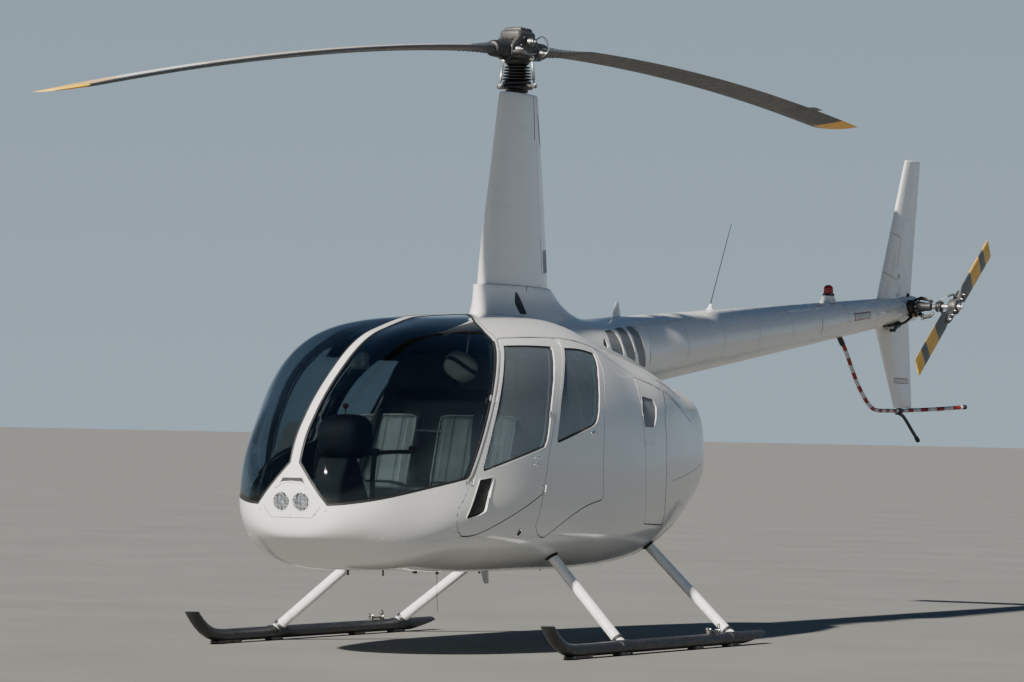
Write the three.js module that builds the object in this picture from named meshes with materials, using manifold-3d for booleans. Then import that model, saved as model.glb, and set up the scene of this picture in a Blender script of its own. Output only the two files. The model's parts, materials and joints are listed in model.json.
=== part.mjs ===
// Light turbine helicopter parked on its skids, modelled in millimetres, +Z up.
// Modelling frame: rotor axis at x = y = 0, nose towards -Y, the machine's left side at +X.
// The exported group is shifted so that its origin is the bottom centre of the whole machine's box.
import * as THREE from 'three';
import { mergeVertices } from 'three/addons/utils/BufferGeometryUtils.js';
import Module from 'manifold-3d';

const wasm = await Module();
wasm.setup();

// ---------------------------------------------------------------- driving dimensions
const CENTRE_Y = 734.6;            // middle of the machine's length, from the rotor axis
const GAP = 0.3;                 // between touching pieces
const SEAM = 3;                  // half of the gap round a door or lid
const WALL = 35;                 // thickness of the cabin and cowl walls
const SKIN = 8;                  // outer skin of a door, out to the seam
const RABBET = 12;               // how much further in the door's inner pan stops
const ROTOR_R = 5029;            // main rotor radius
const BLADE_Z = 3378;            // height of the blades at the hub
const DROOP = 359, TEETER = 240; // static droop and nose-down teeter at the tips
const PITCH = 0.075;             // slope of both blades, the edge on the machine's left side up
const CHORD = 256;
const TREAD = 2170;              // skid to skid
const SKID_R = 35, SKID_Z = 45;
const TAIL_HUB = [412, 5835, 2100], TAIL_R = 762, TAIL_CHORD = 138;
const TAIL_DIR = 35.6;           // degrees, tail blade line above the aft direction
const ROTOR_TURN = 1.87;         // degrees, the parked main rotor from the machine's centre line
const BOOM = { y0: 1400, y1: 5770, c0: 1679, slope: 0.0892, r0: 219, taper: 0.0294, wall: 9 };

// cabin body sections: y, bottom z, top z, half width, z of the widest line, exponent below, exponent above
const BODY = [
  [-2520,  848,  848,   0,  848, 2.00, 2.00],
  [-2500,  680,  957, 202,  848, 2.23, 1.96],
  [-2440,  612, 1129, 318,  828, 2.46, 2.09],
  [-2300,  538, 1333, 434,  846, 2.54, 2.28],
  [-2050,  460, 1547, 539,  870, 3.10, 2.53],
  [-1700,  451, 1742, 655,  900, 2.91, 2.93],
  [-1200,  431, 1822, 730,  930, 3.10, 3.10],
  [ -600,  423, 1853, 741,  950, 3.13, 2.90],
  [    0,  420, 1846, 724,  960, 3.12, 2.56],
  [  500,  428, 1739, 674,  970, 2.99, 2.53],
  [ 1000,  456, 1619, 595,  985, 2.63, 3.35],
  [ 1400,  544, 1530, 512, 1000, 2.23, 3.30],
  [ 1700,  656, 1481, 438, 1020, 1.93, 3.60],
  [ 1850,  770, 1420, 353, 1040, 1.81, 2.88],
  [ 1900,  884, 1297, 212, 1050, 1.86, 2.56],
  [ 1910, 1050, 1050,   0, 1050, 2.00, 2.00],
];
// side outlines, columns y, z
const SEAM_B = [[-1091, 700], [-1046, 873], [-1005, 1026], [-962, 1160], [-895, 1290], [-801, 1435], [-650, 1590], [-447, 1727]];
const FRONT_DOOR = [[-1200, 1707], [-1250, 1664], [-1312, 1614], [-1415, 1492], [-1512, 1353], [-1590, 1209], [-1637, 1121], [-1700, 988],
  [-1746, 882], [-1803, 802], [-1817, 745], [-1795, 680], [-1734, 643], [-1631, 647], [-1416, 730], [-1205, 810],
  ...SEAM_B.slice(1), [-823, 1722]];
const REAR_DOOR = [...[...SEAM_B].reverse(), [-1028, 646], [-944, 628], [-748, 725], [-499, 806], [-288, 835], [-300, 999],
  [-290, 1165], [-228, 1388], [-87, 1557], [-10, 1690], [-223, 1716]];
// the front door's top rear corner is cut back so that it swings clear of the rear door
const DOOR_CORNER = [[-522, 1680], [-462, 1722], [-462, 1800], [-492, 1800]];
const FRONT_WINDOW = [[-1212, 1668], [-1316, 1576], [-1416, 1448], [-1541, 1237], [-1636, 1003], [-1626, 988], [-1387, 1045],
  [-1073, 1113], [-1036, 1122], [-1002, 1160], [-921, 1379], [-756, 1576], [-680, 1640], [-650, 1676], [-927, 1677]];
const REAR_WINDOW = [[-487, 1672], [-640, 1559], [-725, 1470], [-799, 1381], [-850, 1270], [-890, 1156], [-875, 1146],
  [-659, 1191], [-418, 1240], [-362, 1264], [-328, 1308], [-222, 1498], [-95, 1612], [-68, 1652], [-270, 1674]];
const COWL_DOOR = [[500, 1528], [400, 1400], [352, 1242], [345, 1100], [350, 950], [372, 800], [420, 690], [844, 677],
  [800, 740], [754, 823], [750, 1031], [763, 1285], [883, 1459]];
const WINDSHIELD_SIDE = [[-2800, 739], [-2489, 801], [-1745, 949], [-1674, 1087], [-1613, 1209], [-1541, 1343], [-1456, 1477],
  [-1367, 1586], [-1280, 1668], [-1258, 1690], [-2800, 1690]];
const WINDSHIELD_TOP = [[0, -606], [58, -680], [284, -1030], [360, -1150], [425, -1212], [482, -1258], [900, -1258], [900, -2800]]; // x, y
const STRIP = 22;                                    // half width of the centre strip
const NOSE_TRIANGLE = [[0, 1048], [-228, 770], [228, 770]]; // x, z
// mast fairing sections: z, centre y, half chord, half thickness
const MAST_FAIRING = [[1900, -8, 425, 170], [1985, 12, 405, 128], [2120, 12, 392, 114], [2400, 18, 350, 102], [2760, 27, 283, 86],
  [3060, 32, 233, 70], [3128, 33, 211, 60]];
// fairing between roof and boom, sections: y, half width, bottom z, top z
const BOOM_FAIRING = [[-300, 60, 1690, 1780], [-150, 140, 1640, 1815], [100, 225, 1580, 1843], [350, 272, 1520, 1858], [650, 298, 1465, 1864],
  [850, 296, 1450, 1867], [1050, 274, 1446, 1877], [1300, 240, 1450, 1895], [1380, 229, 1453, 1900]];
// collar under the mast fairing, with a tail that runs down on to the boom, sections as above
const COLLAR = [[1700, 250, 700, 230], [1800, 225, 672, 212], [1863, 190, 632, 190], [1891, 139, 575, 172], [1920, 105, 535, 158],
  [1949, 70, 500, 148], [1990, 39, 466, 140], [2028, 8, 435, 135]];

// ---------------------------------------------------------------- helpers
const V = (x, y, z) => new THREE.Vector3(x, y, z);
function toSolid(geometry) {
  const g = geometry.clone();
  for (const a of ['normal', 'uv']) if (g.getAttribute(a)) g.deleteAttribute(a);
  const m = mergeVertices(g, 1e-4);
  return new wasm.Manifold(new wasm.Mesh({ numProp: 3,
    vertProperties: new Float32Array(m.getAttribute('position').array),
    triVerts: new Uint32Array(m.index.array) }));
}
function toGeometry(solid) {
  const m = solid.getMesh();
  const g = new THREE.BufferGeometry();
  const pos = new Float32Array((m.vertProperties.length / m.numProp) * 3);
  for (let i = 0; i < pos.length / 3; i++) for (let k = 0; k < 3; k++) pos[3 * i + k] = m.vertProperties[m.numProp * i + k];
  g.setAttribute('position', new THREE.BufferAttribute(pos, 3));
  g.setIndex(new THREE.BufferAttribute(new Uint32Array(m.triVerts), 1));
  g.computeVertexNormals();
  return g;
}
// closed solid through rings of points, one after the other; a ring of one point closes to an apex
function loft(rings) {
  const pos = [], tri = [], start = [];
  for (const r of rings) { start.push(pos.length / 3); for (const p of r) pos.push(p.x, p.y, p.z); }
  for (let i = 0; i + 1 < rings.length; i++) {
    const A = start[i], B = start[i + 1], na = rings[i].length, nb = rings[i + 1].length, n = Math.max(na, nb);
    for (let k = 0; k < n; k++) {
      const l = (k + 1) % n;
      if (na > 1 && nb > 1) tri.push(A + k, A + l, B + l, A + k, B + l, B + k);
      else if (na === 1) tri.push(A, B + l, B + k);
      else tri.push(A + k, A + l, B);
    }
  }
  for (const [i, dir] of [[0, -1], [rings.length - 1, 1]]) {
    if (rings[i].length === 1) continue;
    const c = new THREE.Vector3(); for (const p of rings[i]) c.add(p); c.divideScalar(rings[i].length);
    const ci = pos.length / 3; pos.push(c.x, c.y, c.z);
    const n = rings[i].length, s = start[i];
    for (let k = 0; k < n; k++) { const l = (k + 1) % n; if (dir > 0) tri.push(ci, s + k, s + l); else tri.push(ci, s + l, s + k); }
  }
  let vol = 0;
  const P = (i) => V(pos[3 * i], pos[3 * i + 1], pos[3 * i + 2]);
  for (let i = 0; i < tri.length; i += 3) vol += P(tri[i]).dot(P(tri[i + 1]).cross(P(tri[i + 2])));
  if (vol < 0) for (let i = 0; i < tri.length; i += 3) [tri[i], tri[i + 1]] = [tri[i + 1], tri[i]];
  const g = new THREE.BufferGeometry();
  g.setAttribute('position', new THREE.Float32BufferAttribute(pos, 3));
  g.setIndex(tri);
  return toSolid(g);
}
function prism(points, lo, hi, basis) {
  const s = new THREE.Shape(points.map(([a, b]) => new THREE.Vector2(a, b)));
  const g = new THREE.ExtrudeGeometry(s, { depth: hi - lo, bevelEnabled: false });
  g.translate(0, 0, lo);
  g.applyMatrix4(new THREE.Matrix4().makeBasis(...basis));
  return toSolid(g);
}
const X = V(1, 0, 0), Y = V(0, 1, 0), Z = V(0, 0, 1);
const alongX = (yz, lo = -1500, hi = 1500) => prism(yz, lo, hi, [Y, Z, X]);
const alongY = (xz, lo, hi) => prism(xz, -hi, -lo, [X, Z, V(0, -1, 0)]);
const alongZ = (xy, lo, hi) => prism(xy, lo, hi, [X, Y, Z]);
const box = (x0, x1, y0, y1, z0, z1) => {
  const g = new THREE.BoxGeometry(x1 - x0, y1 - y0, z1 - z0); g.translate((x0 + x1) / 2, (y0 + y1) / 2, (z0 + z1) / 2); return toSolid(g);
};
// cylinder between two points
function rod(a, b, r, r2 = r, sides = 16) {
  const d = b.clone().sub(a), g = new THREE.CylinderGeometry(r2, r, d.length(), sides);
  g.translate(0, d.length() / 2, 0);
  g.applyQuaternion(new THREE.Quaternion().setFromUnitVectors(Y, d.clone().normalize()));
  g.translate(a.x, a.y, a.z);
  return toSolid(g);
}
// tube through points with mitred bends; flat = squash factor across the bend plane
function tube(points, r, sides = 10) {
  const n = points.length, dirs = [];
  for (let i = 0; i < n; i++) {
    const d = new THREE.Vector3();
    if (i > 0) d.add(points[i].clone().sub(points[i - 1]).normalize());
    if (i < n - 1) d.add(points[i + 1].clone().sub(points[i]).normalize());
    dirs.push(d.normalize());
  }
  let u = Math.abs(dirs[0].z) > 0.9 ? V(1, 0, 0) : V(0, 0, 1);
  const rings = [];
  for (let i = 0; i < n; i++) {
    u = u.clone().sub(dirs[i].clone().multiplyScalar(u.dot(dirs[i]))).normalize();
    const w = dirs[i].clone().cross(u);
    const rr = Array.isArray(r) ? r[i] : r, ring = [];
    for (let k = 0; k < sides; k++) {
      const a = (2 * Math.PI * k) / sides;
      ring.push(points[i].clone().add(u.clone().multiplyScalar(rr * Math.cos(a))).add(w.clone().multiplyScalar(rr * Math.sin(a))));
    }
    rings.push(ring);
  }
  return loft(rings);
}
const curve = (pts, n) => new THREE.CatmullRomCurve3(pts.map((p) => V(...p)), false, 'centripetal').getSpacedPoints(n);
// outline moved outwards by d (inwards if negative)
function grow(poly, d) {
  let area = 0;
  poly.forEach(([x, y], i) => { const [a, b] = poly[(i + 1) % poly.length]; area += x * b - a * y; });
  const s = area > 0 ? 1 : -1, n = poly.length, out = [];
  for (let i = 0; i < n; i++) {
    const p = poly[(i + n - 1) % n], q = poly[i], r = poly[(i + 1) % n];
    const e1 = [q[0] - p[0], q[1] - p[1]], e2 = [r[0] - q[0], r[1] - q[1]];
    const l1 = Math.hypot(...e1), l2 = Math.hypot(...e2);
    const n1 = [(s * e1[1]) / l1, (-s * e1[0]) / l1], n2 = [(s * e2[1]) / l2, (-s * e2[0]) / l2];
    let m = [n1[0] + n2[0], n1[1] + n2[1]];
    const k = Math.max(0.35, (m[0] * m[0] + m[1] * m[1]) / 2);
    out.push([q[0] + (d * m[0]) / k, q[1] + (d * m[1]) / k]);
  }
  return out;
}
const mirrored = (solid) => solid.mirror([1, 0, 0]);
const left = box(0.01, 2000, -3000, 3000, 0, 3000), right = box(-2000, -0.01, -3000, 3000, 0, 3000);

// ---------------------------------------------------------------- body surface
function natural(T) {
  const n = T.length, c = T[0].length, M = T.map((r) => r.map(() => 0));
  for (let j = 0; j < c; j++) {
    const cp = Array(n).fill(0), dp = Array(n).fill(0);
    for (let i = 1; i < n - 1; i++) {
      const rhs = 6 * (T[i - 1][j] - 2 * T[i][j] + T[i + 1][j]), den = 4 - cp[i - 1];
      cp[i] = 1 / den; dp[i] = (rhs - dp[i - 1]) / den;
    }
    for (let i = n - 2; i > 0; i--) M[i][j] = dp[i] - cp[i] * M[i + 1][j];
  }
  return M;
}
// shallow valley along the centre strip, between the bulges of the two panes
const ease = (t) => { const k = Math.min(1, Math.max(0, t)); return k * k * (3 - 2 * k); };
const valley = (p) => 28 * ease((p.y + 2470) / 150) * ease((-1200 - p.y) / 400) * Math.exp(-((p.x / 140) ** 2)) * ease((p.z - 700) / 250);
const BODY_M = natural(BODY);
function bodyRow(u) {
  const i = Math.min(BODY.length - 2, Math.floor(u)), t = u - i;
  return BODY[i].map((a, j) => a * (1 - t) + BODY[i + 1][j] * t
    + (((1 - t) ** 3 - (1 - t)) * BODY_M[i][j] + (t ** 3 - t) * BODY_M[i + 1][j]) / 6);
}
function bodyPoint(u, phi) {
  const [y, zb, zt, w, zw, nb, nt] = bodyRow(u), c = Math.cos(phi), s = Math.sin(phi);
  const h = s >= 0 ? zt - zw : zw - zb, n = s >= 0 ? nt : nb;
  if (w < 1e-6 || h < 1e-6) return V(0, y, zw);
  const r = 1 / ((Math.abs(c) / w) ** n + (Math.abs(s) / h) ** n) ** (1 / n);
  return V(r * c, y, zw + r * s);
}
const RINGS = [0.4, 1, 1.6, 2.3, 3, 3.8, 4.6, 5.4, 6.2, 7, 7.8, 8.6, 9.4, 10.2, 11, 11.7, 12.4, 13.1, 13.8, 14.5];
const AROUND = 24;
// the body's outer solid moved inwards by d
function bodySolid(d) {
  const rings = [[V(0, -2520 + d, 848)]];
  for (const u of RINGS) {
    const ring = [];
    for (let k = 0; k < AROUND; k++) {
      const phi = (2 * Math.PI * k) / AROUND, e = 0.02;
      const a = bodyPoint(u + e, phi).sub(bodyPoint(u - e, phi)), b = bodyPoint(u, phi + e).sub(bodyPoint(u, phi - e));
      const n = b.cross(a).normalize(), p = bodyPoint(u, phi);
      if (n.dot(V(p.x, 0, p.z - bodyRow(u)[4])) < 0) n.negate();
      p.addScaledVector(n, -d);
      p.z -= valley(p);
      ring.push(p);
    }
    rings.push(ring);
  }
  rings.push([V(0, 1910 - d, 1050)]);
  return loft(rings);
}
const body0 = bodySolid(0), bodyIn = bodySolid(WALL), bodySkin = bodySolid(SKIN), bodyOut = bodySolid(-GAP);
const shell = body0.subtract(bodyIn), skin = body0.subtract(bodySkin), pan = bodySolid(SKIN - 1).subtract(bodyIn);
const glassShell = bodySolid(5).subtract(bodySolid(10)), shieldShell = bodySolid(3).subtract(bodySolid(9));

// ---------------------------------------------------------------- regions of the body
const upper = alongX([[-2800, 739], [-2489, 801], [-1745, 949], [-1500, 985], [-1300, 930], [-1081, 866], [-1000, 862], [-700, 1100],
  [-200, 1560], [-40, 1675], [-40, 2100], [-2800, 2100]]);
const lower = alongX([[-2800, 300], [-340.3, 300], [-340.3, 861], [-1000, 861.7], [-1081, 865.7], [-1300, 929.7], [-1500, 984.7],
  [-1745, 948.7], [-2489, 800.7], [-2800, 738.7]]);
const aft = alongX([[-340, 300], [-340, 900], [-330, 1165], [-270, 1388], [-150, 1557], [-39.7, 1675], [-39.7, 2100], [2100, 2100],
  [2100, 300]]);
const REAR_EDGE = [[950, 300], [900, 560], [844, 677], [800, 740], [754, 823], [750, 1031], [763, 1285], [883, 1459], [960, 1560], [960, 2100]];
const rear = alongX([...REAR_EDGE, [2100, 2100], [2100, 300]]);
const rearCut = alongX([...REAR_EDGE.map(([y, z]) => [y - GAP, z]), [2100, 2100], [2100, 300]]);
const middle = box(-120, 120, -3000, 3000, 0, 3000);
const openings = alongX(grow(FRONT_DOOR, SEAM)).add(alongX(grow(REAR_DOOR, SEAM))).subtract(middle);
const cowlOpening = alongX(grow(COWL_DOOR, SEAM)).subtract(middle);

// ---------------------------------------------------------------- cabin
const topHalf = WINDSHIELD_TOP, topAll = [...topHalf, ...[...topHalf].reverse().slice(0, -1).map(([x, y]) => [-x, y])];
const strip = box(-STRIP, STRIP, -3000, 0, 300, 2200).add(alongY(NOSE_TRIANGLE, -3000, -2000));
const shieldRegion = alongX(WINDSHIELD_SIDE).add(alongZ(topAll, 1689.9, 2200)).subtract(strip);
const shieldPane = alongX(grow(WINDSHIELD_SIDE, -0.4).map(([y, z]) => [y, z > 1689 ? 1690.4 : z])).add(alongZ(grow(topAll, -0.4), 1690, 2200))
  .subtract(box(-STRIP - 0.4, STRIP + 0.4, -3000, 0, 300, 2200).add(alongY(grow(NOSE_TRIANGLE, 0.4), -3000, -2000)));
const pillarLine = [[-1112, 640], ...SEAM_B, [-375, 1775]];
const pillarStrip = alongX([...pillarLine.map(([y, z]) => [y - 34, z]), ...[...pillarLine].reverse().map(([y, z]) => [y + 34, z])]).subtract(middle);
const pillar = pillarStrip.intersect(bodySolid(43).subtract(bodySolid(70)))
  .add(pillarStrip.intersect(bodySolid(20).subtract(bodySolid(70))).subtract(openings.intersect(body0.subtract(bodySolid(44)))));
const cabinShell = shell.subtract(shieldRegion).subtract(openings).add(pillar);
const lightHoles = rod(V(-59, -2600, 818), V(-59, -2380, 818), 50, 50, 14).add(rod(V(59, -2600, 818), V(59, -2380, 818), 50, 50, 14));
const exhaustBore = rod(V(0, 1700, 1010), V(0, 2100, 930), 108, 108, 18);

const parts = {};
const largest = (s) => { let best = null; for (const p of s.decompose()) if (!best || p.volume() > best.volume()) best = p; return best; };
const put = (name, solid, colour, roughness = 0.4, metalness = 0) => { parts[name] = { solid: largest(solid), colour, roughness, metalness }; };
const WHITE = 0xeef0ee, GREY = 0x6d7072, DARK = 0x1b1d1f, GLASS = 0x20303a, METAL = 0x9a9da0, LEATHER = 0x4b4e52, YELLOW = 0xe8a818, RED = 0x9e1a20;

put('cabin_frame', cabinShell.intersect(upper).subtract(lightHoles), WHITE, 0.25);
put('lower_fuselage', cabinShell.intersect(lower).subtract(lightHoles), WHITE, 0.25);
put('aft_fuselage', shell.intersect(aft).subtract(openings).subtract(rearCut).subtract(cowlOpening), WHITE, 0.25);
put('rear_cowl', shell.intersect(rear).subtract(exhaustBore), WHITE, 0.25);
for (const [side, half] of [['left', left], ['right', right]]) {
  put(`windshield_${side}`, shieldShell.intersect(shieldPane).intersect(half), GLASS, 0.05);
  for (const [name, outline, window] of [['front', FRONT_DOOR, FRONT_WINDOW], ['rear', REAR_DOOR, REAR_WINDOW]]) {
    const door = skin.intersect(alongX(grow(outline, -SEAM))).add(pan.intersect(alongX(grow(outline, -SEAM - RABBET))))
      .subtract(alongX(window)).subtract(middle).subtract(alongX(DOOR_CORNER)).intersect(half);
    put(`${name}_door_${side}`, door, WHITE, 0.25);
    put(`${name}_window_${side}`, glassShell.intersect(alongX(grow(window, -0.4))).subtract(middle).intersect(half), GLASS, 0.05);
  }
  const lid = skin.intersect(alongX(grow(COWL_DOOR, -SEAM))).add(pan.intersect(alongX(grow(COWL_DOOR, -SEAM - RABBET))));
  put(`cowl_door_${side}`, lid.subtract(middle).intersect(half), WHITE, 0.25);
}
put('landing_light_unit', rod(V(-59, -2508, 818), V(-59, -2440, 818), 49.5, 49.5, 14).add(rod(V(59, -2508, 818), V(59, -2440, 818), 49.5, 49.5, 14))
  .intersect(body0).add(box(-84, 84, -2444, -2420, 790, 846)), 0xd8dde0, 0.1, 0.4);

// floor and rear bulkhead lie inside the shell
const inside = bodySolid(WALL + GAP);
const FLOOR = 560, BULKHEAD = -300;
put('cabin_floor', inside.intersect(box(-900, 900, -2200, BULKHEAD - GAP, FLOOR - 20, FLOOR))
  .subtract(bodyIn.subtract(bodySolid(75)).intersect(pillarStrip)), GREY, 0.8);
put('rear_bulkhead', inside.intersect(box(-900, 900, BULKHEAD, BULKHEAD + 25, 300, 1900)), LEATHER, 0.8);

// ---------------------------------------------------------------- cabin furniture
const rounded = (x0, x1, y0, y1, z0, z1, r) => {   // box with rounded vertical corners in the x-z outline
  const p = [];
  for (const [cx, cz, a0] of [[x1 - r, z0 + r, -90], [x1 - r, z1 - r, 0], [x0 + r, z1 - r, 90], [x0 + r, z0 + r, 180]])
    for (let k = 0; k <= 3; k++) { const a = ((a0 + k * 30) * Math.PI) / 180; p.push([cx + r * Math.cos(a), cz + r * Math.sin(a)]); }
  return alongY(p, y0, y1);
};
put('instrument_console', alongX([[-2150, FLOOR + GAP], [-1800, FLOOR + GAP], [-1800, 800], [-1960, 1050], [-2070, 1050], [-2150, 905]], -95, 95)
  .add(rounded(-145, 145, -2070, -1885, 1035, 1282, 75)).intersect(bodySolid(60)), DARK, 0.6);
put('cyclic_control', tube(curve([[0, -1600, FLOOR + 6], [0, -1616, 760], [0, -1616, 960], [0, -1600, 1080]], 4), 14, 8)
  .add(tube(curve([[-250, -1640, 1085], [0, -1600, 1075], [250, -1640, 1085]], 4), 11, 8))
  .add(tube([V(-250, -1640, 1090), V(-262, -1655, 1000), V(-262, -1660, 930)], 15, 8))
  .add(tube([V(250, -1640, 1090), V(262, -1655, 1000), V(262, -1660, 930)], 15, 8)), DARK, 0.5);
// seats: base boxes and the L-shaped pads on them, drawn as side outlines y, z
const FRONT_BASE = [[-1500, FLOOR + GAP], [-1020, FLOOR + GAP], [-1020, 790], [-1480, 810]];
const FRONT_PAD = [[-1500, 812], [-1020, 792], [-905, 1268], [-930, 1296], [-1001, 1284], [-1115, 905], [-1485, 905]];
const REAR_BASE = [[-790, FLOOR + GAP], [BULKHEAD - 2, FLOOR + GAP], [BULKHEAD - 2, 850], [-780, 850]];
const REAR_PAD = [[-800, 851], [BULKHEAD - 2, 851], [BULKHEAD - 2, 1400], [-350, 1415], [-400, 1390], [-440, 945], [-790, 945]];
put('front_seat_base', alongX(FRONT_BASE, 70, 560).add(alongX(FRONT_BASE, -560, -70)).add(box(-80, 80, -1180, -1030, FLOOR + GAP, 760)).intersect(bodySolid(80)), LEATHER, 0.7);
put('front_seat_pad_left', alongX(FRONT_PAD, 62, 548), LEATHER, 0.7);
put('front_seat_pad_right', alongX(FRONT_PAD, -548, -62), LEATHER, 0.7);
put('rear_seat_base', alongX(REAR_BASE, -600, 600).intersect(bodySolid(80)), LEATHER, 0.7);
put('rear_seat_pad', alongX(REAR_PAD, -595, 595), LEATHER, 0.7);

// ---------------------------------------------------------------- engine and exhaust
put('engine_block', box(-240, 240, 380, 1280, 640, 1150), METAL, 0.5, 0.6);
put('exhaust_pipe', rod(V(0, 1600, 1030), V(0, 2010, 948), 100, 100, 18)
  .subtract(rod(V(0, 1590, 1032), V(0, 2020, 946), 94, 94, 18)), 0x5c5148, 0.5, 0.8);

// ---------------------------------------------------------------- fairings on the roof
const egg = (y, a, b, sides, z, sharp) => {      // plan section of the mast fairing: blunt nose, fine tail
  const ring = [];
  for (let k = 0; k < sides; k++) {
    const t = (2 * Math.PI * k) / sides, c = Math.cos(t), s = Math.sin(t);
    ring.push(V(b * s * (1 - sharp * 0.5 * (1 + c)), y + a * c, z));
  }
  return ring;
};
const mastBore = rod(V(0, 0, 2690), V(0, 0, 3300), 46, 46, 20);
const boomC = (y) => BOOM.c0 + (y - BOOM.y0) * BOOM.slope, boomR = (y) => BOOM.r0 - (y - BOOM.y0) * BOOM.taper;
const boomAxis = (y) => V(0, y, boomC(y));
const boomRod = (y0, y1, grown, sides = 24) => rod(boomAxis(y0), boomAxis(y1), boomR(y0) + grown, boomR(y1) + grown, sides);
const fairingRings = BOOM_FAIRING.map(([y, w, zb, zt]) => {
  const ring = [], n = 16, zc = (zb + zt) / 2, h = (zt - zb) / 2;
  for (let k = 0; k < n; k++) {
    const t = (2 * Math.PI * k) / n, c = Math.cos(t), s = Math.sin(t), e = 2.3;
    ring.push(V(w * Math.sign(c) * Math.abs(c) ** (2 / e), y, zc + h * Math.sign(s) * Math.abs(s) ** (2 / e)));
  }
  return ring;
});
const fairingTop = loft(fairingRings);
const mastFull = loft(MAST_FAIRING.map(([z, y, a, b]) => egg(y, a, b, 20, z, 0.35)));
const collar = loft(COLLAR.map(([z, y, a, b]) => egg(y, a, b, 20, z, 0.35)));
put('mast_fairing', mastFull.intersect(box(-900, 900, -900, 900, 2028 + GAP, 3200)).subtract(mastBore), WHITE, 0.25);
put('roof_fairing', fairingTop.add(collar).subtract(bodyOut)
  .subtract(boomRod(1379, 3000, GAP)), WHITE, 0.25);

// ---------------------------------------------------------------- tail boom and tail
const gearboxSolid = (d) => {
  const y = [5770, 5900, 6050, 6110, 6150, 6175], r = [91, 91, 89, 76, 54, 20];
  return loft(y.map((yy, i) => { const ring = []; for (let k = 0; k < 16; k++) { const a = (2 * Math.PI * k) / 16;
    ring.push(V((r[i] + d) * Math.cos(a), yy + (i ? (i === 5 ? d : 0) : -d), boomC(yy) + (r[i] + d) * Math.sin(a))); } return ring; }));
};
put('tail_boom', boomRod(BOOM.y0, BOOM.y1 - GAP, 0).subtract(box(-300, 300, BOOM.y1 - GAP, 7000, 1000, 3000)).subtract(boomRod(BOOM.y0 - 5, BOOM.y1 - 40, -BOOM.wall)).subtract(bodyOut), WHITE, 0.25);
const shaft = rod(V(60, TAIL_HUB[1], TAIL_HUB[2]), V(330, TAIL_HUB[1], TAIL_HUB[2]), 30, 24, 16);
put('tail_gearbox', gearboxSolid(0).add(rod(V(60, TAIL_HUB[1], TAIL_HUB[2]), V(250, TAIL_HUB[1], TAIL_HUB[2]), 42, 34, 16)), WHITE, 0.3);
// fins: rows z, leading edge y, trailing edge y, half thickness
const foil = [[0, 0], [0.04, 0.55], [0.16, 0.9], [0.34, 1], [0.62, 0.72], [1, 0.06]];
const foilRing = (place) => [...foil.map(([c, t]) => place(c, t)), ...[...foil].reverse().slice(0, -1).map(([c, t]) => place(c, -t))];
const fin = (rows) => loft(rows.map(([z, le, te, t]) => foilRing((c, k) => V(k * t, le + c * (te - le), z))));
const boomBig = boomRod(4000, BOOM.y1, GAP), tailBig = boomBig.add(gearboxSolid(GAP));
put('upper_fin', fin([[2000, 5415, 6050, 34], [2150, 5480, 6062, 33], [2620, 5702, 6128, 25], [3060, 5914, 6200, 17], [3109, 5944, 6208, 12]]).subtract(tailBig), WHITE, 0.25);
put('lower_fin', fin([[1408, 5808, 6124, 12], [1450, 5780, 6121, 17], [1980, 5436, 6045, 31], [2100, 5380, 6030, 33]]).subtract(tailBig), WHITE, 0.25);
put('horizontal_stabilizer', loft([[-60, 5330, 5680, 20], [-560, 5352, 5676, 18], [-1020, 5372, 5672, 14], [-1050, 5400, 5655, 8]]
  .map(([x, le, te, t]) => foilRing((c, k) => V(x, le + c * (te - le), 2028 + k * t)))).subtract(tailBig), WHITE, 0.25);
// guard: loop from the boom down past the lower fin and out behind the tail rotor
const GUARD = [[0, 4826, 1862], [0, 4923, 1788], [0, 5045, 1663], [0, 5149, 1563], [0, 5288, 1462], [0, 5396, 1408], [0, 5500, 1388],
  [0, 5700, 1387], [0, 5960, 1390], [30, 6100, 1396], [130, 6249, 1406], [270, 6423, 1424]];
put('tail_guard', tube(curve(GUARD, 26), 14, 8).subtract(boomRod(4000, BOOM.y1, GAP)), RED, 0.4);
put('tail_skid', tube(curve([[0, 5880, 1374], [0, 5990, 1346], [0, 6150, 1252], [0, 6262, 1186]], 6), 12, 10)
  .subtract(tube(curve(GUARD, 26), 14.4, 8)), GREY, 0.5, 0.3);
// tail rotor
const [HX, HY, HZ] = TAIL_HUB;
put('tail_rotor_hub', rod(V(262, HY, HZ), V(HX + 40, HY, HZ), 18, 18, 16)
  .add(rod(V(HX - 32, HY, HZ), V(HX + 32, HY, HZ), 52, 52, 16)), METAL, 0.35, 0.8);
const tilt = (0.6 * Math.PI) / 180;
for (const [name, sgn] of [['upper', 1], ['lower', -1]]) {
  const a = (TAIL_DIR * Math.PI) / 180, dir = V(Math.sin(tilt) * sgn, sgn * Math.cos(a) * Math.cos(tilt), sgn * Math.sin(a) * Math.cos(tilt));
  const ch = V(0, sgn * Math.sin(a), -sgn * Math.cos(a));
  const rings = [[54, 70, 15], [120, 74, 14], [190, TAIL_CHORD, 8], [500, TAIL_CHORD, 7.5], [742, TAIL_CHORD, 7], [TAIL_R, TAIL_CHORD - 14, 4]]
    .map(([r, c, t]) => foilRing((k, v) => V(HX, HY, HZ).addScaledVector(dir, r).addScaledVector(ch, (k - 0.35) * c).add(V(v * t, 0, 0))));
  put(`tail_rotor_blade_${name}`, loft(rings), sgn > 0 ? YELLOW : YELLOW, 0.35);
}
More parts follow.
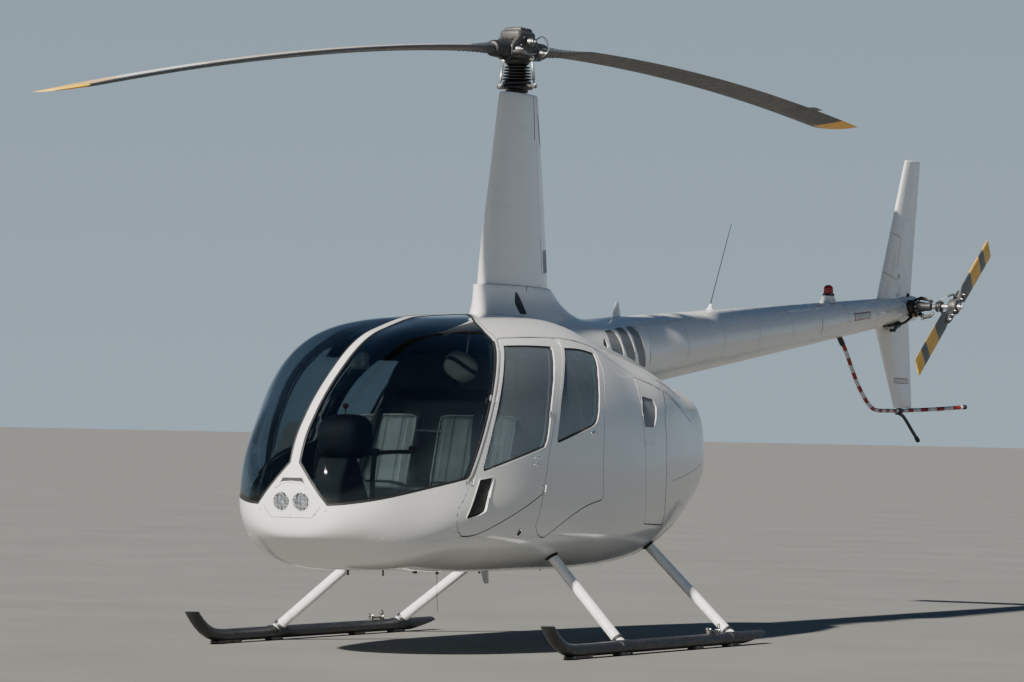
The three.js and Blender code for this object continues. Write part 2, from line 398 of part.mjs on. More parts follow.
put('beacon', rod(V(0, 4620, boomC(4620) + boomR(4620) - 6), V(0, 4620, boomC(4620) + boomR(4620) + 40), 44, 40, 16)
  .add(rod(V(0, 4620, boomC(4620) + boomR(4620) + 39), V(0, 4620, boomC(4620) + boomR(4620) + 112), 34, 26, 16)).subtract(boomRod(3000, 5000, GAP)), RED, 0.2);

// ---------------------------------------------------------------- landing gear
const shoes = [-1190, -60, 880];
for (const [side, s] of [['left', 1], ['right', -1]]) {
  const x = (s * TREAD) / 2, line = [[x, 1140, SKID_Z], [x, 1000, SKID_Z], [x, -1290, SKID_Z], [x, -1419, SKID_Z + 6], [x, -1540, SKID_Z + 44], [x, -1672, SKID_Z + 128]];
  let skid = tube(line.map((p) => V(...p)), SKID_R, 16);
  for (const y of shoes) skid = skid.add(box(x - 26, x + 26, y - 150, y + 150, 0, 24));
  put(`skid_${side}`, skid, DARK, 0.6, 0.2);
  const keep = tube(line.map((p) => V(...p)), SKID_R + GAP, 16);
  for (const [where, foot, top] of [['front', [1065, -748, 75], [598, -620, 505]], ['rear', [1065, 715, 75], [495, 851, 545]]]) {
    const f = V(...foot), t = V(...top), d = t.clone().sub(f);
    const a = f.clone().addScaledVector(d, -0.03), b = t.clone().addScaledVector(d, 0.3);
    a.x *= s; b.x *= s;
    put(`leg_${where}_${side}`, rod(a, b, 29, 29, 14).subtract(bodyOut).subtract(keep), WHITE, 0.3);
  }
}

// ---------------------------------------------------------------- main rotor
put('rotor_mast', rod(V(0, 0, 2720), V(0, 0, 3320), 30, 30, 16), METAL, 0.3, 0.9);
const turned = (solid) => solid.rotate([0, 0, ROTOR_TURN]);
put('swashplate', turned(rod(V(0, 0, 3150), V(0, 0, 3198), 92, 82, 20).subtract(rod(V(0, 0, 3100), V(0, 0, 3300), 30 + GAP, 30 + GAP, 16))
  .add(rod(V(118, -20, 3165), V(126, -78, 3320), 9, 9, 8)).add(rod(V(-118, 20, 3165), V(-126, 78, 3320), 9, 9, 8))
  .add(box(70, 128, -32, -8, 3156, 3178)).add(box(-128, -70, 8, 32, 3156, 3178))), METAL, 0.4, 0.8);
put('rotor_hub', turned(box(-62, 62, -215, 215, 3321, 3412).add(rounded(-62, 62, -110, 110, 3400, 3502, 36)).add(rod(V(-95, 0, 3420), V(95, 0, 3420), 26, 26, 14))), GREY, 0.4, 0.7);
for (const [name, s] of [['forward', -1], ['aft', 1]]) {
  const rings = [[218, 96, 34], [420, 104, 30], [640, CHORD, 17], [1600, CHORD, 16], [2700, CHORD, 16], [3700, CHORD, 15], [4500, CHORD, 15], [4790, CHORD, 14], [4960, 215, 10], [ROTOR_R, 130, 5]]
    .map(([r, c, t]) => {
      const z = BLADE_Z - DROOP * (r / ROTOR_R) ** 1.8 + s * TEETER * (r / ROTOR_R);
      return foilRing((k, v) => {
        const x = -s * (CHORD * 0.28 - (r > 4800 ? CHORD - c : (CHORD - c) * 0.28) - k * c);
        return V(x, s * r, z + v * t + x * PITCH * Math.min(1, (r - 218) / 400));
      });
    });
  put(`main_blade_${name}`, turned(loft(rings)), 0xc9ccce, 0.4);
}

// ---------------------------------------------------------------- scene graph
const helicopter = new THREE.Group();
const frame = new THREE.Group();
frame.position.set(0, -CENTRE_Y, 0);
helicopter.add(frame);
for (const [name, p] of Object.entries(parts)) {
  const mesh = new THREE.Mesh(toGeometry(p.solid), new THREE.MeshStandardMaterial({ color: p.colour, roughness: p.roughness, metalness: p.metalness }));
  mesh.name = name;
  frame.add(mesh);
}
helicopter.updateMatrixWorld(true);
export default helicopter;
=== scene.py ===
import bpy, bmesh, json, math
import numpy as np
from mathutils import Vector, Matrix

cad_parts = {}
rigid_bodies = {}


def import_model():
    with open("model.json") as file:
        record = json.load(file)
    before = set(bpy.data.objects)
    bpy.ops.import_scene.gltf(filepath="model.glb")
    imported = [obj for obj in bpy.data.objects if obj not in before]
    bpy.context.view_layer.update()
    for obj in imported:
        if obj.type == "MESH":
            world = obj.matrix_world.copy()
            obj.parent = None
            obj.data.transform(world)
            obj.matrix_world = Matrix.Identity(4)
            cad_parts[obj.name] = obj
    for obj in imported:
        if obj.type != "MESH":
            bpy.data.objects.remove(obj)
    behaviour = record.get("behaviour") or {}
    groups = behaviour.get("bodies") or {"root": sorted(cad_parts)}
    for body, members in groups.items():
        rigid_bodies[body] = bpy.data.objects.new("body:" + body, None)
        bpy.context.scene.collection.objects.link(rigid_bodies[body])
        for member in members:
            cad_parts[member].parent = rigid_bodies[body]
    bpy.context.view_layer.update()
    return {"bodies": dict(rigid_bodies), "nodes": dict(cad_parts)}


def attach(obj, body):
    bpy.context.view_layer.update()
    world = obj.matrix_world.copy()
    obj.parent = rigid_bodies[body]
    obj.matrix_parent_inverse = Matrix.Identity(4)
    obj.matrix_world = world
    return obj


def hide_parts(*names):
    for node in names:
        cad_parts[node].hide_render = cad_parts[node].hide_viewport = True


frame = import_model()
NODES = frame["nodes"]

# Lengths below are millimetres in the drawing frame: rotor axis at x = y = 0, nose towards -y,
# the machine's left side at +x, ground at z = 0. put() turns them into metres in the row frame.
CENTRE_Y = 734.6
rng = np.random.default_rng(7)


def to_row(v):
    v = np.asarray(v, float).reshape(-1, 3)
    return (v - (0, CENTRE_Y, 0)) / 1000


# ------------------------------------------------------------------ materials
MATS = {}


class Tree:
    """A material's node tree, with short calls for the nodes used here."""

    def __init__(self, name):
        self.m = bpy.data.materials.new(name)
        self.m.use_nodes = True
        self.t = self.m.node_tree
        self.p = self.t.nodes["Principled BSDF"]
        self.co = self.t.nodes.new("ShaderNodeTexCoord").outputs["Object"]
        MATS[name] = self.m

    def node(self, kind, **inputs):
        n = self.t.nodes.new(kind)
        for k, v in inputs.items():
            self.set(n.inputs[k.replace("_", " ")], v)
        return n

    def set(self, socket, v):
        if isinstance(v, bpy.types.NodeSocket):
            self.t.links.new(v, socket)
        else:
            socket.default_value = v

    def scaled(self, s, rot=(0, 0, 0)):
        n = self.t.nodes.new("ShaderNodeMapping")
        self.t.links.new(self.co, n.inputs["Vector"])
        n.inputs["Scale"].default_value = s if hasattr(s, "__len__") else (s, s, s)
        n.inputs["Rotation"].default_value = rot
        return n.outputs[0]

    def noise(self, scale, detail=3, rough=0.5, stretch=(1, 1, 1), distortion=0.0):
        n = self.t.nodes.new("ShaderNodeTexNoise")
        self.set(n.inputs["Vector"], self.scaled(stretch))
        n.inputs["Scale"].default_value = scale
        n.inputs["Detail"].default_value = detail
        n.inputs["Roughness"].default_value = rough
        n.inputs["Distortion"].default_value = distortion
        return n.outputs["Fac"]

    def voronoi(self, scale, feature="F1", stretch=(1, 1, 1), randomness=1.0):
        n = self.t.nodes.new("ShaderNodeTexVoronoi")
        n.feature = feature
        self.set(n.inputs["Vector"], self.scaled(stretch))
        n.inputs["Scale"].default_value = scale
        n.inputs["Randomness"].default_value = randomness
        return n.outputs["Distance"]

    def wave(self, scale, direction="X", distortion=0.0, profile="SIN", rot=(0, 0, 0)):
        n = self.t.nodes.new("ShaderNodeTexWave")
        n.bands_direction = direction
        n.wave_profile = profile
        self.set(n.inputs["Vector"], self.scaled(1, rot))
        n.inputs["Scale"].default_value = scale
        n.inputs["Distortion"].default_value = distortion
        return n.outputs["Fac"]

    def ramp(self, fac, *stops, interpolation="LINEAR"):
        n = self.t.nodes.new("ShaderNodeValToRGB")
        self.set(n.inputs["Fac"], fac)
        r = n.color_ramp
        r.interpolation = interpolation
        while len(r.elements) < len(stops):
            r.elements.new(0.5)
        for e, (p, c) in zip(r.elements, stops):
            e.position = p
            c = c if hasattr(c, "__len__") else (c, c, c)
            e.color = (*c, 1)
        return n.outputs["Color"]

    def remap(self, v, a, b, c, d):
        n = self.t.nodes.new("ShaderNodeMapRange")
        self.set(n.inputs["Value"], v)
        for k, x in zip(("From Min", "From Max", "To Min", "To Max"), (a, b, c, d)):
            self.set(n.inputs[k], x)
        return n.outputs["Result"]

    def math(self, op, a, b=0.5, c=0.5):
        n = self.t.nodes.new("ShaderNodeMath")
        n.operation = op
        for s, v in zip(n.inputs, (a, b, c)):
            self.set(s, v)
        return n.outputs[0]

    def mix(self, fac, a, b, blend="MIX"):
        n = self.t.nodes.new("ShaderNodeMix")
        n.data_type = "RGBA"
        n.blend_type = blend
        self.set(n.inputs["Factor"], fac)
        for s, v in (("A", a), ("B", b)):
            sock = [i for i in n.inputs if i.name == s and i.type == "RGBA"][0]
            self.set(sock, v if isinstance(v, bpy.types.NodeSocket) else (*v, 1))
        return [o for o in n.outputs if o.type == "RGBA"][0]

    def axis(self, k):
        n = self.t.nodes.new("ShaderNodeSeparateXYZ")
        self.t.links.new(self.co, n.inputs[0])
        return n.outputs["XYZ".index(k)]

    def bump(self, height, strength=0.2, distance=0.001, after=None):
        n = self.t.nodes.new("ShaderNodeBump")
        self.set(n.inputs["Height"], height)
        n.inputs["Strength"].default_value = strength
        n.inputs["Distance"].default_value = distance
        if after is not None:
            self.set(n.inputs["Normal"], after)
        return n.outputs[0]

    def done(self, colour=None, rough=None, normal=None, **plain):
        if colour is not None:
            self.set(self.p.inputs["Base Color"], colour if isinstance(colour, bpy.types.NodeSocket) else (*colour, 1))
        if rough is not None:
            self.set(self.p.inputs["Roughness"], rough)
        if normal is not None:
            self.set(self.p.inputs["Normal"], normal)
        for k, v in plain.items():
            self.p.inputs[k.replace("_", " ")].default_value = v
        return self.m


def paint(name, colour, rough=(0.16, 0.26), dirt=(0.50, 0.47, 0.42), dirt_amount=0.10, coat=0.35, mottling=0.03, peel=0.05):
    """Gloss paint: faint mottling, haze in the gloss, thin streaks of grime, orange peel."""
    t = Tree(name)
    c = np.array(colour)
    big = t.noise(1.3, 4, 0.55)
    base = t.ramp(big, (0.35, c * (1 - mottling)), (0.65, np.minimum(c * (1 + mottling * 0.6), 1)))
    streaks = t.noise(6.0, 6, 0.65, stretch=(1.2, 0.5, 2.6))
    fine = t.noise(55.0, 4, 0.6)
    grime = t.math("MULTIPLY", t.remap(streaks, 0.52, 0.78, 0, 1), t.remap(fine, 0.35, 0.7, 0.3, 1))
    base = t.mix(t.math("MULTIPLY", grime, dirt_amount * 2), base, dirt)
    r = t.remap(t.noise(9.0, 5, 0.6), 0.3, 0.7, rough[0], rough[1])
    b = t.bump(t.noise(260.0, 2, 0.5), peel, 0.0006)
    return t.done(base, r, b, Coat_Weight=coat, Coat_Roughness=0.06)


def metal(name, colour, rough=(0.3, 0.5), dirt=(0.05, 0.045, 0.04), dirt_amount=0.5, metallic=1.0):
    t = Tree(name)
    c = np.array(colour)
    n = t.noise(30.0, 5, 0.6)
    base = t.ramp(n, (0.3, c * 0.8), (0.7, np.minimum(c * 1.1, 1)))
    g = t.remap(t.noise(12.0, 6, 0.7), 0.45, 0.75, 0, dirt_amount)
    base = t.mix(g, base, dirt)
    r = t.remap(t.noise(70.0, 3, 0.6), 0.3, 0.7, rough[0], rough[1])
    b = t.bump(t.noise(400.0, 2, 0.5), 0.12, 0.0004)
    return t.done(base, r, b, Metallic=metallic)


def plain(name, colour, rough=(0.45, 0.65), grain=350.0, bump=0.15, wear=None, spec=0.5, metallic=0.0):
    """Moulded plastic, rubber or matt paint with fine grain and a little wear."""
    t = Tree(name)
    c = np.array(colour)
    base = t.ramp(t.noise(14.0, 5, 0.6), (0.3, c * 0.82), (0.7, np.minimum(c * 1.15 + 0.004, 1)))
    if wear is not None:
        w = t.remap(t.noise(23.0, 7, 0.72), 0.56, 0.70, 0, 0.75)
        base = t.mix(w, base, wear)
    r = t.remap(t.noise(40.0, 3, 0.6), 0.3, 0.7, rough[0], rough[1])
    b = t.bump(t.noise(grain, 3, 0.55), bump, 0.0006)
    return t.done(base, r, b, Specular_IOR_Level=spec, Metallic=metallic)


def glass_mat(name, tint, rough=0.02, haze=0.0):
    """Window glass or acrylic: faint smears in the gloss."""
    t = Tree(name)
    smear = t.noise(5.0, 5, 0.7, stretch=(1, 0.6, 2.0))
    c = np.array(tint)
    base = t.ramp(smear, (0.3, c * 0.94), (0.7, np.minimum(c * 1.03, 1)))
    r = t.remap(t.noise(11.0, 6, 0.7), 0.45, 0.8, rough, rough + 0.05)
    return t.done(base, r, None, Transmission_Weight=1.0 - haze, IOR=1.45)


WHITE = paint("white_gloss_paint", (0.70, 0.70, 0.68), coat=0.5)
paint("white_boom_paint", (0.66, 0.675, 0.68), rough=(0.2, 0.34))
# cabin lining: partly the liner's own dark tone, partly painted shade that keeps the cabin dark through the glass
INNER = plain("cabin_liner", (0.022, 0.023, 0.026), (0.7, 0.85), spec=0.25)
# door jamb grey: lighter than the jamb's black rubber facing, so the door seams' shade reads paler (painted light)
JAMB = plain("door_jamb_grey", (0.30, 0.31, 0.32), (0.5, 0.65))
BLACK = plain("black_rubber", (0.012, 0.012, 0.013), (0.55, 0.8), bump=0.25)
SATIN_BLACK = plain("satin_black", (0.016, 0.016, 0.018), (0.32, 0.5))
DARK_GREY = plain("dark_grey_paint", (0.055, 0.057, 0.060), (0.4, 0.6), wear=(0.12, 0.12, 0.125))
GLASS = glass_mat("tinted_glass", (0.40, 0.46, 0.48))
SIDE_GLASS = glass_mat("side_window_glass", (0.44, 0.50, 0.52), haze=0.16)
CLEAR = glass_mat("clear_glass", (0.93, 0.95, 0.96))
STEEL = metal("bare_steel", (0.62, 0.62, 0.62))
ALU = metal("cast_aluminium", (0.50, 0.50, 0.50), (0.4, 0.6))
CHROME = metal("bright_chrome", (0.85, 0.85, 0.86), (0.06, 0.14), dirt_amount=0.12)


# ------------------------------------------------------------------ meshes
def new(name, verts, faces, mats, smooth=True, mm=True, slots=None):
    me = bpy.data.meshes.new(name)
    v = to_row(verts) if mm else np.asarray(verts, float)
    me.from_pydata(v.tolist(), [], [list(map(int, f)) for f in faces])
    for m in mats if isinstance(mats, (list, tuple)) else [mats]:
        me.materials.append(m)
    if slots is not None:
        me.polygons.foreach_set("material_index", np.asarray(slots, np.int32))
    me.polygons.foreach_set("use_smooth", [bool(smooth)] * len(me.polygons))
    me.update()
    o = bpy.data.objects.new(name, me)
    bpy.context.scene.collection.objects.link(o)
    return o


def orient(o):
    """Normals outwards on every closed shell."""
    bm = bmesh.new()
    bm.from_mesh(o.data)
    bmesh.ops.recalc_face_normals(bm, faces=bm.faces)
    bm.to_mesh(o.data)
    bm.free()
    return o


def ring_faces(nr, na, closed=True, first=0):
    f = []
    for i in range(nr - 1):
        for k in range(na if closed else na - 1):
            l = (k + 1) % na
            f.append((first + i * na + k, first + i * na + l, first + (i + 1) * na + l, first + (i + 1) * na + k))
    return f


def loft(name, rings, mats, caps=(True, True), smooth=True, slots=None, mm=True):
    """Closed body through rings of equal count; a ring with one point closes to an apex."""
    rings = [np.asarray(r, float).reshape(-1, 3) for r in rings]
    na = max(len(r) for r in rings)
    verts, faces, start = [], [], []
    for r in rings:
        start.append(len(verts))
        verts.extend(r.tolist())
    for i in range(len(rings) - 1):
        a, b = start[i], start[i + 1]
        la, lb = len(rings[i]), len(rings[i + 1])
        for k in range(na):
            l = (k + 1) % na
            if la > 1 and lb > 1:
                faces.append((a + k, a + l, b + l, b + k))
            elif la == 1:
                faces.append((a, b + l, b + k))
            else:
                faces.append((a + k, a + l, b))
    for i, on in ((0, caps[0]), (len(rings) - 1, caps[1])):
        if on and len(rings[i]) > 1:
            idx = [start[i] + k for k in range(na)]
            faces.append(idx[::-1] if i == 0 else idx)
    o = new(name, verts, faces, mats, smooth, mm)
    orient(o)
    if slots is not None:
        for p in o.data.polygons:
            p.material_index = slots(p)
    return o


def sharp(o, deg=32):
    o.data.set_sharp_from_angle(angle=math.radians(deg))
    return o


def join(name, objs):
    objs = [o for o in objs if o is not None]
    mats, verts, faces, slots, smooth = [], [], [], [], []
    for o in objs:
        m = np.array(o.matrix_world)
        co = np.array([v.co for v in o.data.vertices], float).reshape(-1, 3)
        if len(co) == 0:
            continue
        co = co @ m[:3, :3].T + m[:3, 3]
        off = len(verts)
        ids = []
        for mt in o.data.materials:
            if mt not in mats:
                mats.append(mt)
            ids.append(mats.index(mt))
        for p in o.data.polygons:
            faces.append([off + i for i in p.vertices])
            slots.append(ids[p.material_index] if ids else 0)
            smooth.append(p.use_smooth)
        verts.extend(co.tolist())
    for o in objs:
        bpy.data.objects.remove(o)
    r = new(name, verts, faces, mats, True, False, slots)
    r.data.polygons.foreach_set("use_smooth", smooth)
    return r


def applied(o):
    """The object's mesh with its modifiers applied."""
    dg = bpy.context.evaluated_depsgraph_get()
    dg.update()
    me = bpy.data.meshes.new_from_object(o.evaluated_get(dg))
    old = o.data
    o.modifiers.clear()
    o.data = me
    bpy.data.meshes.remove(old)
    return o


def copy(o, name=None):
    c = o.copy()
    c.data = o.data.copy()
    c.name = name or o.name
    bpy.context.scene.collection.objects.link(c)
    return c


def csg(a, op, *others, keep=False):
    """a = a op others, with the exact manifold solver. The others are removed unless keep."""
    for b in others:
        m = a.modifiers.new("b", "BOOLEAN")
        m.object = b
        m.operation = op
        m.solver = "MANIFOLD"
        applied(a)
    if not keep:
        for b in others:
            bpy.data.objects.remove(b)
    return a


def cut(a, *b, keep=False):
    return csg(a, "DIFFERENCE", *b, keep=keep)


def meet(a, *b, keep=False):
    return csg(a, "INTERSECT", *b, keep=keep)


def union(a, *b, keep=False):
    return csg(a, "UNION", *b, keep=keep)


def drop(*objs):
    for o in objs:
        bpy.data.objects.remove(o)


def largest(o):
    """Keeps the largest connected part."""
    bm = bmesh.new()
    bm.from_mesh(o.data)
    left, best = set(bm.verts), []
    while left:
        seed = left.pop()
        group, todo = [seed], [seed]
        while todo:
            v = todo.pop()
            for e in v.link_edges:
                w = e.other_vert(v)
                if w in left:
                    left.remove(w)
                    group.append(w)
                    todo.append(w)
        if len(group) > len(best):
            best = group
    keep = set(best)
    bmesh.ops.delete(bm, geom=[v for v in bm.verts if v not in keep], context="VERTS")
    bm.to_mesh(o.data)
    bm.free()
    return o


# outlines
def grow(poly, d):
    p = np.asarray(poly, float)
    area = np.sum(p[:, 0] * np.roll(p[:, 1], -1) - p[:, 1] * np.roll(p[:, 0], -1))
    s = 1 if area > 0 else -1
    out = []
    n = len(p)
    for i in range(n):
        a, q, r = p[i - 1], p[i], p[(i + 1) % n]
        e1, e2 = q - a, r - q
        e1, e2 = e1 / np.linalg.norm(e1), e2 / np.linalg.norm(e2)
        m = np.array([s * e1[1] + s * e2[1], -s * e1[0] - s * e2[0]])
        k = max(0.35, m @ m / 2)
        out.append(q + d * m / k)
    return np.array(out)


def rounded(poly, r=25.0, smooth_deg=30, n=5, sharp_at=()):
    """Outline with smooth runs where it turns little and fillets of radius r at its corners."""
    p = np.asarray(poly, float)
    out = []
    N = len(p)
    for i in range(N):
        a, q, b = p[i - 1], p[i], p[(i + 1) % N]
        l1, l2 = np.linalg.norm(q - a), np.linalg.norm(b - q)
        e1, e2 = (q - a) / l1, (b - q) / l2
        turn = math.acos(max(-1, min(1, float(e1 @ e2))))
        if turn < 0.005 or i in sharp_at:
            out.append(q)
            continue
        t = 0.49 * min(l1, l2)
        if math.degrees(turn) >= smooth_deg:
            t = min(t, r * math.tan(turn / 2))
        u, v = q - e1 * t, q + e2 * t
        for k in range(n + 1):
            s = k / n
            out.append((1 - s) ** 2 * u + 2 * s * (1 - s) * q + s * s * v)
    return np.array(out)


def prism(poly, lo, hi, plane="yz", name="prism", mats=None):
    """Straight prism over an outline: plane yz runs along x, xz along y, xy along z."""
    p = np.asarray(poly, float)
    n = len(p)

    def at(h):
        c = np.full(n, h)
        return {"yz": np.c_[c, p[:, 0], p[:, 1]], "xz": np.c_[p[:, 0], c, p[:, 1]], "xy": np.c_[p[:, 0], p[:, 1], c]}[plane]

    v = np.vstack([at(lo), at(hi)])
    f = [list(range(n))[::-1], [n + i for i in range(n)]] + [(i, (i + 1) % n, n + (i + 1) % n, n + i) for i in range(n)]
    return orient(new(name, v, f, mats or [INNER], False))


def box(x0, x1, y0, y1, z0, z1, name="box", mats=None):
    return prism([(x0, y0), (x1, y0), (x1, y1), (x0, y1)], z0, z1, "xy", name, mats)


def frame_at(d, up=(0, 0, 1)):
    d = np.asarray(d, float)
    d = d / np.linalg.norm(d)
    u = np.asarray(up, float)
    if abs(d @ u) > 0.95:
        u = np.array([1.0, 0, 0])
    u = u - d * (u @ d)
    u /= np.linalg.norm(u)
    return d, u, np.cross(d, u)


def tube(name, pts, r, mats, sides=16, caps=True, up=(0, 0, 1), squash=(1, 1), smooth=True):
    """Round tube through points, r a number or a list; squash scales it along up and across."""
    p = np.asarray(pts, float)
    n = len(p)
    rr = np.broadcast_to(np.asarray(r, float), (n,))
    rings, u = [], None
    for i in range(n):
        d = np.zeros(3)
        if i > 0:
            d += (p[i] - p[i - 1]) / max(np.linalg.norm(p[i] - p[i - 1]), 1e-9)
        if i < n - 1:
            d += (p[i + 1] - p[i]) / max(np.linalg.norm(p[i + 1] - p[i]), 1e-9)
        d /= np.linalg.norm(d)
        if u is None:
            _, u, w = frame_at(d, up)
        else:
            u = u - d * (u @ d)
            u /= np.linalg.norm(u)
            w = np.cross(d, u)
        a = np.linspace(0, 2 * math.pi, sides, endpoint=False)
        rings.append(p[i] + rr[i] * (np.cos(a)[:, None] * u * squash[0] + np.sin(a)[:, None] * w * squash[1]))
    o = loft(name, rings, mats, (caps, caps), smooth)
    return sharp(o, 40)


def lathe(name, profile, a, b, mats, sides=32, slots=None, smooth_deg=35):
    """Turned body: profile is (distance along a-b, radius), a to b is the axis."""
    a, b = np.asarray(a, float), np.asarray(b, float)
    d, u, w = frame_at(b - a)
    t = np.linspace(0, 2 * math.pi, sides, endpoint=False)
    rings = []
    for s, r in profile:
        if r < 1e-6:
            rings.append((a + d * s)[None])
        else:
            rings.append(a + d * s + r * (np.cos(t)[:, None] * u + np.sin(t)[:, None] * w))
    o = loft(name, rings, mats, (True, True))
    return sharp(o, smooth_deg)


def rod(name, a, b, r, mats, sides=24, bevel=0.0, r2=None):
    L = float(np.linalg.norm(np.asarray(b, float) - np.asarray(a, float)))
    r2 = r if r2 is None else r2
    if bevel:
        prof = [(0, r - bevel), (bevel * 0.3, r - bevel * 0.3), (bevel, r), (L - bevel, r2), (L - bevel * 0.3, r2 - bevel * 0.3), (L, r2 - bevel)]
    else:
        prof = [(0, r), (L, r2)]
    return lathe(name, prof, a, b, mats, sides)


def rbox(name, centre, size, mats, r=4.0, seg=3, axes=None, deg=35):
    """Box with rounded edges; axes are its three directions."""
    bm = bmesh.new()
    bmesh.ops.create_cube(bm, size=1.0)
    s = np.asarray(size, float) / 1000
    for v in bm.verts:
        v.co = Vector((v.co.x * s[0], v.co.y * s[1], v.co.z * s[2]))
    bmesh.ops.bevel(bm, geom=bm.edges[:], offset=min(r / 1000, min(s) * 0.45), segments=seg, affect="EDGES", profile=0.5)
    me = bpy.data.meshes.new(name)
    c = to_row([centre])[0]
    A = np.eye(3) if axes is None else np.asarray(axes, float)
    for v in bm.verts:
        v.co = Vector((np.array(v.co) @ A + c).tolist())
    bm.to_mesh(me)
    bm.free()
    for m in mats if isinstance(mats, (list, tuple)) else [mats]:
        me.materials.append(m)
    me.polygons.foreach_set("use_smooth", [True] * len(me.polygons))
    o = bpy.data.objects.new(name, me)
    bpy.context.scene.collection.objects.link(o)
    return sharp(o, deg)


def spline(pts, n, closed=False):
    """Catmull-Rom through points, n samples a span."""
    p = np.asarray(pts, float)
    m = len(p)
    out = []
    for i in range(m if closed else m - 1):
        a = p[i - 1] if (i > 0 or closed) else 2 * p[0] - p[1]
        b, c = p[i], p[(i + 1) % m]
        d = p[(i + 2) % m] if (i + 2 < m or closed) else 2 * p[-1] - p[-2]
        for k in range(n):
            t = k / n
            out.append(0.5 * (2 * b + (c - a) * t + (2 * a - 5 * b + 4 * c - d) * t * t + (3 * b - a - 3 * c + d) * t ** 3))
    if not closed:
        out.append(p[-1])
    return np.array(out)


def along(pts, step, closed=False):
    """Points at equal steps along a polyline."""
    p = np.asarray(pts, float)
    if closed:
        p = np.vstack([p, p[:1]])
    L = np.r_[0, np.cumsum(np.linalg.norm(np.diff(p, axis=0), axis=1))]
    n = max(1, int(round(L[-1] / step)))
    s = np.linspace(0, L[-1], n + 1)
    if closed:
        s = s[:-1]
    return np.array([[np.interp(x, L, p[:, k]) for k in range(p.shape[1])] for x in s])


def studs(name, pts, normals, r, mats, h=None, sides=8):
    """Domed rivet heads as one mesh."""
    pts, normals = np.asarray(pts, float).reshape(-1, 3), np.asarray(normals, float).reshape(-1, 3)
    h = r * 0.45 if h is None else h
    V, F = [], []
    a = np.linspace(0, 2 * math.pi, sides, endpoint=False)
    for p, n in zip(pts, normals):
        d, u, w = frame_at(n)
        o = len(V)
        for rr, hh in ((r, -0.4), (r * 0.92, h * 0.45), (r * 0.55, h * 0.88)):
            V.extend((p + d * hh + rr * (np.cos(a)[:, None] * u + np.sin(a)[:, None] * w)).tolist())
        V.append((p + d * h).tolist())
        for i in range(2):
            for k in range(sides):
                l = (k + 1) % sides
                F.append((o + i * sides + k, o + i * sides + l, o + (i + 1) * sides + l, o + (i + 1) * sides + k))
        for k in range(sides):
            F.append((o + 2 * sides + k, o + 2 * sides + (k + 1) % sides, o + 3 * sides))
        F.append([o + k for k in range(sides)][::-1])
    return new(name, V, F, mats)


def ride(o, body="airframe"):
    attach(o, body)
    return o


# ------------------------------------------------------------------ cabin body surface
# y, bottom z, top z, half width, z of the widest line, exponent below, exponent above
BODY = np.array([
    [-2520, 848, 848, 0, 848, 2.00, 2.00], [-2500, 680, 957, 202, 848, 2.23, 1.96], [-2440, 612, 1129, 318, 828, 2.46, 2.09],
    [-2300, 538, 1333, 434, 846, 2.54, 2.28], [-2050, 460, 1547, 539, 870, 3.10, 2.53], [-1700, 451, 1742, 655, 900, 2.91, 2.93],
    [-1200, 431, 1822, 730, 930, 3.10, 3.10], [-600, 423, 1853, 741, 950, 3.13, 2.90], [0, 420, 1846, 724, 960, 3.12, 2.56],
    [500, 428, 1739, 674, 970, 2.99, 2.53], [1000, 456, 1619, 595, 985, 2.63, 3.35], [1400, 544, 1530, 512, 1000, 2.23, 3.30],
    [1700, 656, 1481, 438, 1020, 1.93, 3.60], [1850, 770, 1420, 353, 1040, 1.81, 2.88], [1900, 884, 1297, 212, 1050, 1.86, 2.56],
    [1910, 1050, 1050, 0, 1050, 2.00, 2.00]], float)


def natural(T):
    n = len(T)
    M, cp, dp = np.zeros_like(T), np.zeros(n), np.zeros_like(T)
    for i in range(1, n - 1):
        rhs, den = 6 * (T[i - 1] - 2 * T[i] + T[i + 1]), 4 - cp[i - 1]
        cp[i], dp[i] = 1 / den, (rhs - dp[i - 1]) / den
    for i in range(n - 2, 0, -1):
        M[i] = dp[i] - cp[i] * M[i + 1]
    return M


BODY_M = natural(BODY)


def rows(u):
    u = np.atleast_1d(np.asarray(u, float))
    i = np.clip(np.floor(u).astype(int), 0, len(BODY) - 2)
    t = (u - i)[:, None]
    return (BODY[i] * (1 - t) + BODY[i + 1] * t
            + (((1 - t) ** 3 - (1 - t)) * BODY_M[i] + (t ** 3 - t) * BODY_M[i + 1]) / 6)


_U = np.linspace(0, len(BODY) - 1, 6001)
_Y = np.maximum.accumulate(rows(_U)[:, 0])


def at_y(y):
    return rows(np.interp(np.atleast_1d(y), _Y, _U))


def valley(p):
    """Depth of the shallow valley along the centre strip, between the bulges of the two panes."""
    def ease(t):
        k = np.clip(t, 0, 1)
        return k * k * (3 - 2 * k)
    return 28 * ease((p[:, 1] + 2470) / 150) * ease((-1200 - p[:, 1]) / 400) * np.exp(-((p[:, 0] / 140) ** 2)) * ease((p[:, 2] - 700) / 250)


def gauge(p):
    """Superellipse radius of points, 1 on the body's surface."""
    p = np.asarray(p, float).reshape(-1, 3)
    p = p + np.c_[np.zeros((len(p), 2)), valley(p)]
    R = at_y(np.clip(p[:, 1], -2519, 1909))
    up = p[:, 2] >= R[:, 4]
    h = np.where(up, R[:, 2] - R[:, 4], R[:, 4] - R[:, 1])
    n = np.where(up, R[:, 6], R[:, 5])
    return ((np.abs(p[:, 0]) / np.maximum(R[:, 3], 1)) ** n + (np.abs(p[:, 2] - R[:, 4]) / np.maximum(h, 1)) ** n) ** (1 / n)


def normal_at(p):
    p = np.asarray(p, float).reshape(-1, 3)
    e = 0.8
    g = np.stack([gauge(p + e * d) - gauge(p - e * d) for d in np.eye(3)], 1)
    return g / np.maximum(np.linalg.norm(g, axis=1, keepdims=True), 1e-12)


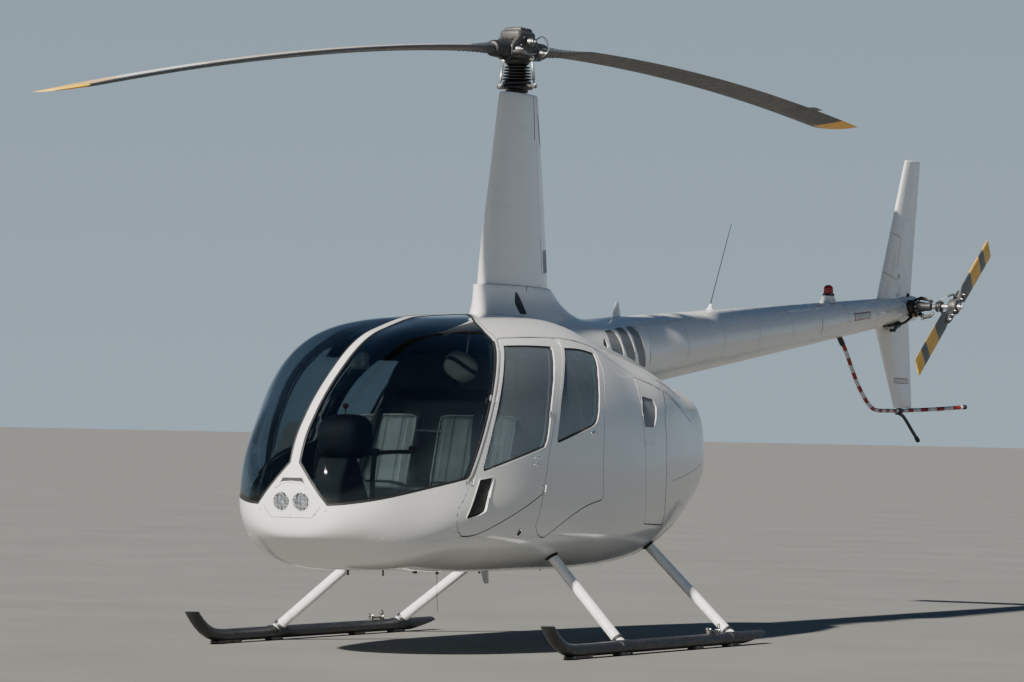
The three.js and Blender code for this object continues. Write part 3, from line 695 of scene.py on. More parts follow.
def side(yz, depth=0.0, s=1):
    """Points on the body's side at given y, z, moved inwards by depth. s = 1 left, -1 right."""
    q = np.asarray(yz, float).reshape(-1, 2)
    R = at_y(q[:, 0])
    up = q[:, 1] >= R[:, 4]
    h = np.where(up, R[:, 2] - R[:, 4], R[:, 4] - R[:, 1])
    n = np.where(up, R[:, 6], R[:, 5])
    t = np.clip(np.abs(q[:, 1] - R[:, 4]) / h, 0, 0.9999)
    x = R[:, 3] * (1 - t ** n) ** (1 / n)
    p = np.c_[s * x, q]
    nn = normal_at(p)
    return p - nn * depth, nn


def top(xy, depth=0.0, under=False):
    """Points on the roof (or belly) at given x, y, moved inwards by depth."""
    q = np.asarray(xy, float).reshape(-1, 2)
    R = at_y(q[:, 1])
    h = np.where(under, R[:, 1] - R[:, 4], R[:, 2] - R[:, 4])
    n = R[:, 5] if under else R[:, 6]
    t = np.clip(np.abs(q[:, 0]) / R[:, 3], 0, 0.9999)
    z = R[:, 4] + h * (1 - t ** n) ** (1 / n)
    p = np.c_[q, z]
    p[:, 2] -= valley(p)
    nn = normal_at(p)
    return p - nn * depth, nn


def body_solid(d, nu=110, na=96, name="body"):
    """The body's outer solid moved inwards by d."""
    w = (1 - np.cos(np.linspace(0, math.pi, nu))) / 2
    u = 0.12 + (14.88 - 0.12) * (0.25 * w + 0.75 * np.linspace(0, 1, nu))
    phi = np.linspace(0, 2 * math.pi, na, endpoint=False)
    rings = [np.array([[0, -2520 + d, 848.0]])]
    for uu in u:
        def pt(a, b):
            R = rows(a)
            up = np.sin(b) >= 0
            h = np.where(up, R[:, 2] - R[:, 4], R[:, 4] - R[:, 1])
            n = np.where(up, R[:, 6], R[:, 5])
            r = 1 / ((np.abs(np.cos(b)) / R[:, 3]) ** n + (np.abs(np.sin(b)) / h) ** n) ** (1 / n)
            return np.c_[r * np.cos(b), R[:, 0], R[:, 4] + r * np.sin(b)]
        one = np.full(na, uu)
        P = pt(one, phi)
        if d:
            e = 0.02
            A, B = pt(one + e, phi) - pt(one - e, phi), pt(one, phi + e) - pt(one, phi - e)
            N = np.cross(B, A)
            N /= np.linalg.norm(N, axis=1, keepdims=True)
            C = P - np.c_[np.zeros(na), P[:, 1], np.full(na, rows([uu])[0, 4])]
            N[np.sum(N * C, 1) < 0] *= -1
            P = P - N * d
        P[:, 2] -= valley(P)
        rings.append(P)
    rings.append(np.array([[0, 1910 - d, 1050.0]]))
    return loft(name, rings, [WHITE])


def finish_body(o, offsets=(0.0,), tol=0.6, deg=35):
    """Exact normals on faces that lie on the body's surface (or an offset of it), crisp edges elsewhere."""
    me = o.data
    me.polygons.foreach_set("use_smooth", [True] * len(me.polygons))
    me.set_sharp_from_angle(angle=math.radians(deg))
    n = len(me.loops)
    cn = np.zeros(n * 3, np.float32)
    me.corner_normals.foreach_get("vector", cn)
    cn = cn.reshape(-1, 3).astype(float)
    vi = np.zeros(n, np.int32)
    me.loops.foreach_get("vertex_index", vi)
    co = np.zeros(len(me.vertices) * 3, np.float32)
    me.vertices.foreach_get("co", co)
    co = co.reshape(-1, 3).astype(float) * 1000 + (0, CENTRE_Y, 0)
    N = normal_at(co)
    pn = np.zeros(len(me.polygons) * 3, np.float32)
    me.polygons.foreach_get("normal", pn)
    pn = pn.reshape(-1, 3)
    tot = np.zeros(len(me.polygons), np.int32)
    me.polygons.foreach_get("loop_total", tot)
    face = np.repeat(np.arange(len(me.polygons)), tot)
    # distance to the surface, to first order
    e = 0.8
    G = gauge(co)
    grad = np.linalg.norm(np.stack([gauge(co + e * d) - gauge(co - e * d) for d in np.eye(3)], 1), axis=1) / (2 * e)
    dist = (1 - G) / np.maximum(grad, 1e-9)
    on = np.zeros(len(co), bool)
    for f in offsets:
        on |= np.abs(dist - f) < tol + 0.02 * abs(f)
    dot = np.sum(pn[face] * N[vi], 1)
    use = on[vi] & (np.abs(dot) > 0.93)
    cn[use] = N[vi[use]] * np.sign(dot[use])[:, None]
    me.normals_split_custom_set(cn.tolist())
    return o


# ------------------------------------------------------------------ outlines, as in the CAD (y, z on the side)
SEAM, WALL = 3.0, 35.0
SEAM_B = [[-1091, 700], [-1046, 873], [-1005, 1026], [-962, 1160], [-895, 1290], [-801, 1435], [-650, 1590], [-447, 1727]]
FRONT_DOOR = [[-1200, 1707], [-1250, 1664], [-1312, 1614], [-1415, 1492], [-1512, 1353], [-1590, 1209], [-1637, 1121], [-1700, 988],
              [-1746, 882], [-1803, 802], [-1817, 745], [-1795, 680], [-1734, 643], [-1631, 647], [-1416, 730], [-1205, 810],
              *SEAM_B[1:], [-823, 1722]]
REAR_DOOR = [*SEAM_B[::-1], [-1028, 646], [-944, 628], [-748, 725], [-499, 806], [-288, 835], [-300, 999],
             [-290, 1165], [-228, 1388], [-87, 1557], [-10, 1690], [-223, 1716]]
DOOR_CORNER = [[-522, 1680], [-462, 1722], [-462, 1800], [-492, 1800]]
FRONT_WINDOW = [[-1212, 1668], [-1316, 1576], [-1416, 1448], [-1541, 1237], [-1636, 1003], [-1626, 988], [-1387, 1045],
                [-1073, 1113], [-1036, 1122], [-1002, 1160], [-921, 1379], [-756, 1576], [-680, 1640], [-650, 1676], [-927, 1677]]
REAR_WINDOW = [[-487, 1672], [-640, 1559], [-725, 1470], [-799, 1381], [-850, 1270], [-890, 1156], [-875, 1146],
               [-659, 1191], [-418, 1240], [-362, 1264], [-328, 1308], [-222, 1498], [-95, 1612], [-68, 1652], [-270, 1674]]
COWL_DOOR = [[500, 1528], [400, 1400], [352, 1242], [345, 1100], [350, 950], [372, 800], [420, 690], [844, 677],
             [800, 740], [754, 823], [750, 1031], [763, 1285], [883, 1459]]
WINDSHIELD_SIDE = [[-2800, 739], [-2489, 801], [-1745, 949], [-1674, 1087], [-1613, 1209], [-1541, 1343], [-1456, 1477],
                   [-1367, 1586], [-1280, 1668], [-1258, 1690], [-2800, 1690]]
WINDSHIELD_TOP = [[0, -606], [58, -680], [284, -1030], [360, -1150], [425, -1212], [482, -1258], [900, -1258], [900, -2800]]
STRIP = 22
NOSE_TRIANGLE = [[0, 1048], [-228, 770], [228, 770]]
REAR_EDGE = [[950, 300], [900, 560], [844, 677], [800, 740], [754, 823], [750, 1031], [763, 1285], [883, 1459], [960, 1560], [960, 2100]]
UPPER = [[-2800, 739], [-2489, 801], [-1745, 949], [-1500, 985], [-1300, 930], [-1081, 866], [-1000, 862], [-700, 1100],
         [-200, 1560], [-40, 1675], [-40, 2100], [-2800, 2100]]
LOWER = [[-2800, 300], [-340.3, 300], [-340.3, 861], [-1000, 861.7], [-1081, 865.7], [-1300, 929.7], [-1500, 984.7],
         [-1745, 948.7], [-2489, 800.7], [-2800, 738.7]]
AFT = [[-340, 300], [-340, 900], [-330, 1165], [-270, 1388], [-150, 1557], [-39.7, 1675], [-39.7, 2100], [2100, 2100], [2100, 300]]



FD, RD, CD = rounded(FRONT_DOOR, 38), rounded(REAR_DOOR, 34), rounded(COWL_DOOR, 30)
FW, RW = rounded(FRONT_WINDOW, 16), rounded(REAR_WINDOW, 16)
WS = rounded([*WINDSHIELD_SIDE[:-2], [-1148, 1800], [-2800, 1800]], 60, sharp_at=(0, 9, 10))
_half = np.array(WINDSHIELD_TOP, float)
WT = rounded(np.vstack([_half, (_half * (-1, 1))[1:][::-1]]), 90, sharp_at=(6, 7, 8, 9))
NT = rounded(NOSE_TRIANGLE, 14)
VENT = rounded([[-1660, 944], [-1546, 958], [-1599, 779], [-1640, 757], [-1747, 737]], 9, n=3)
MESH_VENT = rounded([[467, 1419], [627, 1404], [654, 1359], [601, 1284], [546, 1243], [381, 1242], [391, 1328]], 16, n=3)
SIDES = {"left": 1, "right": -1}


def half_box(sd):
    return box(0.01, 2000, -3000, 3000, 0, 3200) if sd == "left" else box(-2000, -0.01, -3000, 3000, 0, 3200)


def windshield_region(d=0.0):
    """Solid over the whole windshield opening, drawn in by d, without the centre strip and nose triangle."""
    a = meet(prism(grow(WS, -d), -1500, 1500), box(-1500, 1500, -3000, 0, 300, 1690.4))
    union(a, prism(grow(WT, -d), 1690 if d else 1689.9, 2200, "xy"))
    strip = box(-STRIP - d, STRIP + d, -3000, 0, 300, 2200)
    return cut(a, union(strip, prism(grow(NT, d), -3000, -2000, "xz")))


# shells
outer = body_solid(0, 150, 128)
inner = body_solid(WALL, 90, 72)
skin_in = body_solid(8, 110, 96)
middle = box(-120, 120, -3000, 3000, 0, 3000)
shell = cut(copy(outer), inner, keep=True)
skin = cut(copy(outer), skin_in, keep=True)
pan = cut(body_solid(7, 90, 72), inner, keep=True)


def opening(outline, d=SEAM):
    return cut(prism(grow(outline, d), -1500, 1500, "yz"), middle, keep=True)


openings = union(opening(FD), opening(RD))
cowl_opening = opening(CD)

# seat of the B pillar, behind the door seam
pillar_line = [[-1112, 640], *SEAM_B, [-375, 1775]]
pl = np.array([p for p in rounded([[-1300, 300], *pillar_line, [0, 2100]], sharp_at=(0, len(pillar_line) + 1))[1:-1]])
strip_b = cut(prism(np.vstack([pl + (-34, 0), (pl + (34, 0))[::-1]]), -1500, 1500, "yz"), middle, keep=True)
pillar = meet(copy(strip_b), cut(body_solid(43, 60, 64), body_solid(70, 60, 64)))
low = cut(meet(copy(strip_b), cut(body_solid(20, 60, 64), body_solid(70, 60, 64))), cut(meet(copy(openings), outer, keep=True), body_solid(44, 60, 64)))
union(pillar, low)
drop(strip_b)

cabin = cut(copy(shell), windshield_region(), openings, keep=False)
openings = union(opening(FD), opening(RD))
union(cabin, pillar)


def light_holes(r, y0=-2600, y1=-2380, name="hole"):
    a = rod(name, (-59, y0, 818), (-59, y1, 818), r, [INNER], 56)
    b = rod(name, (59, y0, 818), (59, y1, 818), r, [INNER], 56)
    return join(name, [a, b])


cut(cabin, light_holes(50))
cabin_frame = largest(meet(copy(cabin, "cabin_shell"), prism(UPPER, -1500, 1500)))
lower_fuselage = largest(meet(cabin, prism(LOWER, -1500, 1500)))
lower_fuselage.name = "lower_shell"
rear_edge = rounded([*REAR_EDGE, [2100, 2100], [2100, 300]], 60, sharp_at=(0, 9, 10, 11))
aft_cut = rounded([*[[y - 0.3, z] for y, z in REAR_EDGE], [2100, 2100], [2100, 300]], 60, sharp_at=(0, 9, 10, 11))
aft_shell = cut(meet(copy(shell, "aft_shell"), prism(AFT, -1500, 1500)), openings, prism(aft_cut, -1500, 1500), cowl_opening)
aft_shell = largest(aft_shell)
rear_shell = meet(copy(shell, "rear_cowl_shell"), prism(rear_edge, -1500, 1500))
cut(rear_shell, rod("bore", (0, 1700, 1010), (0, 2100, 930), 108, [INNER], 48))
rear_shell = largest(rear_shell)
panels = {"cabin_frame": cabin_frame, "lower_fuselage": lower_fuselage, "aft_fuselage": aft_shell, "rear_cowl": rear_shell}

for sd in SIDES:
    half = half_box(sd)
    for kind, outline, window in (("front", FD, FW), ("rear", RD, RW)):
        a = meet(copy(skin), prism(grow(outline, -SEAM), -1500, 1500))
        union(a, meet(copy(pan), prism(grow(outline, -SEAM - 12), -1500, 1500)))
        cut(a, prism(window, -1500, 1500), prism(DOOR_CORNER, -1500, 1500), box(-120, 120, -3000, 3000, 0, 3000))
        if kind == "front":
            cut(a, prism(VENT, -1500, 1500))
        a = largest(meet(a, half, keep=True))
        a.name = f"{kind}_door_{sd}_shell"
        panels[f"{kind}_door_{sd}"] = a
    a = meet(copy(skin), prism(grow(CD, -SEAM), -1500, 1500))
    union(a, meet(copy(pan), prism(grow(CD, -SEAM - 12), -1500, 1500)))
    cut(a, prism(MESH_VENT, -1500, 1500), box(-120, 120, -3000, 3000, 0, 3000))
    a = largest(meet(a, half))
    a.name = f"cowl_door_{sd}_shell"
    panels[f"cowl_door_{sd}"] = a

# the inner faces of every shell get the cabin's lining
for name, o in panels.items():
    me = o.data
    me.materials.clear()
    me.materials.append(WHITE)
    me.materials.append(INNER if "cowl" not in name and "aft" not in name else JAMB)
    co = np.zeros(len(me.polygons) * 3, np.float32)
    me.polygons.foreach_get("center", co)
    co = co.reshape(-1, 3).astype(float) * 1000 + (0, CENTRE_Y, 0)
    G = gauge(co)
    e = 0.8
    grad = np.linalg.norm(np.stack([gauge(co + e * d) - gauge(co - e * d) for d in np.eye(3)], 1), axis=1) / (2 * e)
    depth = (1 - G) / np.maximum(grad, 1e-9)
    dark = depth > 26
    if name == "cabin_frame":
        # the cut edge round the windshield panes, seen through the glass, gets the near-black lining too: painted shade
        # over the lit edge of the wall
        nf = np.zeros(len(me.polygons) * 3, np.float32)
        me.polygons.foreach_get("normal", nf)
        across = np.abs(np.sum(nf.reshape(-1, 3) * normal_at(co), axis=1)) < 0.8
        a_, b_ = WS, np.roll(WS, -1, axis=0)
        ab = b_ - a_
        q_ = co[:, None, 1:] - a_[None]
        t_ = np.clip(np.sum(q_ * ab, 2) / np.sum(ab * ab, 1), 0, 1)
        near = np.linalg.norm(q_ - t_[..., None] * ab, axis=2).min(1) < 4
        roof_edge = (co[:, 1] < -560) & (co[:, 2] > 1690) & (np.abs(co[:, 0]) < 520)
        dark |= across & (depth > 3.2) & (near | roof_edge)
    me.polygons.foreach_set("material_index", np.where(dark, 1, 0).astype(np.int32))
    finish_body(o, (0.0, 8.0, 35.0))
    body = name if name in frame["bodies"] else "airframe"
    ride(o, body)
    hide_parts(name)
drop(skin_in, middle, shell, skin, pan)


# ------------------------------------------------------------------ glass, seals and jambs
# door seals drawn mid grey rather than rubber black, so the seams' shade reads paler: painted light
SEAL_GREY = plain("door_seal_grey", (0.16, 0.165, 0.17), (0.6, 0.8), bump=0.2)


def layer(d0, d1, region, keep=False, fine=True):
    """Slice of the body wall from depth d0 to d1, inside a region."""
    a = cut(body_solid(d0, 130 if fine else 80, 112 if fine else 64), body_solid(d1, 100 if fine else 70, 96 if fine else 56))
    return meet(a, region, keep=keep)


def surfaced(o, name, mats, body, *depths, deg=35):
    o.name = name
    o.data.materials.clear()
    for m in mats if isinstance(mats, (list, tuple)) else [mats]:
        o.data.materials.append(m)
    finish_body(o, depths, deg=deg)
    return ride(o, body)


def halves(o):
    return {"left": meet(copy(o), half_box("left")), "right": meet(o, half_box("right"))}


for sd, o in halves(layer(3.0, 7.5, windshield_region(0.5))).items():
    surfaced(largest(o), f"windshield_pane_{sd}", GLASS, "airframe", 3.0, 7.5)
    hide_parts(f"windshield_{sd}")
for sd, o in halves(layer(1.8, 2.9, cut(windshield_region(0.8), windshield_region(13)))).items():
    surfaced(o, f"windshield_band_{sd}", BLACK, "airframe", 1.8, 2.9)


def ring_region(outline, d_out, d_in):
    return cut(prism(grow(outline, d_out), -1500, 1500), prism(grow(outline, d_in), -1600, 1600))


for kind, window, outline in (("front", FW, FD), ("rear", RW, RD)):
    for sd, o in halves(layer(5.0, 9.0, prism(grow(window, -0.4), -1500, 1500))).items():
        surfaced(o, f"{kind}_pane_{sd}", SIDE_GLASS, f"{kind}_door_{sd}", 5.0, 9.0)
        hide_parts(f"{kind}_window_{sd}")
    for sd, o in halves(layer(3.2, 4.9, ring_region(window, -0.5, -11), fine=False)).items():
        surfaced(o, f"{kind}_window_seal_{sd}", BLACK, f"{kind}_door_{sd}", 3.2, 4.9)
    for sd, o in halves(layer(9.2, 20.0, ring_region(window, -0.5, -7), fine=False)).items():
        surfaced(o, f"{kind}_window_retainer_{sd}", SATIN_BLACK, f"{kind}_door_{sd}", 9.2, 20.0)
    # rubber seal in the step round the door's inner pan, drawn mid grey as painted light that pales the seam's shade
    a = layer(9.0, 17.0, cut(ring_region(outline, -6, -14.9), prism(grow(DOOR_CORNER, 9), -1500, 1500)), fine=False)
    for sd, o in halves(a).items():
        surfaced(o, f"{kind}_door_gasket_{sd}", SEAL_GREY, f"{kind}_door_{sd}", 9.0, 17.0)

# flange that the doors close on, seen through the seams and with a door open; it is faced with black rubber but drawn
# in light grey so the seams look less shaded: painted light
reg = union(prism(grow(FD, 6), -1500, 1500), prism(grow(RD, 6), -1500, 1500))
inn = union(prism(grow(FD, -26), -1600, 1600), prism(grow(RD, -26), -1600, 1600))
cut(reg, inn, box(-150, 150, -3000, 3000, 0, 3000))
for sd, o in halves(layer(37.5, 42.5, reg, fine=False)).items():
    surfaced(o, f"door_jamb_{sd}", JAMB, "airframe", 37.5, 42.5)
reg = cut(ring_region(CD, 6, -26), box(-150, 150, -3000, 3000, 0, 3000))
for sd, o in halves(layer(37.5, 42.5, reg, fine=False)).items():
    surfaced(o, f"cowl_jamb_{sd}", JAMB, "airframe", 37.5, 42.5)
a = layer(9.0, 17.0, cut(ring_region(CD, -6, -14.9), box(-150, 150, -3000, 3000, 0, 3000)), fine=False)
for sd, o in halves(a).items():
    surfaced(o, f"cowl_door_gasket_{sd}", SEAL_GREY, f"cowl_door_{sd}", 9.0, 17.0)


# ------------------------------------------------------------------ roof fairings, boom and fins
BOOM = dict(y0=1400, y1=5770, c0=1679, slope=0.0892, r0=219, taper=0.0294)
MAST_FAIRING = [[1900, -8, 425, 170], [1985, 12, 405, 128], [2120, 12, 392, 114], [2400, 18, 350, 102], [2760, 27, 283, 86],
                [3060, 32, 233, 70], [3128, 33, 211, 60]]
BOOM_FAIRING = [[-300, 60, 1690, 1780], [-150, 140, 1640, 1815], [100, 225, 1580, 1843], [350, 272, 1520, 1858], [650, 298, 1465, 1864],
                [850, 296, 1450, 1867], [1050, 274, 1446, 1877], [1300, 240, 1450, 1895], [1380, 229, 1453, 1900]]
COLLAR = [[1700, 250, 700, 230], [1800, 225, 672, 212], [1863, 190, 632, 190], [1891, 139, 575, 172], [1920, 105, 535, 158],
          [1949, 70, 500, 148], [1990, 39, 466, 140], [2028, 8, 435, 135]]


def boom_c(y):
    return BOOM["c0"] + (y - BOOM["y0"]) * BOOM["slope"]


def boom_r(y):
    return BOOM["r0"] - (y - BOOM["y0"]) * BOOM["taper"]


def boom_point(y, a, out=0.0):
    """Point and normal on the boom at angle a from the machine's left side, turning upwards."""
    n = np.array([math.cos(a), 0, math.sin(a)])
    return np.array([0, y, boom_c(y)]) + n * (boom_r(y) + out), n


def boom_tube(name, y0, y1, grown, mats, sides=80, rings=2):
    R = []
    a = np.linspace(0, 2 * math.pi, sides, endpoint=False)
    ax = np.array([0, 1, BOOM["slope"]]) / math.hypot(1, BOOM["slope"])
    w = np.cross([1.0, 0, 0], ax)
    for y in np.linspace(y0, y1, rings):
        r = boom_r(y) + grown
        R.append(np.array([0, y, boom_c(y)]) + r * (np.cos(a)[:, None] * np.array([1.0, 0, 0]) + np.sin(a)[:, None] * w))
    return sharp(loft(name, R, mats), 40)


def fine(rows_, n):
    """Table refined to n rows by a natural spline over its first column."""
    T = np.array(rows_, float)
    t = np.linspace(0, 1, len(T))
    M = natural(T)
    out = []
    for u in np.linspace(0, len(T) - 1, n):
        i = min(int(u), len(T) - 2)
        s = u - i
        out.append(T[i] * (1 - s) + T[i + 1] * s + (((1 - s) ** 3 - (1 - s)) * M[i] + (s ** 3 - s) * M[i + 1]) / 6)
    return np.array(out)


def egg_ring(y, a, b, z, n=96, k=0.35):
    t = np.linspace(0, 2 * math.pi, n, endpoint=False)
    c, s = np.cos(t), np.sin(t)
    return np.c_[b * s * (1 - k * 0.5 * (1 + c)), y + a * c, np.full(n, z)]


def egg_wall(z, y, table=MAST_FAIRING, s=1, out=0.0, k=0.35):
    """Point and normal on a fairing's side at height z, station y."""
    T = fine(table, 60)

    def pt(zz, yy):
        r = [np.interp(zz, T[:, 0], T[:, j]) for j in (1, 2, 3)]
        c = max(-0.9999, min(0.9999, (yy - r[0]) / r[1]))
        return np.array([s * r[2] * math.sqrt(1 - c * c) * (1 - k * 0.5 * (1 + c)), yy, zz])
    p = pt(z, y)
    n = np.cross(pt(z, y + 2) - pt(z, y - 2), pt(z + 2, y) - pt(z - 2, y))
    n /= np.linalg.norm(n)
    if n[0] * s < 0:
        n = -n
    return p + n * out, n


FAIRING = paint("fairing_gloss_paint", (0.77, 0.77, 0.755), dirt_amount=0.16, coat=0.5)
BOOM_PAINT = MATS["white_boom_paint"]


def paint_boom():
    """White paint with soft soot and dust streaks that run aft."""
    t = Tree("boom_gloss_paint")
    big = t.noise(1.1, 4, 0.55)
    base = t.ramp(big, (0.35, (0.745, 0.755, 0.755)), (0.65, (0.775, 0.775, 0.765)))
    soot = t.remap(t.noise(3.0, 5, 0.6, stretch=(2.0, 0.35, 2.0)), 0.5, 0.8, 0, 0.08)
    low = t.remap(t.axis("Z"), 1.6, 2.1, 1.0, 0.25)
    base = t.mix(t.math("MULTIPLY", soot, low), base, (0.42, 0.38, 0.32))
    r = t.remap(t.noise(9.0, 5, 0.6), 0.3, 0.7, 0.2, 0.34)
    return t.done(base, r, t.bump(t.noise(240.0, 2, 0.5), 0.02, 0.0006), Coat_Weight=0.35, Coat_Roughness=0.06)


BOOM_PAINT = paint_boom()
# vent mesh: grey wires round near-black holes; the holes' dark is painted shade, for the dark space behind a real mesh
MESH_GREY = Tree("vent_mesh")
_g = MESH_GREY.voronoi(260.0, randomness=0.0)
MESH_GREY.done(MESH_GREY.ramp(_g, (0.22, (0.030, 0.031, 0.033)), (0.40, (0.26, 0.27, 0.28))), 0.55,
               MESH_GREY.bump(_g, 0.6, 0.002))
MESH_GREY = MESH_GREY.m

# mast fairing: thin walled at the top, open round the mast
T = fine(MAST_FAIRING, 60)
T = T[(T[:, 0] >= 2030) & (T[:, 0] <= 3126)]
at = lambda z: [float(np.interp(z, fine(MAST_FAIRING, 200)[:, 0], fine(MAST_FAIRING, 200)[:, j])) for j in (1, 2, 3)]
ringz = [2028.6, 2030.5, *T[:, 0], 3125.5, 3128.0]
R = []
for i, z in enumerate(ringz):
    y, a, b = at(min(max(z, 1900), 3128))
    d = 2.0 if i in (0, len(ringz) - 1) else 0.0
    R.append(egg_ring(y, a - d, b - d, z))
y, a, b = at(3128)
R.append(egg_ring(y, a - 12, b - 8, 3128.0))
R.append(egg_ring(y, a - 16, b - 11, 3112.0))
mf = sharp(loft("mast_fairing_shell", R, FAIRING), 40)
cut(mf, rod("bore", (0, 0, 2690), (0, 0, 3300), 46, [INNER], 48))
slot_tools = []
# points on the fairing's wall at the louvre slots by the trailing edge; nothing is drawn from them
for z0, z1, yy in ((2862, 3118, 108), (2112, 2262, 285)):
    p0, n0 = egg_wall(z0, yy, s=1)
    p1, n1 = egg_wall(z1, yy - (12 if z0 > 2500 else 24), s=1)
for o in (mf,):
    me = o.data
    sharp(o, 40)
ride(mf, "airframe")
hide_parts("mast_fairing")

SLOTS = []


def strip_on(name, pts, nrm, width, height, mats, across=None, body="airframe", lift=0.0, closed=False):
    """Low flat strip that follows points on a surface; closed ends."""
    pts, nrm = np.asarray(pts, float), np.asarray(nrm, float)
    n = len(pts)
    rings = []
    for i in range(n):
        d = pts[(i + 1) % n if closed else min(i + 1, n - 1)] - pts[i - 1 if (closed or i) else 0]
        d /= np.linalg.norm(d)
        w = np.cross(nrm[i], d)
        w /= np.linalg.norm(w)
        b = pts[i] + nrm[i] * lift
        h = nrm[i] * height
        rings.append(np.array([b - w * width / 2 - nrm[i] * 1.0, b + w * width / 2 - nrm[i] * 1.0, b + w * width / 2 + h * 0.6,
                               b + w * (width / 2 - min(1.2, width * 0.2)) + h, b - w * (width / 2 - min(1.2, width * 0.2)) + h, b - w * width / 2 + h * 0.6]))
    if closed:
        rings.append(rings[0])
        V = np.vstack(rings[:-1])
        F = []
        m = 6
        for i in range(n):
            j = (i + 1) % n
            for k in range(m):
                l = (k + 1) % m
                F.append((i * m + k, i * m + l, j * m + l, j * m + k))
        o = orient(new(name, V, F, mats))
    else:
        o = loft(name, rings, mats)
    sharp(o, 35)
    return ride(o, body)


# the louvre slots are not cut: thin black strips on the wall stand in for their dark openings (painted shade)
P, N = zip(*[egg_wall(z, 126) for z in np.linspace(2868, 3116, 14)])
strip_on("mast_fairing_slot_upper", P, N, 8, 0.8, BLACK)
P, N = zip(*[egg_wall(z, 200 + (3022 - z) * 0.22) for z in np.linspace(2838, 3022, 12)])
strip_on("mast_fairing_slot_aft", P, N, 12, 0.8, BLACK)
P, N = zip(*[egg_wall(z, 290 + (2246 - z) * 0.12) for z in np.linspace(2114, 2244, 10)])
strip_on("mast_fairing_plate_lower", P, N, 88, 0.8, JAMB)
P, N = zip(*[egg_wall(z, 206 + (2310 - z) * 0.10) for z in np.linspace(2105, 2310, 10)])
strip_on("mast_fairing_seam_lower", P, N, 5, 0.6, DARK_GREY)
P, N = zip(*[egg_wall(z, 148 + (3116 - z) * 0.045) for z in np.linspace(2300, 2860, 40)])
strip_on("mast_fairing_seam", P, N, 1.6, 0.4, JAMB)
pts = [egg_wall(z, y) for z, y in ((2142, -330), (2597, 149), (2300, 120), (2700, 95), (2960, 80))]
ride(studs("mast_fairing_screws", [p for p, n in pts], [n for p, n in pts], 5, STEEL, 1.5, 12))

# roof fairing: fairing to the boom with the collar blended in
rings = []
for y, w, zb, zt in fine(BOOM_FAIRING, 44):
    t = np.linspace(0, 2 * math.pi, 72, endpoint=False)
    c, s = np.cos(t), np.sin(t)
    rings.append(np.c_[w * np.sign(c) * np.abs(c) ** (2 / 2.3), np.full(72, y), (zb + zt) / 2 + (zt - zb) / 2 * np.sign(s) * np.abs(s) ** (2 / 2.3)])
rf = loft("roof_fairing_shell", rings, FAIRING)
C = fine(COLLAR, 40)
C = C[np.argsort(C[:, 0])]
ck = loft("collar", [egg_ring(r[1], r[2], r[3], r[0], 88) for r in C], FAIRING)
union(rf, ck)
m = rf.modifiers.new("v", "REMESH")
m.mode, m.voxel_size, m.use_smooth_shade = "VOXEL", 0.011, True
applied(rf)
# smooth the blend, keep the crisp top of the collar and the rear rim
bm = bmesh.new()
bm.from_mesh(rf.data)
bm.verts.ensure_lookup_table()
for _ in range(14):
    vs = [v for v in bm.verts if v.co.z < 1.985 and v.co.y * 1000 + CENTRE_Y < 1290]
    bmesh.ops.smooth_vert(bm, verts=vs, factor=0.5, use_axis_x=True, use_axis_y=True, use_axis_z=True)
bm.to_mesh(rf.data)
bm.free()
cut(rf, body_solid(-0.6, 150, 128), boom_tube("b", 1340, 3000, 0.5, [INNER]), keep=False)
cut(rf, box(-900, 900, -900, 900, 2028, 2200))
rf = largest(rf)
rf.name = "roof_fairing_shell"


def slot_cut(outline, depth_x=(150, 600)):
    o = rounded(outline, 22, n=4)
    return prism(o, depth_x[0], depth_x[1])


VENTS = [[[712, 1796], [815, 1806], [850, 1788], [858, 1730], [884, 1650], [700, 1684], [690, 1735]],
         [[905, 1815], [1020, 1826], [1060, 1810], [1062, 1730], [1100, 1625], [925, 1652], [878, 1733]],
         [[1098, 1828], [1198, 1838], [1240, 1820], [1262, 1719], [1310, 1592], [1170, 1612], [1092, 1715]]]
VENT_TRI = [[640, 1764], [672, 1690], [592, 1710]]


def surface_hit(o, y, z, s):
    """Where a line from the side meets an object."""
    ok, loc, nor, _ = o.ray_cast(Vector((s * 1.2, (y - CENTRE_Y) / 1000, z / 1000)), Vector((-s, 0, 0)))
    return (np.array(loc) * 1000 + (0, CENTRE_Y, 0), np.array(nor)) if ok else (None, None)


def inlay(name, target, outline, s, mats, lift=0.6, thick=3.0, r=22, step=12.0, body="airframe"):
    """Thin panel laid on a surface inside a side outline (y, z): a mesh grid lifted a little, with its own rim."""
    o = rounded(outline, r, n=4)
    bpy.context.view_layer.update()
    pts = along(o, step, True)
    rim = [surface_hit(target, a, b, s) for a, b in pts]
    rim = [(p, n) for p, n in rim if p is not None]
    c = np.mean([p for p, n in rim], 0)
    V, F = [], []
    loops = 7
    k = len(rim)
    co = pts.mean(0)
    for i in range(loops):
        f = 1 - i / loops
        for (a, b) in pts:
            q = co + (np.array([a, b]) - co) * f
            p, n = surface_hit(target, q[0], q[1], s)
            if p is None:
                p, n = rim[0]
            V.append((p + n * (lift if i else 0.1)).tolist())
    p, n = surface_hit(target, co[0], co[1], s)
    V.append((p + n * lift).tolist())
    m_ = len(pts)
    for i in range(loops - 1):
        for j in range(m_):
            l = (j + 1) % m_
            F.append((i * m_ + j, i * m_ + l, (i + 1) * m_ + l, (i + 1) * m_ + j))
    for j in range(m_):
        F.append(((loops - 1) * m_ + j, (loops - 1) * m_ + (j + 1) % m_, loops * m_))
    # back side, a little inside the surface
    off = len(V)
    for (a, b) in pts:
        p, n = surface_hit(target, a, b, s)
        if p is None:
            p, n = rim[0]
        V.append((p - n * thick).tolist())
    for j in range(m_):
        l = (j + 1) % m_
        F.append((l, j, off + j, off + l))
    F.append([off + j for j in range(m_)])
    ob = orient(new(name, V, F, mats))
    sharp(ob, 40)
    return ride(ob, body)


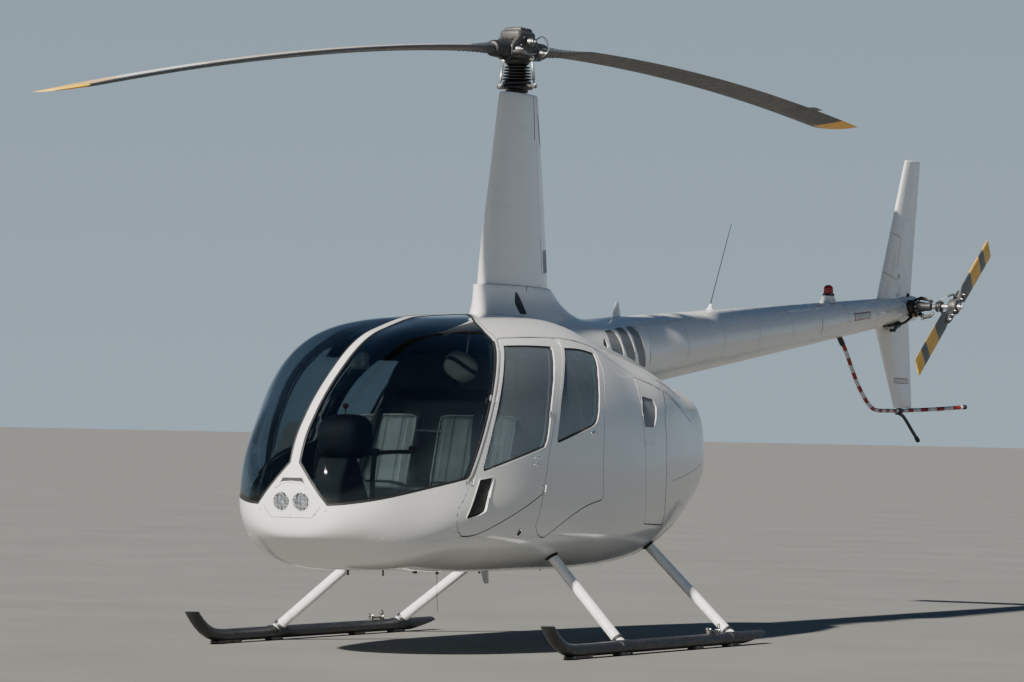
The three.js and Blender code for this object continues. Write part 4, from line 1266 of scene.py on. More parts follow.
# recesses for the air inlets: a shallow pocket with grey mesh in it, both sides
tools = []
for s in (1, -1):
    for o in VENTS + [VENT_TRI]:
        bpy.context.view_layer.update()
        pts = rounded(o, 20, n=4)
        hit = [surface_hit(rf, a, b, s)[0] for a, b in pts]
        hit = [h for h in hit if h is not None]
        tools.append((s, pts))
pocket = copy(rf, "pocket_floor")
m = pocket.modifiers.new("d", "DISPLACE")
m.strength, m.mid_level = -0.010, 0.0
applied(pocket)
for s, pts in tools:
    k = prism(pts, 60 * s, 900 * s)
    cut(k, pocket, keep=True)
    cut(rf, k)
for i, (s, pts) in enumerate(tools):
    k = prism(grow(pts, -1.0), 60 * s, 900 * s)
    bpy.context.view_layer.update()
    sh = copy(pocket, "mesh_sheet")
    m = sh.modifiers.new("d", "DISPLACE")
    m.strength, m.mid_level = 0.0045, 0.0
    applied(sh)
    meet(k, sh)
    k = cut(k, pocket, keep=True)
    k.name = f"fairing_vent_mesh_{i}"
    k.data.materials.clear()
    # the small triangular vent gets a plain black sheet instead: painted shade of its opening
    k.data.materials.append(SATIN_BLACK if (i % 4) == 3 else MESH_GREY)
    k.data.polygons.foreach_set("use_smooth", [True] * len(k.data.polygons))
    sharp(k, 40)
    ride(k)
drop(pocket)
rf.data.materials.clear()
rf.data.materials.append(FAIRING)
rf.data.polygons.foreach_set("use_smooth", [True] * len(rf.data.polygons))
sharp(rf, 28)
ride(rf, "airframe")
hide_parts("roof_fairing")

# dark foam seal under the mast fairing and along the fairing's foot
ring = egg_ring(*at(2028), 2028.0, 160)
yy, aa, bb = at(2030)
o = sharp(loft("mast_fairing_joint", [egg_ring(yy, aa - 4, bb - 4, z, 120) for z in (2020, 2029.4)], BLACK), 40)
ride(o)

# boom: skin with lap joints, rivet rows and an end bulkhead
b = boom_tube("tail_boom_skin", BOOM["y0"], BOOM["y1"] - 0.3, 0, BOOM_PAINT, 96, 30)
inner_b = boom_tube("b", BOOM["y0"] - 40, BOOM["y1"] - 60, -9, [INNER], 64, 2)
cut(b, inner_b, body_solid(-0.6, 120, 96))
b = largest(b)
b.name = "tail_boom_skin"
b.data.materials.clear()
b.data.materials.append(BOOM_PAINT)
sharp(b, 30)
ride(b, "airframe")
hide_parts("tail_boom")
LAPS = [1985, 2560, 3135, 3700, 4185, 4700, 5230]
for i, y in enumerate(LAPS):
    pts, nn = zip(*[boom_point(y, a, 0) for a in np.linspace(0, 2 * math.pi, 72, endpoint=False)])
    strip_on(f"boom_lap_{i}", pts, nn, 26 if y == 4185 else 3.0, 0.9 if y == 4185 else 0.5, BOOM_PAINT if y == 4185 else JAMB, closed=True)
P, N = [], []
for y in LAPS:
    for dy in (-12, 12):
        m_ = int(2 * math.pi * boom_r(y) / 34)
        for a in np.linspace(0, 2 * math.pi, m_, endpoint=False):
            p, n = boom_point(y + dy, a, 0)
            P.append(p)
            N.append(n)
for a in (math.radians(-62), math.radians(-118)):
    for y in np.arange(1440, 5760, 32):
        p, n = boom_point(y, a, 0)
        P.append(p)
        N.append(n)
ride(studs("boom_rivets", P, N, 3.4, BOOM_PAINT, 0.9, 6))

# end cap and gearbox housing
ys, rs = [5770, 5772, 5900, 6050, 6085, 6110, 6132, 6150, 6164, 6172, 6176], [89.5, 91, 91, 89, 84, 76, 65.5, 53, 37, 20, 0]
rings = []
for y, r in zip(ys, rs):
    c = boom_c(y)
    if r == 0:
        rings.append(np.array([[0, y, c]]))
    else:
        t = np.linspace(0, 2 * math.pi, 72, endpoint=False)
        rings.append(np.c_[r * np.cos(t), np.full(72, y), c + r * np.sin(t)])
cap = sharp(loft("tail_cap_shell", rings, BOOM_PAINT), 35)
ride(cap, "airframe")
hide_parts("tail_gearbox")
P, N = [], []
for y in (5790, 6046):
    for a in np.linspace(0, 2 * math.pi, 18, endpoint=False):
        P.append([91 * math.cos(a), y, boom_c(y) + (91 if y < 6000 else 89) * math.sin(a)])
        N.append([math.cos(a), 0, math.sin(a)])
ride(studs("tail_cap_screws", P, N, 4.2, STEEL, 1.2, 8))

# fins and stabilizer with a proper section
_FX = np.array([0, .004, .012, .025, .045, .07, .11, .16, .22, .30, .40, .50, .60, .70, .80, .90, .96, 1.0])
_FT = np.interp(_FX, [0, .04, .16, .34, .62, 1], [0, .55, .9, 1, .72, .06])
_FT = np.where(_FX < 0.34, np.sqrt(np.clip(1 - ((0.34 - _FX) / 0.34) ** 2.0, 0, 1)) ** 0.86, _FT)


def foil_ring(place):
    return np.array([place(c, t) for c, t in zip(_FX, _FT)] + [place(c, -t) for c, t in list(zip(_FX, _FT))[::-1][:-1]])


def fin_loft(name, table, place, mats, n=26, tip=True):
    T_ = np.array(table, float)
    T2 = np.array([[np.interp(u, np.arange(len(T_)), T_[:, j]) for j in range(T_.shape[1])] for u in np.linspace(0, len(T_) - 1, n)])
    o = loft(name, [foil_ring(lambda c, t, r=r: place(r, c, t)) for r in T2], mats)
    return sharp(o, 32)


keep_out = union(boom_tube("b", 4000, BOOM["y1"], 0.4, [INNER], 64, 2),
                 loft("c", [np.c_[(r + .4) * np.cos(np.linspace(0, 2 * math.pi, 48, endpoint=False)), np.full(48, y), boom_c(y) + (r + .4) * np.sin(np.linspace(0, 2 * math.pi, 48, endpoint=False))]
                            for y, r in ((5765, 91), (5900, 91), (6050, 89), (6110, 76), (6150, 53.5), (6176, 20))], [INNER]))
uf = fin_loft("upper_fin_skin", [[2000, 5415, 6050, 34], [2150, 5480, 6062, 33], [2620, 5702, 6128, 25], [3060, 5914, 6200, 17], [3100, 5935, 6207, 14], [3109, 5944, 6208, 9]],
              lambda r, c, t: (r[3] * t, r[1] + c * (r[2] - r[1]), r[0]), BOOM_PAINT, 30)
cut(uf, keep_out, keep=True)
sharp(uf, 32)
ride(uf, "airframe")
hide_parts("upper_fin")
lf = fin_loft("lower_fin_skin", [[1408, 5808, 6124, 9], [1416, 5802, 6124, 13], [1450, 5780, 6121, 17], [1980, 5436, 6045, 31], [2100, 5380, 6030, 33]],
              lambda r, c, t: (r[3] * t, r[1] + c * (r[2] - r[1]), r[0]), BOOM_PAINT, 26)
cut(lf, keep_out, keep=True)
sharp(lf, 32)
ride(lf, "airframe")
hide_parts("lower_fin")
hs = fin_loft("stabilizer_skin", [[-60, 5330, 5680, 20], [-560, 5352, 5676, 18], [-1020, 5372, 5672, 14], [-1044, 5390, 5664, 11], [-1050, 5400, 5655, 6]],
              lambda r, c, t: (r[0], r[1] + c * (r[2] - r[1]), 2028 + r[3] * t), BOOM_PAINT, 24)
cut(hs, keep_out)
sharp(hs, 32)
ride(hs, "airframe")
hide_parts("horizontal_stabilizer")


def on_fin(table, z, f, s=1):
    T_ = np.array(sorted(table), float)
    le, te, th = [np.interp(z, T_[:, 0], T_[:, j]) for j in (1, 2, 3)]
    t = float(np.interp(f, _FX, _FT))
    return np.array([s * th * t, le + f * (te - le), z])


UF = [[2150, 5480, 6062, 33], [2620, 5702, 6128, 25], [3060, 5914, 6200, 17]]
LF = [[1450, 5780, 6121, 17], [1980, 5436, 6045, 31]]
P, N = [], []
for s in (1, -1):
    for tb, z0, z1, steps in ((UF, 2200, 3050, 27), (LF, 1470, 1940, 15)):
        for f in (0.30, 0.34, 0.93):
            for z in np.linspace(z0, z1, steps):
                P.append(on_fin(tb, z, f, s))
                N.append([s, 0, 0])
    for tb, zz in ((UF, (2250, 2470, 2700, 2930)), (LF, (1560, 1760))):
        for z in zz:
            for f in np.linspace(0.36, 0.9, 10):
                P.append(on_fin(tb, z, f, s))
                N.append([s, 0, 0])
ride(studs("fin_rivets", P, N, 3.2, BOOM_PAINT, 0.9, 6))


# ------------------------------------------------------------------ main rotor
TURN = math.radians(1.87)
R_MAIN, CHORD = 5029, 256


def moved(o, fn):
    """Applies fn to the mesh's points in millimetres of the drawing frame."""
    me = o.data
    co = np.zeros(len(me.vertices) * 3, np.float32)
    me.vertices.foreach_get("co", co)
    p = fn(co.reshape(-1, 3).astype(float) * 1000 + (0, CENTRE_Y, 0))
    me.vertices.foreach_set("co", to_row(p).ravel().astype(np.float32))
    me.update()
    return o


def turned(o, s=1):
    a = TURN
    m = np.array([[math.cos(a), -math.sin(a), 0], [math.sin(a), math.cos(a), 0], [0, 0, 1]])
    return moved(o, lambda p: (p * (s, s, 1)) @ m.T)


def blade_z(r, s):
    return 3378 - 359 * (r / R_MAIN) ** 1.8 + s * 240 * (r / R_MAIN)


def span_bands(name, stops, rough=(0.3, 0.45), axis="Y", streak=0.12, wear_col=(0.45, 0.40, 0.34), bump=0.08):
    """Colour that changes along the span at given distances from the rotor's axis (metres)."""
    t = Tree(name)
    y = t.axis(axis)
    d = t.math("ABSOLUTE", t.math("ADD", y, CENTRE_Y / 1000))
    col = None
    for at_, c in stops:
        if col is None:
            col = t.ramp(t.noise(9.0, 5, 0.6), (0.3, np.array(c) * 0.9), (0.7, np.minimum(np.array(c) * 1.06, 1)))
        else:
            edge = t.remap(t.math("ADD", d, t.math("MULTIPLY", t.noise(40.0, 3, 0.6), 0.004)), at_ - 0.002, at_ + 0.002, 0, 1)
            nx = t.ramp(t.noise(11.0, 5, 0.6), (0.3, np.array(c) * 0.9), (0.7, np.minimum(np.array(c) * 1.06, 1)))
            col = t.mix(edge, col, nx)
    st = t.remap(t.noise(14.0, 6, 0.7, stretch=(2.5, 0.12, 1)), 0.5, 0.75, 0, streak)
    col = t.mix(st, col, wear_col)
    r = t.remap(t.noise(20.0, 4, 0.6), 0.3, 0.7, *rough)
    return t.done(col, r, t.bump(t.noise(300.0, 2, 0.5), bump, 0.0004))


YELLOW = (0.86, 0.50, 0.035)
# top bands: dark root, tan to 3.75 m, pale grey, faded orange, yellow tip; the tan is a painted reflection, a warm
# reflection on the upper surfaces laid into the colour
BLADE_TOP = span_bands("blade_top_paint", [(0, (0.055, 0.060, 0.066)), (0.72, (0.60, 0.50, 0.41)), (3.75, (0.74, 0.75, 0.74)), (4.62, (0.72, 0.47, 0.22)), (4.86, YELLOW)])
BLADE_LOW = span_bands("blade_under_paint", [(0, (0.036, 0.034, 0.033)), (4.74, (0.70, 0.36, 0.04))], (0.42, 0.58), wear_col=(0.14, 0.12, 0.10))
BLADE_LE = span_bands("blade_leading_strip", [(0, (0.055, 0.062, 0.070)), (4.90, YELLOW)], (0.42, 0.58), wear_col=(0.22, 0.22, 0.22))
BLADE_TIP = plain("blade_tip_yellow", YELLOW, (0.3, 0.42), wear=(0.45, 0.28, 0.06))

BT = np.array([[218, 96, 34], [420, 104, 30], [520, 170, 24], [640, CHORD, 17], [1600, CHORD, 16], [2700, CHORD, 16], [3700, CHORD, 15], [4500, CHORD, 15],
               [4790, CHORD, 14], [4850, 251, 12.5], [4905, 237, 11], [4960, 211, 9.5], [4998, 180, 7.5], [5020, 150, 6], [5029, 128, 4.5]], float)


def blade_row(r):
    return [float(np.interp(r, BT[:, 0], BT[:, j])) for j in (1, 2)]


def blade_pt(r, k, v, s):
    c, t = blade_row(r)
    x = -s * (CHORD * 0.28 - (CHORD - c if r > 4790 else (CHORD - c) * 0.28) - k * c)
    return np.array([x, s * r, blade_z(r, s) + v * t + x * 0.075 * min(1.0, (r - 218) / 400)])


BX = np.array([0, .003, .01, .02, .035, .055, .085, .12, .17, .23, .30, .38, .48, .58, .68, .78, .87, .94, .98, 1.0])
BTH = np.interp(BX, [0, .04, .16, .34, .62, 1], [0, .55, .9, 1, .72, .06])
BTH = np.where(BX < 0.34, np.sqrt(np.clip(1 - ((0.34 - BX) / 0.34) ** 2.0, 0, 1)) ** 0.86, BTH)
for name, s in (("forward", -1), ("aft", 1)):
    stations = sorted(set([*np.linspace(640, 4790, 70), 218, 240, 300, 360, 420, 450, 485, 520, 560, 600, 4820, 4850, 4880, 4905, 4930, 4960, 4980, 4998, 5010, 5020, 5029]))
    rings = []
    for r in stations:
        rings.append(np.array([blade_pt(r, k, v, s) for k, v in zip(BX, BTH)] + [blade_pt(r, k, -v, s) for k, v in list(zip(BX, BTH))[::-1][:-1]]))
    nb = len(BX)
    o = loft(f"main_blade_{name}_skin", rings, [BLADE_TOP, BLADE_LOW, BLADE_LE, BLADE_TIP])
    me = o.data
    cen = np.array([p.center[:] for p in me.polygons]) * 1000 + (0, CENTRE_Y, 0)
    nor = np.array([p.normal[:] for p in me.polygons])
    idx = np.zeros(len(me.polygons), np.int32)
    for i, (c, n) in enumerate(zip(cen, nor)):
        r = abs(c[1])
        ch, _ = blade_row(r)
        x0 = -s * (CHORD * 0.28 - (CHORD - ch if r > 4790 else (CHORD - ch) * 0.28))
        k = abs(c[0] - x0) / ch
        idx[i] = 1 if n[2] < 0 else 0
        if k < (0.055 if n[2] > 0 else 0.15):
            idx[i] = 2
        if abs(n[1]) > 0.6 and r > 5000:
            idx[i] = 3
    me.polygons.foreach_set("material_index", idx)
    turned(sharp(o, 38))
    ride(o, "main_rotor")
    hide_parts(f"main_blade_{name}")
    # trim tab and root bolts
    tab = []
    for r in (4100, 4130, 4225, 4255):
        c, t = blade_row(r)
        p = blade_pt(r, 1.0, 0, s)
        d = -s * -1
        g = 46 if 4110 < r < 4250 else 40
        tab.append(np.array([p + (s * -4 * 1, 0, 2.2), p + (s * g, 0, 0.9), p + (s * g, 0, -0.9), p + (s * -4 * 1, 0, -2.2)]))
    tb = loft(f"trim_tab_{name}", tab, BLADE_LOW)
    turned(sharp(tb, 30))
    ride(tb, "main_rotor")
    pts, nn = [], []
    for r in np.linspace(250, 610, 10):
        for k in (0.25, 0.42, 0.62):
            for v in (1, -1):
                th = float(np.interp(k, BX, BTH))
                pts.append(blade_pt(r, k, v * th, s))
                nn.append([0, 0, v])
    st = studs(f"blade_root_bolts_{name}", pts, nn, 6, SATIN_BLACK, 3, 6)
    turned(st)
    ride(st, "main_rotor")
    # root cuff: the pitch bearing housing and its rubber boot
    axis_a = np.array([0, s * 96, blade_z(96, s) - 4])
    axis_b = np.array([0, s * 352, blade_z(352, s)])
    prof = [(0, 20), (4, 44), (14, 55), (34, 60), (52, 60), (56, 57), (64, 63), (72, 57), (80, 62), (88, 56), (96, 61), (104, 55), (112, 58), (150, 50), (190, 46), (196, 49), (232, 47), (250, 40), (256, 18)]
    cf = lathe(f"blade_cuff_{name}", prof, axis_a, axis_b, [SATIN_BLACK], 40)
    turned(cf)
    ride(cf, "main_rotor")

HUB_GREY = plain("hub_grey_paint", (0.050, 0.050, 0.048), (0.4, 0.6), wear=(0.14, 0.13, 0.12), metallic=0.1)
HUB_STEEL = metal("hub_dull_steel", (0.30, 0.29, 0.28), (0.35, 0.55))
HUB_DARK = plain("hub_dark", (0.030, 0.031, 0.034), (0.3, 0.5), wear=(0.11, 0.10, 0.09), metallic=0.3)
GREASE = plain("greasy_black", (0.012, 0.011, 0.012), (0.22, 0.4), wear=(0.05, 0.03, 0.025))
BRASS = metal("aged_brass", (0.55, 0.38, 0.16), (0.3, 0.5))


def hexbolt(name, p, n, r=9, h=7, washer=True, mats=None, body="main_rotor", turn=False):
    d, u, w = frame_at(n)
    p = np.asarray(p, float)
    rings = []
    a = np.linspace(0, 2 * math.pi, 6, endpoint=False)
    for rr, hh in ((r * .98, -2), (r, 0.4), (r, h * .8), (r * .88, h)):
        rings.append(p + d * hh + rr * (np.cos(a)[:, None] * u + np.sin(a)[:, None] * w))
    parts_ = [sharp(loft(name, rings, mats or STEEL, smooth=False), 20)]
    if washer:
        parts_.append(rod(name + "_w", p - d * 1, p + d * 1.6, r * 1.35, mats or STEEL, 24, 0.4))
    parts_.append(rod(name + "_e", p + d * (h - 1), p + d * (h + r * .55), r * .5, mats or STEEL, 16, 0.8))
    o = join(name, parts_)
    if turn:
        turned(o)
    return ride(o, body) if body else o


hub = []
# yoke: two deep side plates joined by a centre block
for x in (-51, 51):
    pl_ = rounded([[-205, 3338], [-180, 3322], [180, 3322], [205, 3338], [205, 3388], [158, 3416], [108, 3446], [82, 3470], [-82, 3470], [-108, 3446], [-158, 3416], [-205, 3388]], 16, n=4)
    k = prism(pl_, x - 12, x + 12, "yz", "yoke_plate", [HUB_GREY])
    bv = k.modifiers.new("b", "BEVEL")
    bv.width, bv.segments, bv.limit_method, bv.angle_limit = 0.003, 2, "ANGLE", 0.6
    applied(k)
    hub.append(sharp(k, 30))
hub.append(rbox("hub_core", (0, 0, 3386), (84, 150, 120), HUB_DARK, 10, 3))
hub.append(rbox("hub_crown", (0, 0, 3452), (132, 222, 66), HUB_GREY, 24, 5))
hub.append(rbox("hub_crown_cap", (0, 4, 3486), (112, 158, 32), HUB_GREY, 14, 4))
hub.append(rbox("hub_block_front", (0, -150, 3367), (104, 100, 82), HUB_DARK, 14, 3))
hub.append(rbox("hub_block_rear", (0, 150, 3367), (104, 100, 82), HUB_DARK, 14, 3))
hub.append(rod("teeter_bolt", (-92, 0, 3420), (92, 0, 3420), 22, HUB_STEEL, 32, 2))
for y in (-150, 150):
    hub.append(rod("coning_bolt", (-84, y, 3367), (84, y, 3367), 18, HUB_STEEL, 32, 2))
h = join("rotor_hub_assembly", hub)
turned(h)
ride(h, "main_rotor")
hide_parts("rotor_hub")
for i, (x, y, z, n) in enumerate([(92, 0, 3420, 1), (-92, 0, 3420, -1), (84, 150, 3367, 1), (-84, 150, 3367, -1), (84, -150, 3367, 1), (-84, -150, 3367, -1)]):
    hexbolt(f"hub_bolt_{i}", (x, y, z), (n, 0, 0), 20 if z == 3420 else 16, 12, turn=True, mats=HUB_STEEL)
for i, (x, y) in enumerate([(36, 46), (-36, 46), (36, -40), (-36, -40)]):
    hexbolt(f"hub_cap_bolt_{i}", (x, y, 3501), (0, 0, 1), 7, 4, turn=True, mats=HUB_STEEL)
for i, (y, z) in enumerate([(62, 3442), (-62, 3442), (98, 3396), (-98, 3396), (180, 3352), (-180, 3352), (120, 3338), (-120, 3338)]):
    for sx in (1, -1):
        hexbolt(f"yoke_bolt_{i}_{'l' if sx > 0 else 'r'}", (sx * 63, y, z), (sx, 0, 0), 7, 5, turn=True, mats=HUB_STEEL)
# under hub: saddle that the boots hang from
sad = lathe("hub_saddle", [(0, 30), (3, 48), (16, 66), (30, 74), (44, 74), (52, 60), (54, 30)], (0, 0, 3278), (0, 0, 3336), [HUB_DARK], 40)
ride(sad, "main_rotor")
# mast with its ribbed boot
mast = lathe("mast_tube", [(0, 30), (150, 30), (151, 31), (400, 31), (402, 30), (598, 30)], (0, 0, 2722), (0, 0, 3320), [STEEL], 48)
ride(mast, "main_rotor")
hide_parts("rotor_mast")
prof = [(0, 34)]
z = 0
for i in range(5):
    prof += [(z + 1, 44), (z + 4, 84 - i * 3), (z + 11, 86 - i * 3), (z + 14, 46)]
    z += 17
prof += [(z + 2, 40), (z + 6, 33)]
bt = lathe("mast_boot", prof, (0, 0, 3200), (0, 0, 3290), [GREASE], 44)
ride(bt, "main_rotor")
# swashplate: two rings with bearings, arms, links with rod ends
sw = []
sw.append(lathe("swash_outer", [(0, 60), (1, 88), (5, 92), (17, 92), (21, 88), (22, 34), (20, 33), (2, 33)], (0, 0, 3150), (0, 0, 3172), [GREASE], 56))
sw.append(lathe("swash_inner", [(0, 34), (0.5, 80), (3, 84), (20, 82), (25, 74), (25.5, 34)], (0, 0, 3173), (0, 0, 3199), [HUB_DARK], 56))
for s in (1, -1):
    sw.append(rbox("swash_arm", (s * 98, s * -20, 3167), (62, 26, 20), HUB_GREY, 6, 3))
    sw.append(rod("swash_lug", (s * 118, s * -36, 3167), (s * 118, s * -4, 3167), 13, HUB_GREY, 24, 2))
    a, b = np.array([s * 118, s * -20, 3170.0]), np.array([s * 126, s * -78, 3320.0])
    d = (b - a) / np.linalg.norm(b - a)
    sw.append(tube("pitch_link", [a + d * 14, a + d * 32, a + d * 33, b - d * 33, b - d * 32, b - d * 14], [5, 5, 8.5, 8.5, 5, 5], ALU, 20))
    for q in (a, b):
        sw.append(lathe("rod_end", [(0, 6), (1, 12), (4, 15), (12, 15), (15, 12), (16, 6)], q - (0, 8, 0), q + (0, 8, 0), [STEEL], 28))
        sw.append(rod("rod_pin", q - (0, 16, 0), q + (0, 16, 0), 5, STEEL, 16, 1))
    sw.append(tube("pitch_horn", [(s * 126, s * -78, 3321), (s * 112, s * -104, 3338), (s * 78, s * -150, 3350), (s * 44, s * -190, 3352)], [13, 15, 18, 18], HUB_GREY, 20, squash=(0.7, 1.1)))
w = join("swashplate_assembly", sw)
turned(w)
ride(w, "main_rotor")
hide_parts("swashplate")
# fixed lower ring, its control rods and bright clamps above the fairing
low_ = []
low_.append(lathe("fixed_ring", [(0, 40), (1, 62), (4, 66), (11, 66), (14, 62), (15, 40)], (0, 0, 3131), (0, 0, 3146), [HUB_DARK], 48))
for a in (20, 140, 260):
    ca, sa = math.cos(math.radians(a)), math.sin(math.radians(a))
    low_.append(tube("control_rod", [(ca * 40, sa * 60 + 6, 3090), (ca * 44, sa * 64 + 6, 3118), (ca * 56, sa * 58, 3140)], 5, STEEL, 14))
    low_.append(rod("control_joint", (ca * 50, sa * 56 - 7, 3140), (ca * 50, sa * 56 + 7, 3140), 8, CHROME, 20, 1.5))
ride(join("mast_controls", low_))
# small hose loop at the hub
loop = spline([(40, 120, 3426), (70, 168, 3462), (92, 198, 3442), (98, 206, 3394), (80, 196, 3362), (52, 176, 3352)], 8)
lp = turned(tube("hub_breather_hose", loop, 5.5, CHROME, 14))
ride(lp, "main_rotor")
wire = spline([(66, -120, 3372), (76, -60, 3360), (78, 0, 3352), (74, 70, 3358), (66, 130, 3374)], 8)
ride(turned(tube("hub_safety_wire", wire, 2.2, CHROME, 10)), "main_rotor")

# ------------------------------------------------------------------ tail rotor
HX, HY, HZ = 412, 5835, 2100
TD, TT = math.radians(35.6), math.radians(0.6)


def striped(name, dark=(0.085, 0.09, 0.095)):
    """Yellow and dark grey bands by distance from the tail rotor's axis."""
    t = Tree(name)
    y = t.math("SUBTRACT", t.axis("Y"), (HY - CENTRE_Y) / 1000)
    z = t.math("SUBTRACT", t.axis("Z"), HZ / 1000)
    along_ = t.math("ADD", t.math("MULTIPLY", y, math.cos(TD)), t.math("MULTIPLY", z, math.sin(TD)))
    d = t.math("ABSOLUTE", along_)
    band = t.ramp(t.math("DIVIDE", d, 0.8), (0.0, 0.0), (0.356 / 0.8, 0.0), (0.358 / 0.8, 1.0), (0.545 / 0.8, 1.0), (0.547 / 0.8, 0.0),
                  (0.640 / 0.8, 0.0), (0.642 / 0.8, 1.0), (1.0, 1.0))
    yel = t.ramp(t.noise(30.0, 5, 0.6), (0.3, (0.70, 0.37, 0.030)), (0.7, (0.84, 0.50, 0.05)))
    drk = t.ramp(t.noise(24.0, 5, 0.6), (0.3, np.array(dark) * 0.85), (0.7, np.array(dark) * 1.25))
    col = t.mix(band, drk, yel)
    col = t.mix(t.remap(t.noise(60.0, 6, 0.7), 0.60, 0.72, 0, 0.4), col, (0.20, 0.18, 0.15))
    return t.done(col, t.remap(t.noise(20.0, 4, 0.6), 0.3, 0.7, 0.3, 0.48), t.bump(t.noise(300.0, 2, 0.5), 0.08, 0.0004))


STRIPED = striped("tail_blade_stripes")
for name, sg in (("upper", 1), ("lower", -1)):
    d = np.array([math.sin(TT) * sg, sg * math.cos(TD) * math.cos(TT), sg * math.sin(TD) * math.cos(TT)])
    ch = np.array([0, sg * math.sin(TD), -sg * math.cos(TD)])
    H = np.array([HX, HY, HZ], float)
    TB = np.array([[54, 70, 15], [120, 74, 14], [150, 96, 11.5], [190, 138, 8], [500, 138, 7.5], [742, 138, 7], [756, 132, 5.5], [762, 122, 3.5]], float)
    rings = []
    for r in [54, 60, 90, 120, 135, 150, 165, 178, 190, *np.linspace(215, 742, 22), 750, 756, 760, 762]:
        c, t = [float(np.interp(r, TB[:, 0], TB[:, j])) for j in (1, 2)]
        tw = math.radians(np.interp(r, [120, 762], [7, 1.5]))
        def pt(k, v, r=r, c=c, t=t, tw=tw):
            a, b = (k - 0.35) * c, v * t
            return H + d * r + ch * (a * math.cos(tw)) + np.array([1.0, 0, 0]) * (b - a * math.sin(tw) * sg * 0.4)
        rings.append(np.array([pt(k, v) for k, v in zip(BX, BTH)] + [pt(k, -v) for k, v in list(zip(BX, BTH))[::-1][:-1]]))
    o = sharp(loft(f"tail_blade_{name}_skin", rings, STRIPED), 38)
    ride(o, "tail_rotor")
    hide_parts(f"tail_rotor_blade_{name}")
    # root fitting: grip plates and bolts
    g = []
    for sx in (1, -1):
        q = [H + d * r + ch * w_ + np.array([sx * 17.0, 0, 0]) for r, w_ in ((20, -24), (20, 24), (120, 30), (176, 18), (176, -18), (120, -30))]
        q2 = [p + np.array([sx * 5.0, 0, 0]) for p in q]
        g.append(sharp(loft("grip_plate", [np.array(q), np.array(q2)], HUB_GREY), 30))
    gp = join(f"tail_grip_{name}", g)
    ride(gp, "tail_rotor")
    for i, r in enumerate((46, 96, 150)):
        for sx in (1, -1):
            hexbolt(f"tail_grip_bolt_{name}_{i}_{'l' if sx > 0 else 'r'}", H + d * r + np.array([sx * 22.0, 0, 0]), (sx, 0, 0), 8, 6, body="tail_rotor")
    horn = tube(f"tail_pitch_horn_{name}", [H + d * 70 + ch * -34 + (0, 0, 0), H + d * 60 + ch * -62 + (-14, 0, 0), H + d * 30 + ch * -66 + (-40, 0, 0)], [9, 8, 7], HUB_GREY, 16)
    ride(horn, "tail_rotor")
    lk = tube(f"tail_pitch_link_{name}", [H + d * 30 + ch * -66 + (-40, 0, 0), H + d * 18 + ch * -44 + (-92, 0, 0)], 5.5, ALU, 14)
    ride(lk, "tail_rotor")
th = []
th.append(rod("tail_shaft", (262, HY, HZ), (452, HY, HZ), 18, STEEL, 32, 1.5))
th.append(lathe("tail_hub_barrel", [(0, 24), (2, 44), (8, 50), (14, 52), (50, 52), (56, 50), (62, 44), (64, 24)], (380, HY, HZ), (444, HY, HZ), [HUB_GREY], 40))
th.append(lathe("pitch_slider", [(0, 22), (2, 34), (8, 36), (10, 30), (30, 28), (32, 38), (40, 38), (43, 30), (44, 22)], (286, HY, HZ), (330, HY, HZ), [HUB_DARK], 36))
for a in (0, 90, 180, 270):
    ca, sa = math.cos(math.radians(a + 35)), math.sin(math.radians(a + 35))
    th.append(rod("slider_lug", (318, HY + 26 * ca, HZ + 26 * sa), (318, HY + 52 * ca, HZ + 52 * sa), 8, HUB_GREY, 16, 1.5))
t_ = join("tail_hub_assembly", th)
ride(t_, "tail_rotor")
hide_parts("tail_rotor_hub")
hexbolt("tail_hub_nut", (452, HY, HZ), (1, 0, 0), 22, 14, body="tail_rotor")
# fixed gearbox output housing and pitch control, between the cap and the hub
fx = []
fx.append(lathe("output_housing", [(0, 46), (30, 46), (34, 42), (50, 40), (54, 46), (62, 46), (66, 38), (110, 34), (116, 30), (160, 28), (166, 24)], (84, HY, HZ), (250, HY, HZ), [HUB_DARK], 40))
for a in np.linspace(0, 2 * math.pi, 8, endpoint=False):
    fx.append(rod("housing_stud", (140, HY + 41 * math.cos(a), HZ + 41 * math.sin(a)), (156, HY + 41 * math.cos(a), HZ + 41 * math.sin(a)), 4.5, STEEL, 12, 0.8))
fx.append(tube("bellcrank", [(150, HY + 20, HZ - 44), (190, HY + 26, HZ - 70), (236, HY + 22, HZ - 62), (262, HY + 10, HZ - 40)], [11, 12, 11, 9], HUB_GREY, 16, squash=(1.3, 0.7)))
fx.append(tube("bellcrank_top", [(120, HY + 10, HZ + 40), (168, HY + 12, HZ + 58), (214, HY + 8, HZ + 50), (258, HY, HZ + 34)], [9, 10, 9, 8], HUB_DARK, 16, squash=(1.3, 0.7)))
fx.append(rod("bellcrank_pivot", (176, HY + 26, HZ - 92), (176, HY + 26, HZ - 46), 9, STEEL, 20, 1.5))
fx.append(rbox("gearbox_lug", (110, HY + 16, HZ - 52), (60, 40, 34), HUB_DARK, 7, 3))
fx.append(rod("chip_plug", (118, HY, HZ - 46), (118, HY, HZ - 66), 12, BRASS, 20, 2))
fx.append(rod("sight_cap", (60, HY + 40, HZ + 66), (60, HY + 40, HZ + 92), 9, HUB_DARK, 20, 2))
ride(join("tail_gearbox_output", fx))
